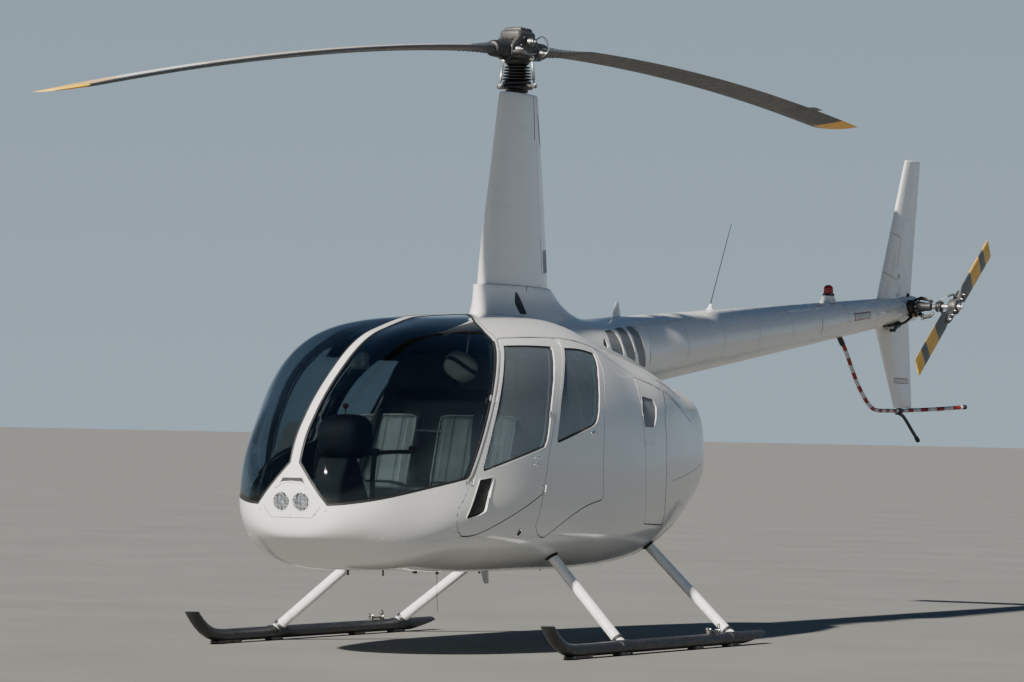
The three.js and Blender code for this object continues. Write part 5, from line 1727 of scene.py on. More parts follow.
# push rod and bellcrank under the boom's end
un = []
un.append(tube("control_tube", [(40, 5330, 1972), (60, 5480, 1958), (78, 5640, 1962), (92, 5760, 1992), (108, 5830, 2030)], 9, HUB_DARK, 16))
un.append(rbox("under_bracket", (30, 5560, 1968), (70, 90, 34), HUB_DARK, 8, 3))
un.append(rbox("under_bracket_aft", (46, 5700, 1976), (60, 60, 40), GREASE, 8, 3))
un.append(rod("under_pivot", (-6, 5560, 1950), (86, 5560, 1950), 9, STEEL, 20, 1.5))
un.append(tube("under_arm", [(60, 5560, 1950), (66, 5600, 1936), (64, 5650, 1944), (66, 5700, 1962)], [10, 9, 9, 8], HUB_GREY, 16))
un.append(rod("weight", (64, 5600, 1922), (64, 5600, 1952), 22, HUB_DARK, 28, 3))
ride(join("tail_control_linkage", un))


# ------------------------------------------------------------------ landing gear
SKID_BLACK = plain("skid_black_paint", (0.018, 0.019, 0.022), (0.34, 0.55), grain=220.0, bump=0.2, wear=(0.075, 0.075, 0.078))
SHOE = metal("wear_shoe_steel", (0.20, 0.19, 0.18), (0.45, 0.65), (0.04, 0.03, 0.025), 0.7)


def gear_white():
    """White enamel with dust low down and scuffs near the feet."""
    t = Tree("leg_white_enamel")
    z = t.axis("Z")
    base = t.ramp(t.noise(6.0, 5, 0.6), (0.35, (0.78, 0.78, 0.765)), (0.65, (0.82, 0.82, 0.81)))
    low = t.math("MULTIPLY", t.remap(z, 0.10, 0.34, 1, 0), t.remap(t.noise(34.0, 6, 0.7), 0.46, 0.62, 0, 0.55))
    base = t.mix(low, base, (0.36, 0.33, 0.29))
    r = t.remap(t.noise(18.0, 4, 0.6), 0.3, 0.7, 0.22, 0.36)
    return t.done(base, r, t.bump(t.noise(240.0, 2, 0.5), 0.06, 0.0006), Coat_Weight=0.2, Coat_Roughness=0.1)


GEAR_WHITE = gear_white()
LEGS = {"front": ([1065, -748, 75], [598, -620, 505]), "rear": ([1065, 715, 75], [495, 851, 545])}
for sd, s in SIDES.items():
    x = 1085 * s
    # skid: drawn tube with a curved toe cut level, and a heel cut to a point
    path = [[1140, 45], [1060, 45], [900, 45], [400, 45], [-100, 45], [-600, 45], [-1100, 45], [-1290, 45], [-1360, 46.5], [-1419, 51], [-1480, 65],
            [-1540, 89], [-1590, 119], [-1632, 150], [-1672, 185], [-1706, 222]]
    k = tube(f"skid_{sd}_tube", [(x, y, z) for y, z in path], 35, SKID_BLACK, 48)
    cut(k, box(x - 60, x + 60, -1800, -1500, 184, 400))
    cut(k, prism([(790, 0), (1180, 0), (1180, 62), (1146, 62)], x - 60, x + 60, "yz"))
    sharp(k, 30)
    k.data.materials.clear()
    k.data.materials.append(SKID_BLACK)
    ride(k)
    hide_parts(f"skid_{sd}")
    for i, (y, hl) in enumerate(((-1290, 138), (-757, 68), (218, 68), (700, 76))):
        sh = loft(f"skid_shoe_{sd}_{i}", [np.array([(x - w, yy, z), (x + w, yy, z), (x + w * 1.12, yy, zt), (x - w * 1.12, yy, zt)])
                                          for yy, w, z, zt in ((y - hl, 20, 7, 13), (y - hl + 14, 25, 0.6, 17), (y + hl - 14, 25, 0.6, 17), (y + hl, 20, 7, 13))], SHOE, smooth=False)
        ride(sh)
        for dy in (-hl + 32, hl - 32):
            hexbolt(f"shoe_bolt_{sd}_{i}_{'a' if dy < 0 else 'b'}", (x + s * 27, y + dy, 12), (s, 0, 0), 5, 3, body="airframe")
    # toe plug
    ride(loft(f"skid_toe_plug_{sd}", [np.array([(x + 25 * math.cos(a), -1662 + 36 * math.sin(a), z) for a in np.linspace(0, 2 * math.pi, 28, endpoint=False)]) for z in (178.0, 182.4)], [BLACK]))
    for nm, (foot, topp) in LEGS.items():
        f, t_ = np.array(foot, float) * (s, 1, 1), np.array(topp, float) * (s, 1, 1)
        d = t_ - f
        pts = [f + d * q for q in np.linspace(-0.03, 1.07, 12)]
        lg = tube(f"leg_{nm}_{sd}_tube", pts, [30] * 12, GEAR_WHITE, 44, up=(0, 1, 0), squash=(1.08, 0.94))
        ride(lg, "airframe")
        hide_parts(f"leg_{nm}_{sd}")
        # saddle on the skid and welded foot collar
        fy = foot[1]
        sad = []
        ring = [(x + 37 * math.cos(a), 45 + 37 * math.sin(a)) for a in np.linspace(math.radians(12), math.radians(168), 22)]
        plate = ring + [(x + 41.5 * math.cos(a), 45 + 41.5 * math.sin(a)) for a in np.linspace(math.radians(168), math.radians(12), 22)]
        sad.append(prism([(x + (px_ - x) * 0.985, 45 + (pz_ - 45) * 0.985) for px_, pz_ in plate], fy - 58, fy + 58, "xz", "saddle_plate", [SKID_BLACK]))
        e = d / np.linalg.norm(d)
        sad.append(lathe("foot_collar", [(0, 33), (4, 36.5), (14, 35), (22, 33), (24, 30)], f + e * 2, f + e * 60, [SKID_BLACK], 40))
        o = join(f"skid_saddle_{nm}_{sd}", sad)
        ride(sharp(o, 35))
        # rubber boot and fairing lip at the fuselage
        # the leg meets the skin where gauge = 1
        qs = np.linspace(0.5, 1.2, 300)
        G = gauge(f + d * qs[:, None])
        hit = f + d * qs[np.argmax(G < 1)]
        n_ = normal_at(hit)[0]
        bt = []
        c0 = hit - e * 34
        rings = []
        _, u, w = frame_at(e, (0, 1, 0))
        aa = np.linspace(0, 2 * math.pi, 56, endpoint=False)
        cs = np.cos(aa)[:, None] * u * 1.08 + np.sin(aa)[:, None] * w * 0.94
        base = []
        for q in cs:
            # a point on the skin round the leg
            rr = q / np.linalg.norm(q)
            p0 = hit + q * 36
            tt = np.linspace(-90, 90, 181)
            g = gauge(p0 + e * tt[:, None])
            base.append(p0 + e * tt[np.argmax(g < 1)])
        base = np.array(base)
        flare = np.array([b + (q / np.linalg.norm(q)) * 4.5 for b, q in zip(base, cs)])
        # pull the flare onto the skin
        for _ in range(4):
            g = gauge(flare)
            nn = normal_at(flare)
            ee = 0.8
            grad = np.linalg.norm(np.stack([gauge(flare + ee * dd) - gauge(flare - ee * dd) for dd in np.eye(3)], 1), axis=1) / (2 * ee)
            flare = flare - nn * ((g - 1) / grad)[:, None]
        nb, nf = normal_at(base), normal_at(flare)
        collar = np.array([b - e * 12 - q * 3.6 for b, q in zip(base, cs)])
        lip = np.array([b - e * 14 - q * 5.4 for b, q in zip(base, cs)])
        mid = np.array([b - e * 7 - q * 2.4 for b, q in zip(base, cs)])
        o = loft(f"leg_boot_{nm}_{sd}", [flare - nf * 2.0, flare + nf * 2.2, base + nb * 3.0 + (flare - base) * 0.35, base + nb * 4.0, mid, collar, lip, lip + e * 18 - cs * 1.0], BLACK)
        ride(sharp(o, 50))
    # ground handling fitting in front of each rear leg
    gh = []
    for y, h in ((392, 112), (522, 104)):
        gh.append(rbox("lug", (x, y, 84), (20, 26, 30), SHOE, 3, 2))
        gh.append(rod("lug_pin", (x - 16, y, h - 6), (x + 16, y, h - 6), 7, STEEL, 18, 1.2))
        gh.append(rod("lug_post", (x, y, 92), (x, y, h), 7, SHOE, 18, 1.2))
    gh.append(rod("bar", (x, 392, 92), (x, 522, 92), 6, SHOE, 16, 1))
    ring = [(x + s * 2, 522 + 15 * math.cos(a), 118 + 15 * math.sin(a)) for a in np.linspace(0, 2 * math.pi, 25)]
    gh.append(tube("eye", ring, 3.6, SHOE, 12, caps=False))
    gh.append(tube("clip", [(x, 392, 106), (x + s * 6, 380, 116), (x + s * 4, 366, 112), (x, 362, 98)], 3.4, SHOE, 10))
    o = join(f"ground_handling_lug_{sd}", gh)
    ride(o)

# small fittings under the belly
bl = []
for y, z0, L, r in ((-1883, 445, 22, 6), (-1490, 436, 26, 5), (-1180, 431, 12, 13), (-862, 425, 18, 9), (-350, 421, 20, 6), (420, 425, 20, 7), (980, 455, 16, 8)):
    bl.append(rod("drain", (0 if y != -1180 else 30, y, z0 - L), (0 if y != -1180 else 30, y, z0 + 12), r, DARK_GREY, 20, 1.5))
ride(join("belly_drains", bl))
ride(tube("belly_wire_antenna", [(0, -862, 410), (0, -860, 330), (1, -856, 260), (2, -850, 203)], [1.8, 1.6, 1.4, 1.2], BLACK, 8))
bl = []
for i, (y0, y1) in enumerate(((-330, -240),)):
    rings = []
    for z, c, th in ((428, 92, 7), (400, 86, 6.5), (352, 62, 5), (344, 52, 3)):
        yc = -290 + (428 - z) * 0.35
        aa = np.linspace(0, 2 * math.pi, 28, endpoint=False)
        rings.append(np.array([(th * math.sin(a), yc + c / 2 * math.cos(a), z) for a in aa]))
    bl.append(loft("belly_blade", rings, WHITE))
ride(sharp(join("belly_blade_antenna", bl), 35))


# ------------------------------------------------------------------ tail guard, tail skid, beacon, antennas
def guard_paint(name, c, worn):
    t = Tree(name)
    c = np.array(c)
    base = t.ramp(t.noise(24.0, 5, 0.6), (0.3, c * 0.82), (0.7, np.minimum(c * 1.08, 1)))
    base = t.mix(t.remap(t.noise(60.0, 6, 0.7), 0.55, 0.72, 0, 0.6), base, worn)
    return t.done(base, t.remap(t.noise(40.0, 3, 0.5), 0.3, 0.7, 0.34, 0.52), t.bump(t.noise(300.0, 2, 0.5), 0.1, 0.0005))


RED = guard_paint("guard_red", (0.30, 0.030, 0.028), (0.12, 0.05, 0.045))
PALE = guard_paint("guard_white", (0.52, 0.53, 0.54), (0.26, 0.25, 0.24))
GUARD = [[0, 4826, 1862], [0, 4923, 1788], [0, 5045, 1663], [0, 5149, 1563], [0, 5288, 1462], [0, 5396, 1408], [0, 5500, 1388], [0, 5700, 1387], [0, 5960, 1390],
         [30, 6100, 1396], [130, 6249, 1406], [270, 6423, 1424]]
g = spline(GUARD, 14)
L = np.r_[0, np.cumsum(np.linalg.norm(np.diff(g, axis=0), axis=1))]
stops, at_, red = [0.0], 0.0, False
while at_ < L[-1]:
    at_ += 62 if red else 68
    red = not red
    stops.append(min(at_, L[-1]))
ss = np.unique(np.r_[np.arange(0, L[-1], 16), stops, L[-1]])
ss = ss[np.r_[True, np.diff(ss) > 1.0]]
pts = np.array([[np.interp(q, L, g[:, k_]) for k_ in range(3)] for q in ss])
o = tube("tail_guard_tube", pts, 14, [PALE, RED], 28)
band = [int(np.searchsorted(stops, (ss[i] + ss[i + 1]) / 2) % 2 == 0) for i in range(len(ss) - 1)]
nf = 28 * (len(ss) - 1)
o.data.polygons.foreach_set("material_index", [band[i // 28] if i < nf else band[-1] for i in range(len(o.data.polygons))])
ride(o)
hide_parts("tail_guard")
gf = [rod("guard_socket", (0, 4800, 1882), (0, 4880, 1818), 19, HUB_DARK, 28, 3), rbox("guard_clamp", (0, 5905, 1389), (34, 40, 36), HUB_DARK, 5, 3),
      rod("guard_end", (262, 6413, 1423), (282, 6439, 1425.5), 16, BLACK, 24, 4)]
ride(join("tail_guard_fittings", gf))
sk = [(0, 5880, 1374), (0, 5990, 1346), (0, 6150, 1252), (0, 6262, 1186)]
o = tube("tail_skid_rod", spline(sk, 8), 12, SKID_BLACK, 24)
ride(o)
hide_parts("tail_skid")
ride(join("tail_skid_fittings", [rod("skid_pad", (0, 6226, 1208), (0, 6264, 1184), 15.5, BLACK, 24, 4), rbox("skid_clamp", (0, 5900, 1376), (40, 46, 30), HUB_DARK, 5, 3)]))

BY = 4620
bt = boom_c(BY) + boom_r(BY)
o = lathe("beacon_pedestal", [(0, 62), (8, 56), (22, 47), (38, 43), (46, 42.5), (48, 40)], (0, BY, bt - 6), (0, BY, bt + 42), [BOOM_PAINT], 48)
ride(o)
RED_LENS = Tree("red_lens_glass")
RED_LENS = RED_LENS.done(RED_LENS.ramp(RED_LENS.noise(20.0, 3, 0.5), (0.3, (0.30, 0.010, 0.014)), (0.7, (0.40, 0.016, 0.020))), 0.10,
                         RED_LENS.bump(RED_LENS.wave(26.0, "Z"), 0.35, 0.002), Transmission_Weight=0.35, Coat_Weight=0.5, Coat_Roughness=0.04)
prof = [(0, 34)] + [(3 + i * 6 + k_, 34 - 0.10 * (i * 6 + k_) ** 1.02 * 0.6 + (0.9 if k_ == 3 else 0)) for i in range(9) for k_ in (0, 3)]
prof = [(a, r) for a, r in prof if a < 54] + [(56, 29), (62, 25.5), (67, 20), (70.5, 12), (71.6, 5), (72, 0)]
o = lathe("beacon_lens", prof, (0, BY, bt + 42), (0, BY, bt + 114), [RED_LENS], 48)
ride(o)
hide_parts("beacon")
ride(join("beacon_ring", [lathe("ring", [(0, 38), (1, 41), (11, 41), (13, 38.5), (15, 36)], (0, BY, bt + 40), (0, BY, bt + 56), [SATIN_BLACK], 48)]
          + [rod("screw", (38.5 * math.cos(a), BY + 38.5 * math.sin(a), bt + 50), (38.5 * math.cos(a), BY + 38.5 * math.sin(a), bt + 54.5), 3.4, STEEL, 12, 0.6) for a in np.linspace(0.3, 2 * math.pi + 0.3, 6, endpoint=False)]))

# blade antenna on the roof fairing, whip antenna on the boom
rings = []
for z, y0, y1, th in ((1850, 1306, 1444, 13), (1876, 1316, 1438, 12), (1900, 1318, 1434, 11), (1922, 1322, 1428, 10), (1942, 1336, 1418, 8.5), (1960, 1350, 1408, 7.5), (1978, 1356, 1402, 6), (1984, 1360, 1398, 3)):
    aa = np.linspace(0, 2 * math.pi, 36, endpoint=False)
    rings.append(np.array([(th * math.sin(a), (y0 + y1) / 2 + (y1 - y0) / 2 * math.cos(a), z) for a in aa]))
FOIL = paint("antenna_paint", (0.62, 0.64, 0.65), dirt_amount=0.12)
ride(sharp(loft("roof_blade_antenna", rings, FOIL), 40))
zb = boom_c(2742) + boom_r(2742)
whip = tube("whip_antenna_rod", [(0, 2736, zb + 38), (0, 2776, zb + 110), (0, 2886, zb + 300), (0, 3030, zb + 548)], [4.2, 3.2, 2.6, 1.8], BLACK, 12)
base = lathe("whip_antenna_base", [(0, 27), (5, 27), (9, 20), (22, 13), (34, 9), (42, 7), (44, 4)], (0, 2726, zb - 4), (0, 2738, zb + 40), [BOOM_PAINT], 32)
ride(whip)
ride(base)
ride(studs("whip_antenna_tip", [(0, 3031, zb + 548)], [(0, 0.5, 0.86)], 3.4, STEEL, 5, 12))

# light mark at the boom joint, blank plates with a thin red edge
PLATE = guard_paint("blank_plate", (0.60, 0.61, 0.60), (0.42, 0.41, 0.39))
PLATE_RED = guard_paint("plate_edge_red", (0.34, 0.055, 0.05), (0.20, 0.08, 0.07))


def boom_patch(name, y0, y1, a0, a1, mats, lift, m=10, k=8):
    V, F = [], []
    ys_, as_ = np.linspace(y0, y1, m + 1), np.linspace(a0, a1, k + 1)
    for out_ in (-0.6, lift):
        for y in ys_:
            for a in as_:
                V.append(boom_point(y, a, out_)[0])
    n_ = (m + 1) * (k + 1)
    for i in range(m):
        for j in range(k):
            a = i * (k + 1) + j
            F += [(a, a + 1, a + k + 2, a + k + 1), (n_ + a, n_ + a + k + 1, n_ + a + k + 2, n_ + a + 1)]
    edge = [j for j in range(k + 1)] + [i * (k + 1) + k for i in range(1, m + 1)] + [m * (k + 1) + j for j in range(k - 1, -1, -1)] + [i * (k + 1) for i in range(m - 1, 0, -1)]
    for a, b in zip(edge, edge[1:] + edge[:1]):
        F.append((a, b, n_ + b, n_ + a))
    return ride(orient(new(name, V, F, mats)))


for sd, sg in SIDES.items():
    c = 0.12 if sg > 0 else math.pi - 0.12
    boom_patch(f"blank_plate_edge_{sd}", 4800, 5099, c - 0.21, c + 0.21, PLATE_RED, 0.9)
    boom_patch(f"blank_plate_{sd}", 4806, 5093, c - 0.165, c + 0.165, PLATE, 1.4)
    for z0, z1 in ((1574, 1611),):
        pl = [on_fin(LF, z, f, sg) for z, f in ((z0, .18), (z0, .86), (z1, .86), (z1, .18))]
    grid = []
    for lift, inset in ((1.0, 0.0), (1.6, 0.05)):
        V, F = [], []
        zz, ff = np.linspace(1574 + inset * 90, 1611 - inset * 90, 4), np.linspace(0.18 + inset * .3, 0.86 - inset * .3, 12)
        for out_ in (-0.8, lift):
            for z in zz:
                for f_ in ff:
                    V.append(on_fin(LF, z, f_, sg) + (sg * out_, 0, 0))
        m_, k_ = len(zz), len(ff)
        n_ = m_ * k_
        for i in range(m_ - 1):
            for j in range(k_ - 1):
                a = i * k_ + j
                F += [(a, a + 1, a + k_ + 1, a + k_), (n_ + a, n_ + a + k_, n_ + a + k_ + 1, n_ + a + 1)]
        edge = [j for j in range(k_)] + [i * k_ + k_ - 1 for i in range(1, m_)] + [(m_ - 1) * k_ + j for j in range(k_ - 2, -1, -1)] + [i * k_ for i in range(m_ - 2, 0, -1)]
        for a, b in zip(edge, edge[1:] + edge[:1]):
            F.append((a, b, n_ + b, n_ + a))
        ride(orient(new(f"fin_plate_{'edge' if not inset else 'face'}_{sd}", V, F, PLATE_RED if not inset else PLATE, False)))
    # worn tan joint lines on the upper fin with a small bracket
    TAN = MATS.get("worn_joint_line") or plain("worn_joint_line", (0.26, 0.21, 0.15), (0.5, 0.7))
    for i, run in enumerate((((5666, 2602), (5822, 2568), (5745, 2353)), ((5506, 2333), (5749, 2278), (5823, 2175)))):
        q = along(run, 14)
        P = []
        for y, z in q:
            le, te = [float(np.interp(z, [r[0] for r in UF], [r[j] for r in UF])) for j in (1, 2)]
            P.append(on_fin(UF, z, min(max((y - le) / (te - le), 0.01), 0.98), sg))
        strip_on(f"fin_joint_line_{i}_{sd}", P, [(sg, 0, 0)] * len(P), 4.5, 0.5, TAN)
    ride(rbox(f"fin_joint_bracket_{sd}", on_fin(UF, 2300, 0.44, sg) + (sg * 3, 0, 0), (7, 26, 34), STEEL, 2, 2))
    p, n = boom_point(4212, 0.35 if sg > 0 else math.pi - 0.35)
    boom_patch(f"boom_joint_mark_{sd}", 4205, 4222, -0.45 if sg > 0 else math.pi - 0.25, 0.25 if sg > 0 else math.pi + 0.45, PLATE, 1.2, 3, 12)


# ------------------------------------------------------------------ on the cabin's surface
def snap(p, out=0.0):
    """Points moved onto the body's surface, then outwards."""
    p = np.array(p, float).reshape(-1, 3)
    for _ in range(5):
        e = 0.8
        g = np.stack([gauge(p + e * d) - gauge(p - e * d) for d in np.eye(3)], 1) / (2 * e)
        m2 = np.maximum(np.sum(g * g, 1), 1e-12)
        p = p - g * ((gauge(p) - 1) / m2)[:, None]
    n = normal_at(p)
    return p + n * out, n


def run_on(pts3, step):
    q, n = snap(along(pts3, step))
    return q, n


RIVET = metal("rivet_heads", (0.90, 0.90, 0.89), (0.12, 0.24), dirt_amount=0.12)
FRAME_PAINT = paint("frame_edge_paint", (0.33, 0.335, 0.335), rough=(0.25, 0.4), dirt=(0.16, 0.155, 0.145), dirt_amount=0.6, coat=0.15)
_side = np.array(WINDSHIELD_SIDE[1:10], float)
_side = along(spline(_side, 6), 12)
for sd, s in SIDES.items():
    # retainer strip with two rivet rows round the windshield pane
    def edge(d):
        o = grow(rounded([*WINDSHIELD_SIDE[:-2], [-1148, 1800], [-2800, 1800]], 60, sharp_at=(0, 9, 10)), d)
        o = np.array([q for q in o if -2470 < q[0] < -1225 - 0 and q[1] < 1704])
        o = o[np.argsort(o[:, 0] + o[:, 1])]
        p = side(o, 0, s)[0]
        t_ = np.array(WINDSHIELD_TOP[1:6], float)
        t_ = grow(np.vstack([[0, -606], t_, [900, -1258], [900, -2800], [0, -2800]]), d)
        t_ = np.array([q for q in t_[1:7] if q[1] <= -626 and q[0] < 470 + d])
        t3 = top(along(t_, 20)[::-1] * (s, 1))[0]
        keep = t3[:, 2] > 1712
        q = np.vstack([p, t3[keep]])
        return snap(along(spline(along(q, 45), 3), 14))
    for d, w, h in ((12.5, 19, 1.1),):
        P, N = edge(d)
        strip_on(f"windshield_retainer_{sd}", P, N, w, h, FRAME_PAINT)
    P, N = edge(12.5)
    low = P[:, 2] < 1712
    q, n = snap(along(P[low], 21))
    ride(studs(f"windshield_rivets_{sd}", q + n * 1.0, n, 4.2, RIVET, 2.4, 8))
    q, n = snap(along(P[~low], 30))
    ride(studs(f"windshield_top_rivets_{sd}", q + n * 1.0, n, 2.8, FRAME_PAINT, 1.0, 8))
    P, N = edge(25)
    low = P[:, 2] < 960
    q, n = snap(along(P[low], 24))
    ride(studs(f"windshield_lower_rivets_{sd}", q, n, 4.2, RIVET, 2.2, 8))

    # rivets along the door seams on the cabin frame
    def seam_pts(outline, d, test, step):
        o = grow(outline, d)
        o = along(o, 6, True)
        o = np.array([q for q in o if test(q)])
        gaps = np.linalg.norm(np.diff(o, axis=0), axis=1)
        k = int(np.argmax(gaps)) + 1 if gaps.max() > 30 else 0
        o = np.roll(o, -k, axis=0) if k else o
        return side(along(o, step), 0, s)
    P, N = seam_pts(FD, 13, lambda q: q[0] < -1560 and q[1] < 900, 38)
    ride(studs(f"front_seam_rivets_{sd}", P, N, 4.2, RIVET, 1.5, 8))
    P, N = seam_pts(RD, 13, lambda q: q[0] > -330 and q[1] > 880 and q[1] < 1660, 44)
    ride(studs(f"rear_seam_rivets_{sd}", P, N, 3.8, RIVET, 1.4, 8))
    P, N = seam_pts(FW, 11, lambda q: q[0] > -1020 and 1130 < q[1] < 1640, 24)
    ride(studs(f"front_window_rivets_{sd}", P, N, 3.0, RIVET, 1.3, 8), f"front_door_{sd}")
    P, N = seam_pts(FW, 11, lambda q: q[0] < -1200 and q[1] > 1010, 26)
    ride(studs(f"front_window_fore_rivets_{sd}", P, N, 3.0, RIVET, 1.3, 8), f"front_door_{sd}")
    P, N = seam_pts(RW, 11, lambda q: q[0] < -560 and 1170 < q[1] < 1640, 24)
    ride(studs(f"rear_window_rivets_{sd}", P, N, 3.0, RIVET, 1.3, 8), f"rear_door_{sd}")

    # door hinges: barrels on the hinge line, leaves on the post and on the door
    for kind, a, b, ks in (("front", (668, -1767, 880), (690, -1541, 1353), (0.12, 1.06)), ("rear", (749, -1046, 880), (748, -976, 1160), (0.06, 1.5))):
        a, b = np.array(a, float) * (s, 1, 1), np.array(b, float) * (s, 1, 1)
        ax = (b - a) / np.linalg.norm(b - a)
        for i, k in enumerate(ks):
            c = a + (b - a) * k
            cs_, cn = snap([c])
            c = cs_[0] if k > 1.2 else c
            if k <= 1.2:
                ride(rod(f"{kind}_hinge_pin_{i}_{sd}", c - ax * 22, c + ax * 22, 3.6, STEEL, 20, 1.2))
                for q in (-14, 0, 14):
                    ride(rod(f"{kind}_hinge_knuckle_{i}{'abc'[int(q / 14) + 1]}_{sd}", c + ax * (q - 6.2), c + ax * (q + 6.2), 4.6, FRAME_PAINT, 20, 0.8), "airframe" if q else f"{kind}_door_{sd}")
            n = cn[0]
            w = np.cross(ax, n)
            w /= np.linalg.norm(w)
            if w[1] < 0:
                w = -w
            for body, sg in (("airframe", -1), (f"{kind}_door_{sd}", 1)):
                q = [c + w * sg * (9 + u) + ax * v for u, v in ((0, -20), (13, -17), (13, 17), (0, 20))]
                q, nn = snap(q)
                o = loft(f"{kind}_hinge_leaf_{i}_{'a' if sg < 0 else 'd'}_{sd}", [q - nn * 0.5, q + nn * 1.6], FRAME_PAINT, smooth=False)
                ride(sharp(o, 30), body)
                pts, nn = snap([c + w * sg * (16) + ax * v for v in (-10, 10)])
                ride(studs(f"{kind}_hinge_rivet_{i}_{'a' if sg < 0 else 'd'}_{sd}", pts + nn * 1.7, nn, 3.4, STEEL, 1.6, 8), body)

    # latches, locks, screws
    def flush(name, y, z, w, h, body, turn=0.0, mats=(RIVET, SATIN_BLACK), up=2.2):
        p, n = side([(y, z)], 0, s)
        p, n = p[0], n[0]
        t_ = np.array([0, 1.0, 0]) - n * n[1]
        t_ /= np.linalg.norm(t_)
        v_ = np.cross(n, t_)
        ca, sa = math.cos(turn), math.sin(turn)
        t2, v2 = t_ * ca + v_ * sa, -t_ * sa + v_ * ca
        o = [rbox(name, p + n * 0.4, (w, h, up * 2), mats[0], min(w, h) * 0.22, 3, [t2, v2, n])]
        o.append(rbox(name + "_in", p + n * up * 0.75, (w * 0.74, h * 0.46, up * 2), mats[1], min(w, h) * 0.15, 2, [t2, v2, n]))
        return ride(join(name, o), body)

    flush(f"front_door_handle_{sd}", -1118, 1066, 66, 11, f"front_door_{sd}", 0.12 * s, up=3, mats=(RIVET, RIVET))
    flush(f"front_door_latch_{sd}", -1122, 1036, 12, 46, f"front_door_{sd}", 0.05 * s, up=2.5)
    flush(f"rear_door_handle_{sd}", -428, 1206, 58, 17, f"rear_door_{sd}", 0.2 * s, up=3.5)
    for nm, y, z, r, body in ((f"front_door_lock_{sd}", -1148, 1028, 7.5, f"front_door_{sd}"), (f"front_door_stud_{sd}", -1080, 1022, 6.5, f"front_door_{sd}"), (f"rear_door_stud_{sd}", -1000, 923, 6.5, f"rear_door_{sd}"),
                              (f"rear_door_lock_{sd}", -372, 1198, 6, f"rear_door_{sd}"), (f"cowl_latch_fore_{sd}", 372, 1150, 9, f"cowl_door_{sd}"),
                              (f"cowl_latch_aft_{sd}", 505, 1146, 9, f"cowl_door_{sd}"), (f"cowl_latch_low_{sd}", 392, 770, 8, f"cowl_door_{sd}")):
        p, n = side([(y, z)], 0, s)
        o = lathe(nm, [(0, r), (1.6, r), (2.6, r * 0.82), (2.8, r * 0.6), (2.2, r * 0.5), (2.2, 0)], p[0] - n[0] * 0.6, p[0] + n[0] * 3, [RIVET], 24)
        sl = rbox(nm + "_slot", p[0] + n[0] * 1.9, (r * 0.9, r * 0.24, 1.2), BLACK, 0.3, 1, [np.cross(n[0], (0, 0, 1.0)) / max(np.linalg.norm(np.cross(n[0], (0, 0, 1.0))), 1e-6), np.cross(n[0], np.cross(n[0], (0, 0, 1.0))) / max(np.linalg.norm(np.cross(n[0], (0, 0, 1.0))), 1e-6), n[0]])
        ride(join(nm, [o, sl]), body)
    # fuel drain recess low on the side
    p, n = side([(-1238, 659)], 0, s)
    ride(join(f"drain_port_{sd}", [lathe("port", [(0, 25), (2.8, 25), (4.2, 21), (1.2, 17), (1.0, 0)], p[0] - n[0] * 0.8, p[0] + n[0] * 4, [RIVET, ], 32),
                                   rod("port_in", p[0] - n[0] * 0.5, p[0] + n[0] * 2.1, 16.6, BLACK, 32, 0.4)]))
    # raised gutter over the doors
    q = along([(-1240, 1690), (-1190, 1709), (-1000, 1717), (-823, 1724), (-600, 1726), (-450, 1728), (-223, 1719), (-10, 1692), (100, 1664)], 16)
    P, N = side(q, 0, s)
    strip_on(f"roof_gutter_{sd}", P, N, 6.5, 1.2, JAMB)
    # creases and seams of the aft body
    for i, run in enumerate((((560, 1540), (700, 1500), (860, 1452), (1040, 1392), (1240, 1318)), ((-60, 1700), (120, 1648), (330, 1592), (560, 1540)))):
        P, N = side(along(run, 16), 0, s)
        strip_on(f"aft_seam_{i}_{sd}", P, N, 3.2, 0.7, JAMB)
    q = along(rounded([[950, 330], [900, 560], [844, 677], [800, 740], [754, 823], [750, 1031], [763, 1285], [883, 1459], [940, 1540]], 60, sharp_at=(0, 8))[1:-1], 14)
    P, N = side(q, 0, s)
    strip_on(f"rear_cowl_joint_{sd}", P, N, 4.5, 0.7, DARK_GREY)
    P, N = side(along(q + (16, 0), 52), 0, s)
    ride(studs(f"rear_cowl_screws_{sd}", P, N, 4.6, RIVET, 1.5, 10))
    # riveted facet over the rear cowl
    for i, run in enumerate((((900, 1462), (1040, 1410), (1200, 1352), (1380, 1280)), ((880, 1520), (1000, 1490), (1150, 1462), (1330, 1420)))):
        P, N = side(along(run, 30), 0, s)
        ride(studs(f"facet_fasteners_{i}_{sd}", P, N, 5.0, STEEL, 2.0, 10))
        P, N = side(along(run, 14), 0, s)
        strip_on(f"facet_seam_{i}_{sd}", P + N * 0.05, N, 2.6, 0.6, DARK_GREY)
    P, N = side(along(((1640, 1035), (1480, 1000), (1257, 971), (1050, 950), (874, 933)), 14), 0, s)
    strip_on(f"lower_crease_{sd}", P, N, 2.6, 0.7, JAMB)
    P, N = side(along(((1400, 700), (1250, 668), (1100, 640), (1010, 612), (950, 560)), 14), 0, s)
    strip_on(f"belly_pan_joint_{sd}", P, N, 5.0, 0.9, DARK_GREY)
    # screws along the long belly seam
    P, N = side(along(((-2300, 640), (-2000, 596), (-1600, 575), (-1250, 566)), 60), 0, s)
    ride(studs(f"nose_bowl_rivets_{sd}", P, N, 3.0, WHITE, 0.9, 8))

# nose: light panel seam, scoop slot, screws
q = along([(-168, 794), (-120, 736), (120, 736), (168, 794)], 10)


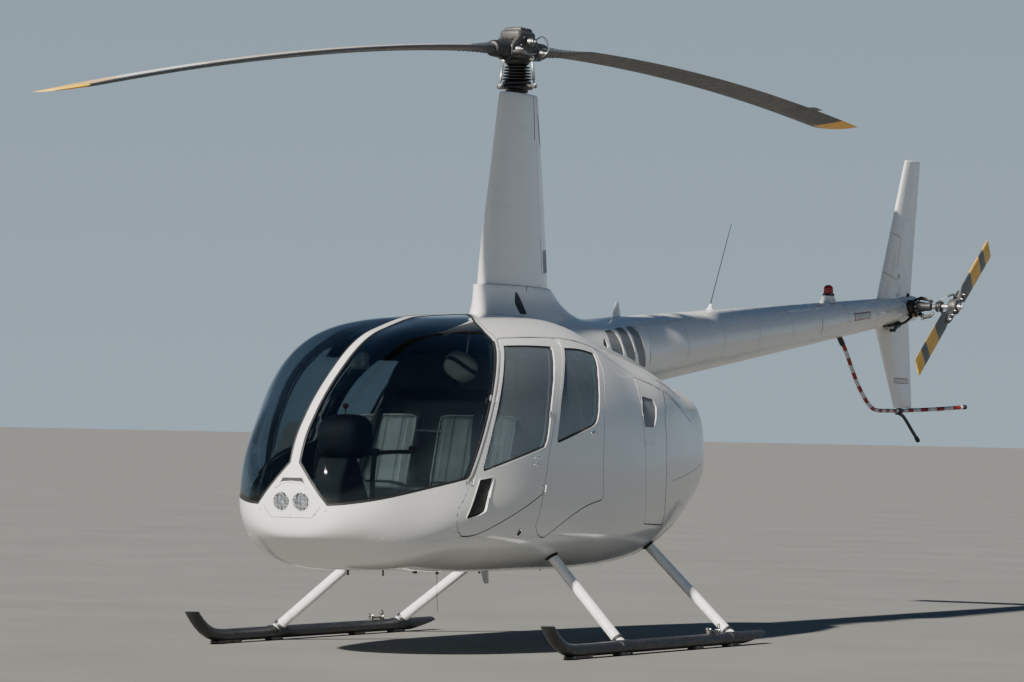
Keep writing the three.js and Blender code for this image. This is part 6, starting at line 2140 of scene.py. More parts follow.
def front(xz, depth=0.0):
    """Points of the nose's surface at given x, z, found along y."""
    q_ = np.asarray(xz, float).reshape(-1, 2)
    ys = np.linspace(-2519, -1900, 1240)
    out_ = []
    for x, z in q_:
        g_ = gauge(np.c_[np.full(len(ys), x), ys, np.full(len(ys), z)])
        out_.append((x, ys[int(np.argmax(g_ < 1))], z))
    p, n = snap(out_)
    return p - n * depth, n


P, N = front(q)
strip_on("light_panel_seam", P, N, 3.4, 0.7, DARK_GREY)
P, N = front([(-196, 775), (196, 775), (-140, 752), (140, 752), (0, 748), (0, 1002), (-95, 890), (95, 890)])
ride(studs("light_panel_screws", P, N, 4.6, RIVET, 1.2, 10))
# the scoop's opening is not cut: a thin black layer on the surface under the raised lip stands in for it (painted
# shade)
scoop = [(-84, 898), (-58, 944), (58, 944), (84, 898), (56, 921), (0, 924), (-56, 921)]
k = prism(rounded(scoop, 6, n=3), -2700, -2300, "xz")
o = layer(-0.9, 1.6, k, keep=False, fine=False)
surfaced(o, "nose_scoop_slot", BLACK, "airframe", -0.9, 1.6)
lip = along([(-92, 893), (-58, 917), (0, 921), (58, 917), (92, 893)], 8)
P, N = front(lip)
strip_on("nose_scoop_lip", P, N, 9, 5.5, WHITE)

# landing lights: bezel, faceted reflector, bulb, lens
# reflector: the bump gives it facets; the lighter and darker cells in its colour paint facet reflections (painted
# reflection)
REFL = Tree("lamp_reflector_painted_reflections")
_v = REFL.voronoi(44.0, stretch=(1, 0.4, 1), randomness=0.45)
REFL = REFL.done(REFL.ramp(_v, (0.2, (0.88, 0.88, 0.87)), (0.7, (0.62, 0.63, 0.65))), REFL.remap(_v, 0.1, 0.6, 0.16, 0.30), REFL.bump(_v, 1.0, 0.010), Metallic=1.0)
BULB = plain("bulb_glass", (0.85, 0.85, 0.8), (0.05, 0.1), bump=0.05)
lens_mat = Tree("lamp_lens")
lens_mat = lens_mat.done(lens_mat.ramp(lens_mat.noise(8.0, 3), (0.3, (0.92, 0.93, 0.94)), (0.7, (0.97, 0.97, 0.97))), 0.02, lens_mat.bump(lens_mat.noise(60.0, 2), 0.03, 0.0006), Transmission_Weight=1.0, IOR=1.45)
lamp_parts, lens_parts = [], []
for x in (-59, 59):
    y = front([(x, 818)])[0][0, 1]
    y0 = y + 4.5
    lamp_parts.append(lathe("reflector", [(0, 47.0), (0.4, 49.2), (14, 49.4), (66, 49.4), (66, 22), (64, 7), (60, 9), (52, 19), (42, 27.5), (30, 35), (18, 40.6), (8, 44.2), (1.6, 46.0)][::-1],
                            (x, y0, 818), (x, y0 + 66, 818), [REFL], 64))
    lamp_parts.append(rod("bulb", (x, y0 + 30, 818), (x, y0 + 60, 818), 6, BULB, 20, 3))
    # a pale disc set off the bulb's axis: a painted highlight standing in for a glint in the lamp
    lamp_parts.append(rod("painted_glint_disc", (x + 12, y0 + 14, 806), (x + 12, y0 + 22, 806), 14, BULB, 28, 4))
    lamp_parts.append(rod("bulb_cap", (x, y0 + 22, 818), (x, y0 + 31, 818), 11, SATIN_BLACK, 24, 2))
    for a in (math.radians(90), math.radians(210), math.radians(330)):
        lamp_parts.append(rod("spider", (x + 10 * math.cos(a), y0 + 26, 818 + 10 * math.sin(a)), (x + 44 * math.cos(a), y0 + 9, 818 + 44 * math.sin(a)), 1.6, SATIN_BLACK, 8))
    lens_parts.append(lathe("lens", [(0, 46.0), (-2.6, 40), (-5.0, 28), (-6.4, 12), (-6.8, 0)][::-1] + [(1.8, 46.0), (0.0, 38), (-2.4, 26), (-3.8, 12), (-4.2, 0)], (x, y0, 818), (x, y0 + 5, 818), [lens_mat], 64))
    ring = rod("ring", (x, y0 - 3.0, 818), (x, y0 + 2.2, 818), 53, WHITE, 64, 1.4)
    cut(ring, rod("b", (x, y0 - 20, 818), (x, y0 + 20, 818), 48.4, [INNER], 64))
    lamp_parts.append(ring)
o = join("landing_light_reflectors", lamp_parts)
ride(o, "airframe")
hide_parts("landing_light_unit")
for i, l_ in enumerate(lens_parts):
    l_.name = f"landing_light_lens_{'lr'[i]}"
    ride(l_)

# collar: leaf slot and a short seam line near its top
for sd, s in SIDES.items():
    bpy.context.view_layer.update()
    # the leaf slot is a thin black inlay on the surface, painted shade of the slot's opening
    inlay(f"collar_slot_{sd}", rf, [(-190, 1990), (-172, 1990), (-146, 1960), (-122, 1918), (-112, 1864), (-182, 1866), (-206, 1925)], s, SATIN_BLACK, 1.0, 3.0, 14, 8.0)
q = [surface_hit(rf, a, b, s_) for s_ in (1,) for a, b in ((-120, 1960),)]
P, N = zip(*[egg_wall(z, -60 - (1995 - z) * 0.1, COLLAR) for z in np.linspace(1995, 2026, 4)])
strip_on("collar_tick", P, N, 5, 0.8, BLACK)

# front door vents and cowl vents: recessed black duct and grey mesh behind the cut openings, with a lip
for sd, o in halves(layer(12, 34, prism(grow(VENT, -0.3), -1500, 1500), fine=False)).items():
    surfaced(o, f"door_vent_duct_{sd}", BLACK, f"front_door_{sd}", 12, 34)
lipo = cut(prism(grow(VENT, 7), -1500, 1500), prism(grow(VENT, 0.2), -1600, 1600))
for sd, o in halves(layer(-2.2, 0.6, lipo, fine=False)).items():
    surfaced(o, f"door_vent_lip_{sd}", WHITE, f"front_door_{sd}", -2.2, 0.6)
for sd, o in halves(layer(3.5, 5.5, prism(grow(MESH_VENT, -0.3), -1500, 1500), fine=False)).items():
    surfaced(o, f"cowl_vent_mesh_{sd}", MESH_GREY, f"cowl_door_{sd}", 3.5, 5.5)
for sd, o in halves(layer(22, 34, prism(grow(MESH_VENT, -0.3), -1500, 1500), fine=False)).items():
    surfaced(o, f"cowl_vent_back_{sd}", DARK_GREY, f"cowl_door_{sd}", 22, 34)
lipo = cut(prism(grow(MESH_VENT, 6), -1500, 1500), prism(grow(MESH_VENT, 0.2), -1600, 1600))
for sd, o in halves(layer(-1.0, 0.5, lipo, fine=False)).items():
    surfaced(o, f"cowl_vent_frame_{sd}", WHITE, f"cowl_door_{sd}", -1.0, 0.5)


# ------------------------------------------------------------------ cabin interior
def carpet():
    t = Tree("floor_carpet")
    n = t.noise(420.0, 3, 0.7)
    base = t.ramp(n, (0.3, (0.030, 0.031, 0.035)), (0.7, (0.075, 0.076, 0.082)))
    base = t.mix(t.remap(t.noise(5.0, 6, 0.7), 0.5, 0.72, 0, 0.45), base, (0.11, 0.10, 0.085))
    return t.done(base, 0.95, t.bump(n, 0.8, 0.003), Specular_IOR_Level=0.15)


def leather(name, c, worn, seams=()):
    """Grained leather, with sewn seam lines at the given distances from the centre line (mm)."""
    t = Tree(name)
    c = np.array(c)
    base = t.ramp(t.noise(9.0, 5, 0.6), (0.3, c * 0.88), (0.7, np.minimum(c * 1.08, 1)))
    base = t.mix(t.remap(t.noise(26.0, 6, 0.7), 0.52, 0.7, 0, 0.4), base, worn)
    grain = t.voronoi(620.0, "DISTANCE_TO_EDGE")
    b = t.bump(grain, 0.35, 0.0012, t.bump(t.noise(70.0, 4, 0.6), 0.18, 0.002))
    if len(seams):
        x = t.math("ABSOLUTE", t.axis("X"))
        line = None
        for s_ in seams:
            d = t.math("ABSOLUTE", t.math("SUBTRACT", x, s_ / 1000))
            line = d if line is None else t.math("MINIMUM", line, d)
        base = t.mix(t.remap(line, 0.0012, 0.0042, 0.62, 0), base, c * 0.16)
        b = t.bump(t.remap(line, 0.0, 0.006, 0, 1), 0.7, 0.0025, b)
    return t.done(base, t.remap(t.noise(30.0, 4, 0.6), 0.3, 0.7, 0.38, 0.55), b, Coat_Weight=0.08, Coat_Roughness=0.3)


CARPET = carpet()
LEATHER = leather("seat_leather_grey", (0.33, 0.345, 0.335), (0.26, 0.26, 0.25), (157, 163, 253, 259, 353, 359, 449, 455))
# the grey seat leather again, made near-black for the rear seats and bulkhead pads: painted shade of the rear cabin
LEATHER_SHADE = leather("seat_leather_painted_shade", (0.035, 0.036, 0.038), (0.07, 0.068, 0.065))
PIPING = leather("seat_piping", (0.56, 0.56, 0.55), (0.42, 0.41, 0.39))
WEB = Tree("belt_webbing")
WEB = WEB.done(WEB.ramp(WEB.noise(90.0, 3), (0.3, (0.022, 0.022, 0.024)), (0.7, (0.045, 0.045, 0.048))), 0.8, WEB.bump(WEB.wave(170.0, "DIAGONAL"), 0.6, 0.001))
TRIM = plain("cabin_trim_plastic", (0.018, 0.019, 0.021), (0.45, 0.65), grain=500.0, bump=0.3, wear=(0.05, 0.05, 0.052))
DIAL = plain("dial_face", (0.010, 0.010, 0.011), (0.35, 0.5), bump=0.05)
MARK = plain("dial_marks", (0.75, 0.75, 0.70), (0.4, 0.6), bump=0.05)
KNOB_RED = plain("knob_red", (0.42, 0.02, 0.018), (0.25, 0.4), bump=0.08)
# headset shell: its own pale cream, made brighter as painted light for the sun on it
PALE_SHELL = plain("pale_shell", (0.72, 0.69, 0.60), (0.25, 0.4), bump=0.06)


def slab(name, o, mats, deg=30):
    o.name = name
    o.data.materials.clear()
    for m in mats if isinstance(mats, (list, tuple)) else [mats]:
        o.data.materials.append(m)
    o.data.polygons.foreach_set("use_smooth", [True] * len(o.data.polygons))
    return ride(sharp(o, deg))


def inside(o, d):
    return meet(o, body_solid(d, 90, 72))


o = slab("cabin_carpet", inside(box(-900, 900, -2200, -300.5, 541, 560), 37), CARPET)
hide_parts("cabin_floor")
for x in (-372, 372):
    slab(f"floor_mat_{'l' if x > 0 else 'r'}", inside(prism(rounded([(x - 190, -2060), (x + 190, -2060), (x + 210, -1530), (x - 210, -1530)], 30), 559.5, 565, "xy"), 60), BLACK)
bk = inside(box(-900, 900, -300, -276, 330, 1900), 37)
bk = slab("rear_bulkhead_panel", bk, INNER)
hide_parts("rear_bulkhead")
for i, (x0, x1) in enumerate(((-560, -200), (-180, 180), (200, 560))):
    slab(f"bulkhead_pad_{i}", inside(prism(rounded([(x0, 1440), (x1, 1440), (x1 * (0.93 if x1 > 300 else 1), 1640), (x0 * (0.93 if x0 < -300 else 1), 1640)], 26), -316, -299, "xz"), 60), LEATHER_SHADE)
# headliner frame and roof bow seen through the glass
slab("headliner", inside(cut(box(-600, 600, -1180, -302, 1600, 1900), body_solid(62, 70, 64)), 44), INNER)

# console: pedestal and instrument pod
ped = prism(rounded([(-2146, 561), (-1802, 561), (-1802, 798), (-1962, 1048), (-2068, 1048), (-2146, 904)], 20, n=4), -94, 94, "yz", "pedestal", [TRIM])
bv = ped.modifiers.new("b", "BEVEL")
bv.width, bv.segments, bv.limit_method, bv.angle_limit = 0.016, 4, "ANGLE", 0.9
ped = slab("console_pedestal", inside(applied(ped), 44), TRIM, 40)
rings = []
for y, k, dz in ((-2068, 0.30, -16), (-2060, 0.58, -12), (-2040, 0.80, -7), (-2010, 0.93, -3), (-1970, 0.99, 0), (-1930, 1.0, 2), (-1896, 0.985, 2), (-1888, 0.95, 2)):
    t_ = np.linspace(0, 2 * math.pi, 72, endpoint=False)
    c_, s_ = np.cos(t_), np.sin(t_)
    n_ = 3.4
    rings.append(np.c_[144 * k * np.sign(c_) * np.abs(c_) ** (2 / n_) * (1 - 0.10 * np.maximum(s_, 0)), np.full(72, y), 1158 + dz + np.where(s_ > 0, 122 * k, 120 * k) * np.sign(s_) * np.abs(s_) ** (2 / n_)])
pod = loft("pod", rings, TRIM)
cut(pod, prism(rounded([(-122, 1062), (122, 1062), (112, 1262), (-112, 1262)], 30), -1900, -1800, "xz"))
pod = slab("console_pod", inside(pod, 40), TRIM, 40)
pod2 = join("instrument_console_body", [ped, pod])
ride(pod2, "airframe")
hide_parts("instrument_console")
dl = []
for x, z, r in ((-70, 1218, 30), (0, 1222, 30), (70, 1218, 30), (-74, 1150, 30), (0, 1152, 30), (74, 1150, 30), (-74, 1090, 22), (-24, 1090, 22), (26, 1090, 22), (76, 1090, 22)):
    ring = lathe("ring", [(0, r), (3, r), (4, r - 2), (3, r - 5), (0.5, r - 6)], (x, -1903, z), (x, -1895, z), [SATIN_BLACK], 40)
    dl += [ring, rod("dial", (x, -1904, z), (x, -1901.6, z), r - 5, DIAL, 36)]
    for a in np.linspace(-2.2, 2.2, 9):
        p = np.array([x + (r - 8) * math.sin(a), -1901.2, z + (r - 8) * math.cos(a)])
        dl.append(rbox("tick", p, (1.6, 0.8, 5.5), MARK, 0.2, 1, [(math.cos(a), 0, -math.sin(a)), (0, 1, 0), (math.sin(a), 0, math.cos(a))]))
    a = rng.uniform(-1.6, 1.6)
    dl.append(rbox("needle", (x + r * 0.28 * math.sin(a), -1900.6, z + r * 0.28 * math.cos(a)), (1.8, 0.8, r * 0.6), MARK, 0.2, 1, [(math.cos(a), 0, -math.sin(a)), (0, 1, 0), (math.sin(a), 0, math.cos(a))]))
ride(join("instrument_dials", dl))
rd = []
_t, _n = np.array([0, 160, -250.0]) / np.hypot(160, 250), np.array([0, 250, 160.0]) / np.hypot(160, 250)
for i, u in enumerate((40, 100, 160, 220)):
    c_ = np.array([0, -1962, 1048.0]) + _t * u
    ax_ = [(1, 0, 0), -_t, _n]
    rd.append(rbox("radio", c_ + _n * 4, (156, 46, 16), SATIN_BLACK, 3, 2, ax_))
    rd.append(rbox("screen", c_ + _n * 12.4 + np.array([-18.0, 0, 0]), (84, 22, 2), DIAL, 0.8, 1, ax_))
    for x in (-64, 44, 64):
        rd.append(rod("knob", c_ + _n * 10 + np.array([x, 0, 0.0]), c_ + _n * 26 + np.array([x, 0, 0.0]), 8, TRIM, 24, 2))
ride(join("console_radios", rd))
ride(join("console_top_knob", [rod("post", (2, -1950, 1272), (2, -1950, 1316), 5, STEEL, 16, 1), lathe("ball", [(0, 6), (3, 13), (10, 17), (18, 17), (25, 12), (28, 0)], (2, -1950, 1310), (2, -1950, 1340), [KNOB_RED], 32)]))
# compass on the centre strip, with its bracket
cp = [rbox("compass", (0, -1797, 1566), (84, 92, 92), plain("compass_case", (0.26, 0.26, 0.255), (0.22, 0.35)), 22, 5), rbox("compass_face", (0, -1749, 1562), (60, 6, 52), DIAL, 8, 3), rod("compass_arm", (0, -1800, 1606), (0, -1816, 1640), 6, SATIN_BLACK, 16, 1)]
ride(join("compass", cp))

# T-bar cyclic with its boot, grips and switches
cy = [tube("stick", spline([(0, -1600, 566), (0, -1616, 760), (0, -1616, 960), (0, -1600, 1080)], 6), 14, SATIN_BLACK, 28),
      tube("bar", spline([(-250, -1640, 1085), (-120, -1618, 1082), (0, -1600, 1075), (120, -1618, 1082), (250, -1640, 1085)], 6), 11, SATIN_BLACK, 24)]
for s in (1, -1):
    g_ = [(s * 250, -1640, 1098), (s * 255, -1644, 1060), (s * 258, -1655, 1000), (s * 262, -1660, 930)]
    cy.append(tube("grip", spline(g_, 6), [15, 16, 17, 17.5, 16.5, 15.5, 16, 17.5, 17, 16, 16.5, 17.5, 17, 16.5, 16.5, 17, 17.5, 18, 17][:19], TRIM, 28))
    cy.append(rbox("grip_head", (s * 250, -1642, 1100), (40, 44, 34), TRIM, 11, 4))
    cy.append(rod("trigger", (s * 252, -1664, 1092), (s * 252, -1676, 1088), 6, KNOB_RED, 18, 1.5))
cy.append(lathe("hub", [(0, 12), (4, 22), (30, 24), (46, 22), (50, 12)], (-25, -1600, 1077), (25, -1600, 1077), [SATIN_BLACK], 32))
o = join("cyclic_control_body", cy)
ride(o, "airframe")
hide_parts("cyclic_control")
prof = []
for i in range(9):
    prof += [(i * 11, 62 - i * 5.2), (i * 11 + 5.5, 54 - i * 5.2)]
ride(lathe("cyclic_boot", prof, (0, -1599, 558), (0, -1610, 660), [BLACK], 36))
# pedals on both sides
for sx in (-1, 1):
    pd = []
    for dx in (-95, 95):
        x = sx * 330 + dx
        pd.append(tube("arm", [(x, -2010, 590), (x, -2055, 650), (x, -2040, 722)], 9, DARK_GREY, 16))
        pd.append(rbox("plate", (x, -2030, 745), (86, 12, 92), DARK_GREY, 5, 3, [(1, 0, 0), (0, 0.96, -0.26), (0, 0.26, 0.96)]))
        for k_ in range(4):
            pd.append(rbox("tread", (x, -2022 + k_ * 4 - 4, 714 + k_ * 20), (74, 4, 8), BLACK, 1.5, 2, [(1, 0, 0), (0, 0.96, -0.26), (0, 0.26, 0.96)]))
    pd.append(rod("shaft", (sx * 330 - 130, -2010, 586), (sx * 330 + 130, -2010, 586), 13, DARK_GREY, 24, 2))
    ride(join(f"pedals_{'left' if sx > 0 else 'right'}", pd))
# collective levers
for sx in (-1, 1):
    ride(join(f"collective_{'left' if sx > 0 else 'right'}", [tube("lever", [(sx * 598, -1080, 700), (sx * 602, -1220, 756), (sx * 604, -1400, 842)], 11, SATIN_BLACK, 20),
                                                            tube("handle", [(sx * 604, -1360, 823), (sx * 605, -1480, 880)], [18, 17], TRIM, 28), rbox("switch_box", (sx * 605, -1496, 888), (44, 50, 38), TRIM, 10, 3)]))

# seat bases
FRONT_BASE = [[-1500, 560.3], [-1020, 560.3], [-1020, 789], [-1480, 809]]
fb = []
for s in (1, -1):
    k = prism(rounded(FRONT_BASE, 22, n=4), 71 if s > 0 else -559, 559 if s > 0 else -71)
    bv = k.modifiers.new("b", "BEVEL")
    bv.width, bv.segments, bv.limit_method, bv.angle_limit = 0.012, 3, "ANGLE", 0.8
    fb.append(applied(k))
fb.append(box(-79, 79, -1179, -1031, 560.3, 759))
fbo = join("front_seat_box", fb)
fbo.data.materials.clear()
fbo.data.materials.append(TRIM)
fbo.data.polygons.foreach_set("use_smooth", [True] * len(fbo.data.polygons))
ride(sharp(fbo, 38), "airframe")
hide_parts("front_seat_base")
k = prism(rounded([[-790, 560.5], [-302, 560.5], [-302, 849], [-790, 849]], 20, n=4), -599, 599)
bv = k.modifiers.new("b", "BEVEL")
bv.width, bv.segments, bv.limit_method, bv.angle_limit = 0.012, 3, "ANGLE", 0.8
o = slab("rear_seat_box", inside(applied(k), 46), TRIM, 38)
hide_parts("rear_seat_base")


# seats: inflated covers pinned along their sewn lines
def pad(name, poly, x0, x1, lines, cross, voxel, puff=0.020, pressure=4.0, mats=None, face=None):
    k = prism(rounded(poly, 24, n=4), x0 + 6, x1 - 6)
    m = k.modifiers.new("v", "REMESH")
    m.mode, m.voxel_size, m.use_smooth_shade = "VOXEL", voxel, True
    m2 = k.modifiers.new("s", "SMOOTH")
    m2.factor, m2.iterations = 0.5, 3
    applied(k)
    k.name = name
    me = k.data
    co = np.zeros(len(me.vertices) * 3, np.float32)
    me.vertices.foreach_get("co", co)
    co = co.reshape(-1, 3).astype(float)
    mm = co * 1000 + (0, CENTRE_Y, 0)
    no = np.zeros(len(me.vertices) * 3, np.float32)
    me.vertices.foreach_get("normal", no)
    no = no.reshape(-1, 3).astype(float)
    d = np.full(len(co), 1e9)
    for x in lines:
        d = np.minimum(d, np.abs(mm[:, 0] - x))
    for a, b in cross:
        # a sewn line across the pad, through two points of the section
        a, b = np.array(a, float), np.array(b, float)
        t_ = (b - a) / np.linalg.norm(b - a)
        q = mm[:, 1:] - a
        d = np.minimum(d, np.abs(q[:, 0] * t_[1] - q[:, 1] * t_[0]))
    w = voxel * 1000 * 0.62
    onface = np.ones(len(co), bool) if face is None else (no[:, 1:] @ np.array(face)) > 0.35
    seam = (d < w) & onface
    sidew = (np.abs(mm[:, 0] - x0) < 14) | (np.abs(mm[:, 0] - x1) < 14)
    flat = ~onface
    pin = seam | sidew | flat
    start = co - no * np.where(seam & ~sidew, 0.0045, 0.0)[:, None]
    me.vertices.foreach_set("co", start.astype(np.float32).ravel())
    me.update()
    vg = k.vertex_groups.new(name="pin")
    vg.add([int(i) for i in np.nonzero(pin)[0]], 1.0, "REPLACE")
    c = k.modifiers.new("c", "CLOTH")
    c.settings.quality = 5
    c.settings.mass = 0.3
    c.settings.tension_stiffness = c.settings.compression_stiffness = 12
    c.settings.shear_stiffness = 6
    c.settings.bending_stiffness = 0.6
    c.settings.use_pressure = True
    c.settings.uniform_pressure_force = pressure
    c.settings.vertex_group_mass = "pin"
    c.settings.effector_weights.gravity = 0
    c.point_cache.frame_start, c.point_cache.frame_end = 1, 22
    sc = bpy.context.scene
    for f in range(1, 19):
        sc.frame_set(f)
    applied(k)
    sc.frame_set(1)
    me = k.data
    fin = np.zeros(len(me.vertices) * 3, np.float32)
    me.vertices.foreach_get("co", fin)
    fin = fin.reshape(-1, 3).astype(float)
    mv = fin - start
    ln = np.linalg.norm(mv, axis=1, keepdims=True)
    fin = start + mv * np.minimum(1, puff / np.maximum(ln, 1e-9))
    me.vertices.foreach_set("co", fin.astype(np.float32).ravel())
    me.update()
    m = k.modifiers.new("sd", "SUBSURF")
    m.levels = m.render_levels = 1
    applied(k)
    k.vertex_groups.clear()
    k.data.materials.clear()
    for m_ in mats or [LEATHER]:
        k.data.materials.append(m_)
    k.data.polygons.foreach_set("use_smooth", [True] * len(k.data.polygons))
    return k


def mirrored(o, name):
    c = copy(o, name)
    co = np.zeros(len(c.data.vertices) * 3, np.float32)
    c.data.vertices.foreach_get("co", co)
    co = co.reshape(-1, 3)
    co[:, 0] *= -1
    c.data.vertices.foreach_set("co", co.ravel())
    c.data.flip_normals()
    return c


COVER = [LEATHER]
fb_ = pad("front_seat_cushion_left", [[-1496, 818], [-1128, 802], [-1124, 884], [-1470, 888], [-1494, 872]], 70, 542, [112, 160, 208, 256, 306, 356, 404, 452, 500], [], 0.0115, 0.018, mats=COVER, face=(0.0, 1.0))
bk_ = pad("front_seat_back_left", [[-1036, 812], [-922, 1262], [-938, 1284], [-990, 1275], [-1098, 906], [-1112, 812]], 70, 542, [122, 170, 218, 264, 306, 348, 394, 442, 490],
          [((-1080, 1010), (-1010, 990)), ((-1046, 1136), (-970, 1116))], 0.012, 0.018, mats=COVER, face=(-0.96, 0.27))
for a in (fb_, bk_):
    b = mirrored(a, a.name.replace("left", "right"))
    for o in (a, b):
        ride(o, "airframe")
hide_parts("front_seat_pad_left")
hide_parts("front_seat_pad_right")
# rear seats in the near-black leather, painted shade of the rear cabin
rb_ = pad("rear_seat_cushion", [[-786, 856], [-448, 856], [-442, 928], [-770, 930], [-788, 914]], -585, 585, [-470, -362, -254, -150, -52, 52, 150, 254, 362, 470], [], 0.0145, 0.018, mats=[LEATHER_SHADE], face=(0.0, 1.0))
rk_ = pad("rear_seat_back", [[-430, 858], [-308, 858], [-308, 1388], [-346, 1400], [-386, 1380], [-426, 940]], -585, 585, [-470, -362, -254, -150, -52, 52, 150, 254, 362, 470],
          [((-420, 1120), (-330, 1120))], 0.0145, 0.018, mats=[LEATHER_SHADE], face=(-1.0, 0.05))
for o in (rb_, rk_):
    ride(o, "airframe")
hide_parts("rear_seat_pad")

# piping round the front faces
for s in (1, -1):
    nm = "left" if s > 0 else "right"
    sx0, sx1 = 76 * s, 536 * s
    def pipe(name, pts, r=4.0):
        return ride(tube(name, spline(pts, 5), r, PIPING, 12, up=(0, 1, 0.1)))
    pipe(f"front_back_piping_{nm}", [(sx0, -1108, 880), (sx0, -1098, 950), (sx0, -1046, 1120), (sx0, -1002, 1252), (sx0 + 22 * s, -990, 1282), (sx0 + 120 * s, -988, 1286), (sx1 - 120 * s, -988, 1286),
                                      (sx1 - 22 * s, -990, 1282), (sx1, -1002, 1252), (sx1, -1046, 1120), (sx1, -1098, 950), (sx1, -1108, 880)])
    for x in (118 * s, 494 * s):
        pipe(f"front_back_bolster_{nm}_{abs(x)}", [(x, -1120, 905), (x, -1113, 945), (x, -1060, 1120), (x, -1014, 1262)], 3.4)
    pipe(f"front_cushion_piping_{nm}", [(sx0, -1130, 886), (sx0, -1300, 888), (sx0, -1470, 890), (sx0 + 20 * s, -1492, 884), (sx1 - 20 * s, -1492, 884), (sx1, -1470, 890), (sx1, -1300, 888), (sx1, -1130, 886)])
    # lap and shoulder belts with buckle
    bel = []

    def strap(pts, w=46, th=2.4, across=(1, 0, 0)):
        q = spline(pts, 8)
        rings = []
        for i in range(len(q)):
            dd = q[min(i + 1, len(q) - 1)] - q[max(i - 1, 0)]
            dd /= np.linalg.norm(dd)
            a_ = np.array(across, float)
            a_ = a_ - dd * (a_ @ dd)
            a_ /= np.linalg.norm(a_)
            n_ = np.cross(dd, a_)
            rings.append(np.array([q[i] - a_ * w / 2 - n_ * th / 2, q[i] + a_ * w / 2 - n_ * th / 2, q[i] + a_ * w / 2 + n_ * th / 2, q[i] - a_ * w / 2 + n_ * th / 2]))
        return sharp(loft("strap", rings, WEB), 40)
    bel.append(strap([(306 * s, -945, 1318), (306 * s, -985, 1306), (310 * s, -1030, 1236), (330 * s, -1086, 1062), (360 * s, -1140, 930), (380 * s, -1200, 915)]))
    bel.append(strap([(570 * s, -1100, 800), (556 * s, -1130, 884), (500 * s, -1180, 914), (400 * s, -1215, 918)], across=(0, 1, 0.2)))
    bel.append(strap([(46 * s, -1100, 800), (60 * s, -1130, 884), (120 * s, -1180, 914), (220 * s, -1215, 918), (330 * s, -1222, 918)], across=(0, 1, 0.2)))
    bel.append(rbox("buckle", (366 * s, -1218, 922), (74, 50, 18), STEEL, 5, 3))
    bel.append(rbox("buckle_tab", (366 * s, -1218, 931), (40, 30, 6), KNOB_RED, 3, 2))
    ride(join(f"front_belts_{nm}", bel))
for i, x in enumerate((-400, 0, 400)):
    bel = [rbox("buckle", (x + 40, -640, 946), (66, 46, 16), STEEL, 5, 3)]

    def strap2(pts, w=46, th=2.4, across=(0, 1, 0.2)):
        q = spline(pts, 8)
        rings = []
        for j in range(len(q)):
            dd = q[min(j + 1, len(q) - 1)] - q[max(j - 1, 0)]
            dd /= np.linalg.norm(dd)
            a_ = np.array(across, float)
            a_ = a_ - dd * (a_ @ dd)
            a_ /= np.linalg.norm(a_)
            n_ = np.cross(dd, a_)
            rings.append(np.array([q[j] - a_ * w / 2 - n_ * th / 2, q[j] + a_ * w / 2 - n_ * th / 2, q[j] + a_ * w / 2 + n_ * th / 2, q[j] - a_ * w / 2 + n_ * th / 2]))
        return sharp(loft("strap", rings, WEB), 40)
    bel.append(strap2([(x - 120, -440, 900), (x - 90, -520, 946), (x - 30, -620, 948), (x + 20, -640, 946)]))
    bel.append(strap2([(x + 130, -440, 900), (x + 110, -520, 946), (x + 80, -610, 948), (x + 60, -640, 946)]))
    ride(join(f"rear_belts_{i}", bel))

# headset hung from the roof between the front seats, with its band, mic boom and hook
hs = [lathe("cup", [(0, 40), (4, 62), (26, 84), (64, 96), (100, 92), (128, 72), (142, 40), (146, 0)], (150, -1000, 1500), (236, -988, 1614), [PALE_SHELL], 44),
      lathe("cup_pad", [(0, 34), (4, 52), (20, 58), (34, 52), (38, 30)], (138, -1002, 1484), (160, -999, 1512), [BLACK], 36),
      tube("band", spline([(140, -1004, 1560), (160, -1062, 1600), (206, -1082, 1590), (262, -1058, 1548), (286, -1000, 1520)], 8), 11, SATIN_BLACK, 16, squash=(1, 1.6)),
      tube("mic_boom", spline([(150, -1040, 1500), (110, -1090, 1486), (70, -1110, 1520), (50, -1110, 1560)], 8), 4, SATIN_BLACK, 12),
      rod("hook", (220, -990, 1600), (236, -984, 1744), 5, STEEL, 12, 1)]
ride(join("headset", hs))
# light rail between the seats, on two posts
ride(rod("seat_rail", (-84, -1004, 1197), (150, -1004, 1199), 6, STEEL, 16, 1))
ride(join("seat_rail_posts", [rod("post", (x, -1004, 1197), (x * 1.05, -988, 1130), 5, STEEL, 14, 1) for x in (-80, 146)]))

# engine bay and exhaust
eb = []
k = rbox("engine", (0, 830, 895), (478, 898, 508), HUB_DARK, 18, 3)
eb.append(k)
for i in range(7):
    eb.append(rbox("rib", (0, 440 + i * 130, 895), (484, 22, 470), ALU, 6, 2))
for s in (1, -1):
    eb.append(tube("hose", spline([(s * 243, 500, 1010), (s * 262, 620, 1060), (s * 256, 760, 980), (s * 244, 860, 1000)], 6), 14, BLACK, 16))
    eb.append(rod("filter", (s * 250, 620, 800), (s * 250, 720, 800), 34, ALU, 28, 4))
    eb.append(rbox("plate", (s * 243, 700, 900), (8, 220, 150), DARK_GREY, 4, 2))
o = join("engine_body", eb)
ride(o, "airframe")
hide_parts("engine_block")
BURNT = metal("heat_tinted_steel", (0.30, 0.26, 0.23), (0.35, 0.6), (0.05, 0.035, 0.03), 0.8)
ax0, ax1 = np.array([0, 1600, 1030.0]), np.array([0, 2010, 948.0])
Lx = float(np.linalg.norm(ax1 - ax0))
prof = [(0, 94), (0, 99), (30, 99.6), (Lx - 60, 99.6), (Lx - 40, 97.5), (Lx - 12, 98.5), (Lx - 3, 100), (Lx, 99), (Lx, 95), (Lx - 12, 94), (30, 94)]
V, F = [], []
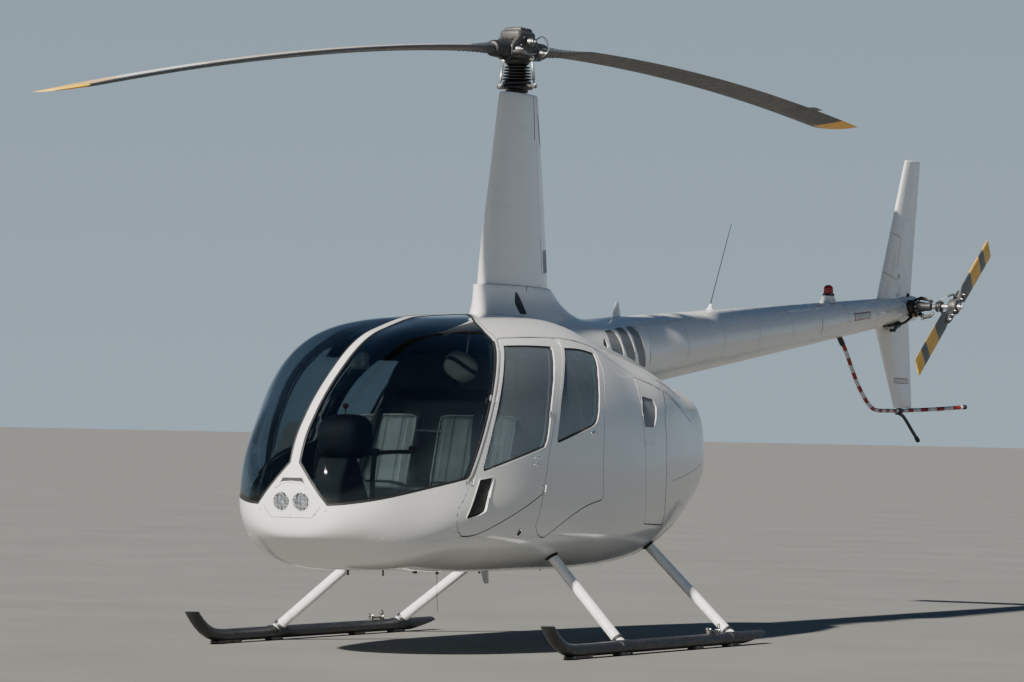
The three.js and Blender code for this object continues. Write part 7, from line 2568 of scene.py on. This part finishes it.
d_, u_, w_ = frame_at(ax1 - ax0)
tt = np.linspace(0, 2 * math.pi, 64, endpoint=False)
for a_, r_ in prof:
    V.extend((ax0 + d_ * a_ + r_ * (np.cos(tt)[:, None] * u_ + np.sin(tt)[:, None] * w_)).tolist())
n_p = len(prof)
for i in range(n_p):
    j = (i + 1) % n_p
    for k_ in range(64):
        l_ = (k_ + 1) % 64
        F.append((i * 64 + k_, i * 64 + l_, j * 64 + l_, j * 64 + k_))
o = sharp(orient(new("exhaust_stack", V, F, BURNT)), 40)
ride(o, "airframe")
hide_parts("exhaust_pipe")
# seal ring round the exhaust outlet
pts, nn = [], []
for a_ in np.linspace(0, 2 * math.pi, 60, endpoint=False):
    q = np.array([107 * math.cos(a_), 1750, 1000 + 107 * math.sin(a_)])
    best = None
    for y_ in np.linspace(1600, 1909, 310):
        p_ = np.array([112 * math.cos(a_), y_, 1010 - (y_ - 1700) * 0.2 + 112 * math.sin(a_)])
        if gauge(p_)[0] < 1:
            best = p_
    if best is not None:
        pts.append(best)
p_, n_ = snap(pts)
strip_on("exhaust_seal_ring", p_, n_, 7, 1.4, STEEL, closed=True)


# ------------------------------------------------------------------ stage
def stage():
    cam = bpy.data.cameras.new("camera")
    co = bpy.data.objects.new("camera", cam)
    bpy.context.scene.collection.objects.link(co)
    yaw, pitch, roll = 2.03777145, 0.018456049, 0.0196005940
    f = Vector((math.cos(pitch) * math.cos(yaw), math.cos(pitch) * math.sin(yaw), math.sin(pitch)))
    r = f.cross(Vector((0, 0, 1))).normalized()
    u = r.cross(f)
    r2 = r * math.cos(roll) + u * math.sin(roll)
    u2 = -r * math.sin(roll) + u * math.cos(roll)
    m = Matrix((r2, u2, -f)).transposed().to_4x4()
    m.translation = Vector((11.7445571, -23.2933206 - CENTRE_Y / 1000, 1.23541696))
    co.matrix_world = m
    cam.sensor_width = 36
    cam.lens = 4583.68295 / 1024 * 36
    cam.clip_end = 1500
    bpy.context.scene.camera = co
    # floor
    t = Tree("pale_floor")
    base = t.ramp(t.noise(0.6, 5, 0.6), (0.35, (0.141, 0.139, 0.129)), (0.65, (0.163, 0.160, 0.149)))
    t.done(base, t.remap(t.noise(3.0, 4, 0.6), 0.3, 0.7, 0.75, 0.9), t.bump(t.noise(60.0, 4, 0.6), 0.1, 0.002))
    fl = new("floor", [(-400, -400, 0), (400, -400, 0), (400, 400, 0), (-400, 400, 0)], [(0, 1, 2, 3)], [t.m], False, False)
    # sky: soft pale blue above, lighter at the horizon
    w = bpy.data.worlds.new("sky")
    bpy.context.scene.world = w
    w.use_nodes = True
    nt = w.node_tree
    bg = nt.nodes["Background"]
    tc = nt.nodes.new("ShaderNodeTexCoord")
    sep = nt.nodes.new("ShaderNodeSeparateXYZ")
    nt.links.new(tc.outputs["Generated"], sep.inputs[0])
    ramp = nt.nodes.new("ShaderNodeValToRGB")
    nt.links.new(sep.outputs["Z"], ramp.inputs["Fac"])
    r = ramp.color_ramp
    r.elements[0].position, r.elements[0].color = 0.0, (0.42, 0.54, 0.64, 1)
    r.elements[1].position, r.elements[1].color = 0.7, (0.037, 0.074, 0.156, 1)
    for at_, c in ((0.09, (0.37, 0.48, 0.58)), (0.24, (0.095, 0.145, 0.22))):
        e = r.elements.new(at_)
        e.color = (*c, 1)
    nt.links.new(ramp.outputs["Color"], bg.inputs["Color"])
    bg.inputs["Strength"].default_value = 0.85

    def lamp(kind, name, loc, aim, energy, colour, **kw):
        d = bpy.data.lights.new(name, kind)
        d.energy, d.color = energy, colour
        for k, v in kw.items():
            setattr(d, k, v)
        o = bpy.data.objects.new(name, d)
        o.location = loc
        o.rotation_euler = (Vector(aim) - Vector(loc)).to_track_quat("-Z", "Y").to_euler()
        bpy.context.scene.collection.objects.link(o)
        return o

    # key light from ahead of the nose, a little to the right
    lamp("SUN", "key", (-1.7, -24.5, 18.4), (0, 0, 1.2), 10.8, (1.0, 0.95, 0.86), angle=0.03)


drop(*[o for o in (outer, inner) if o is not None])
stage()
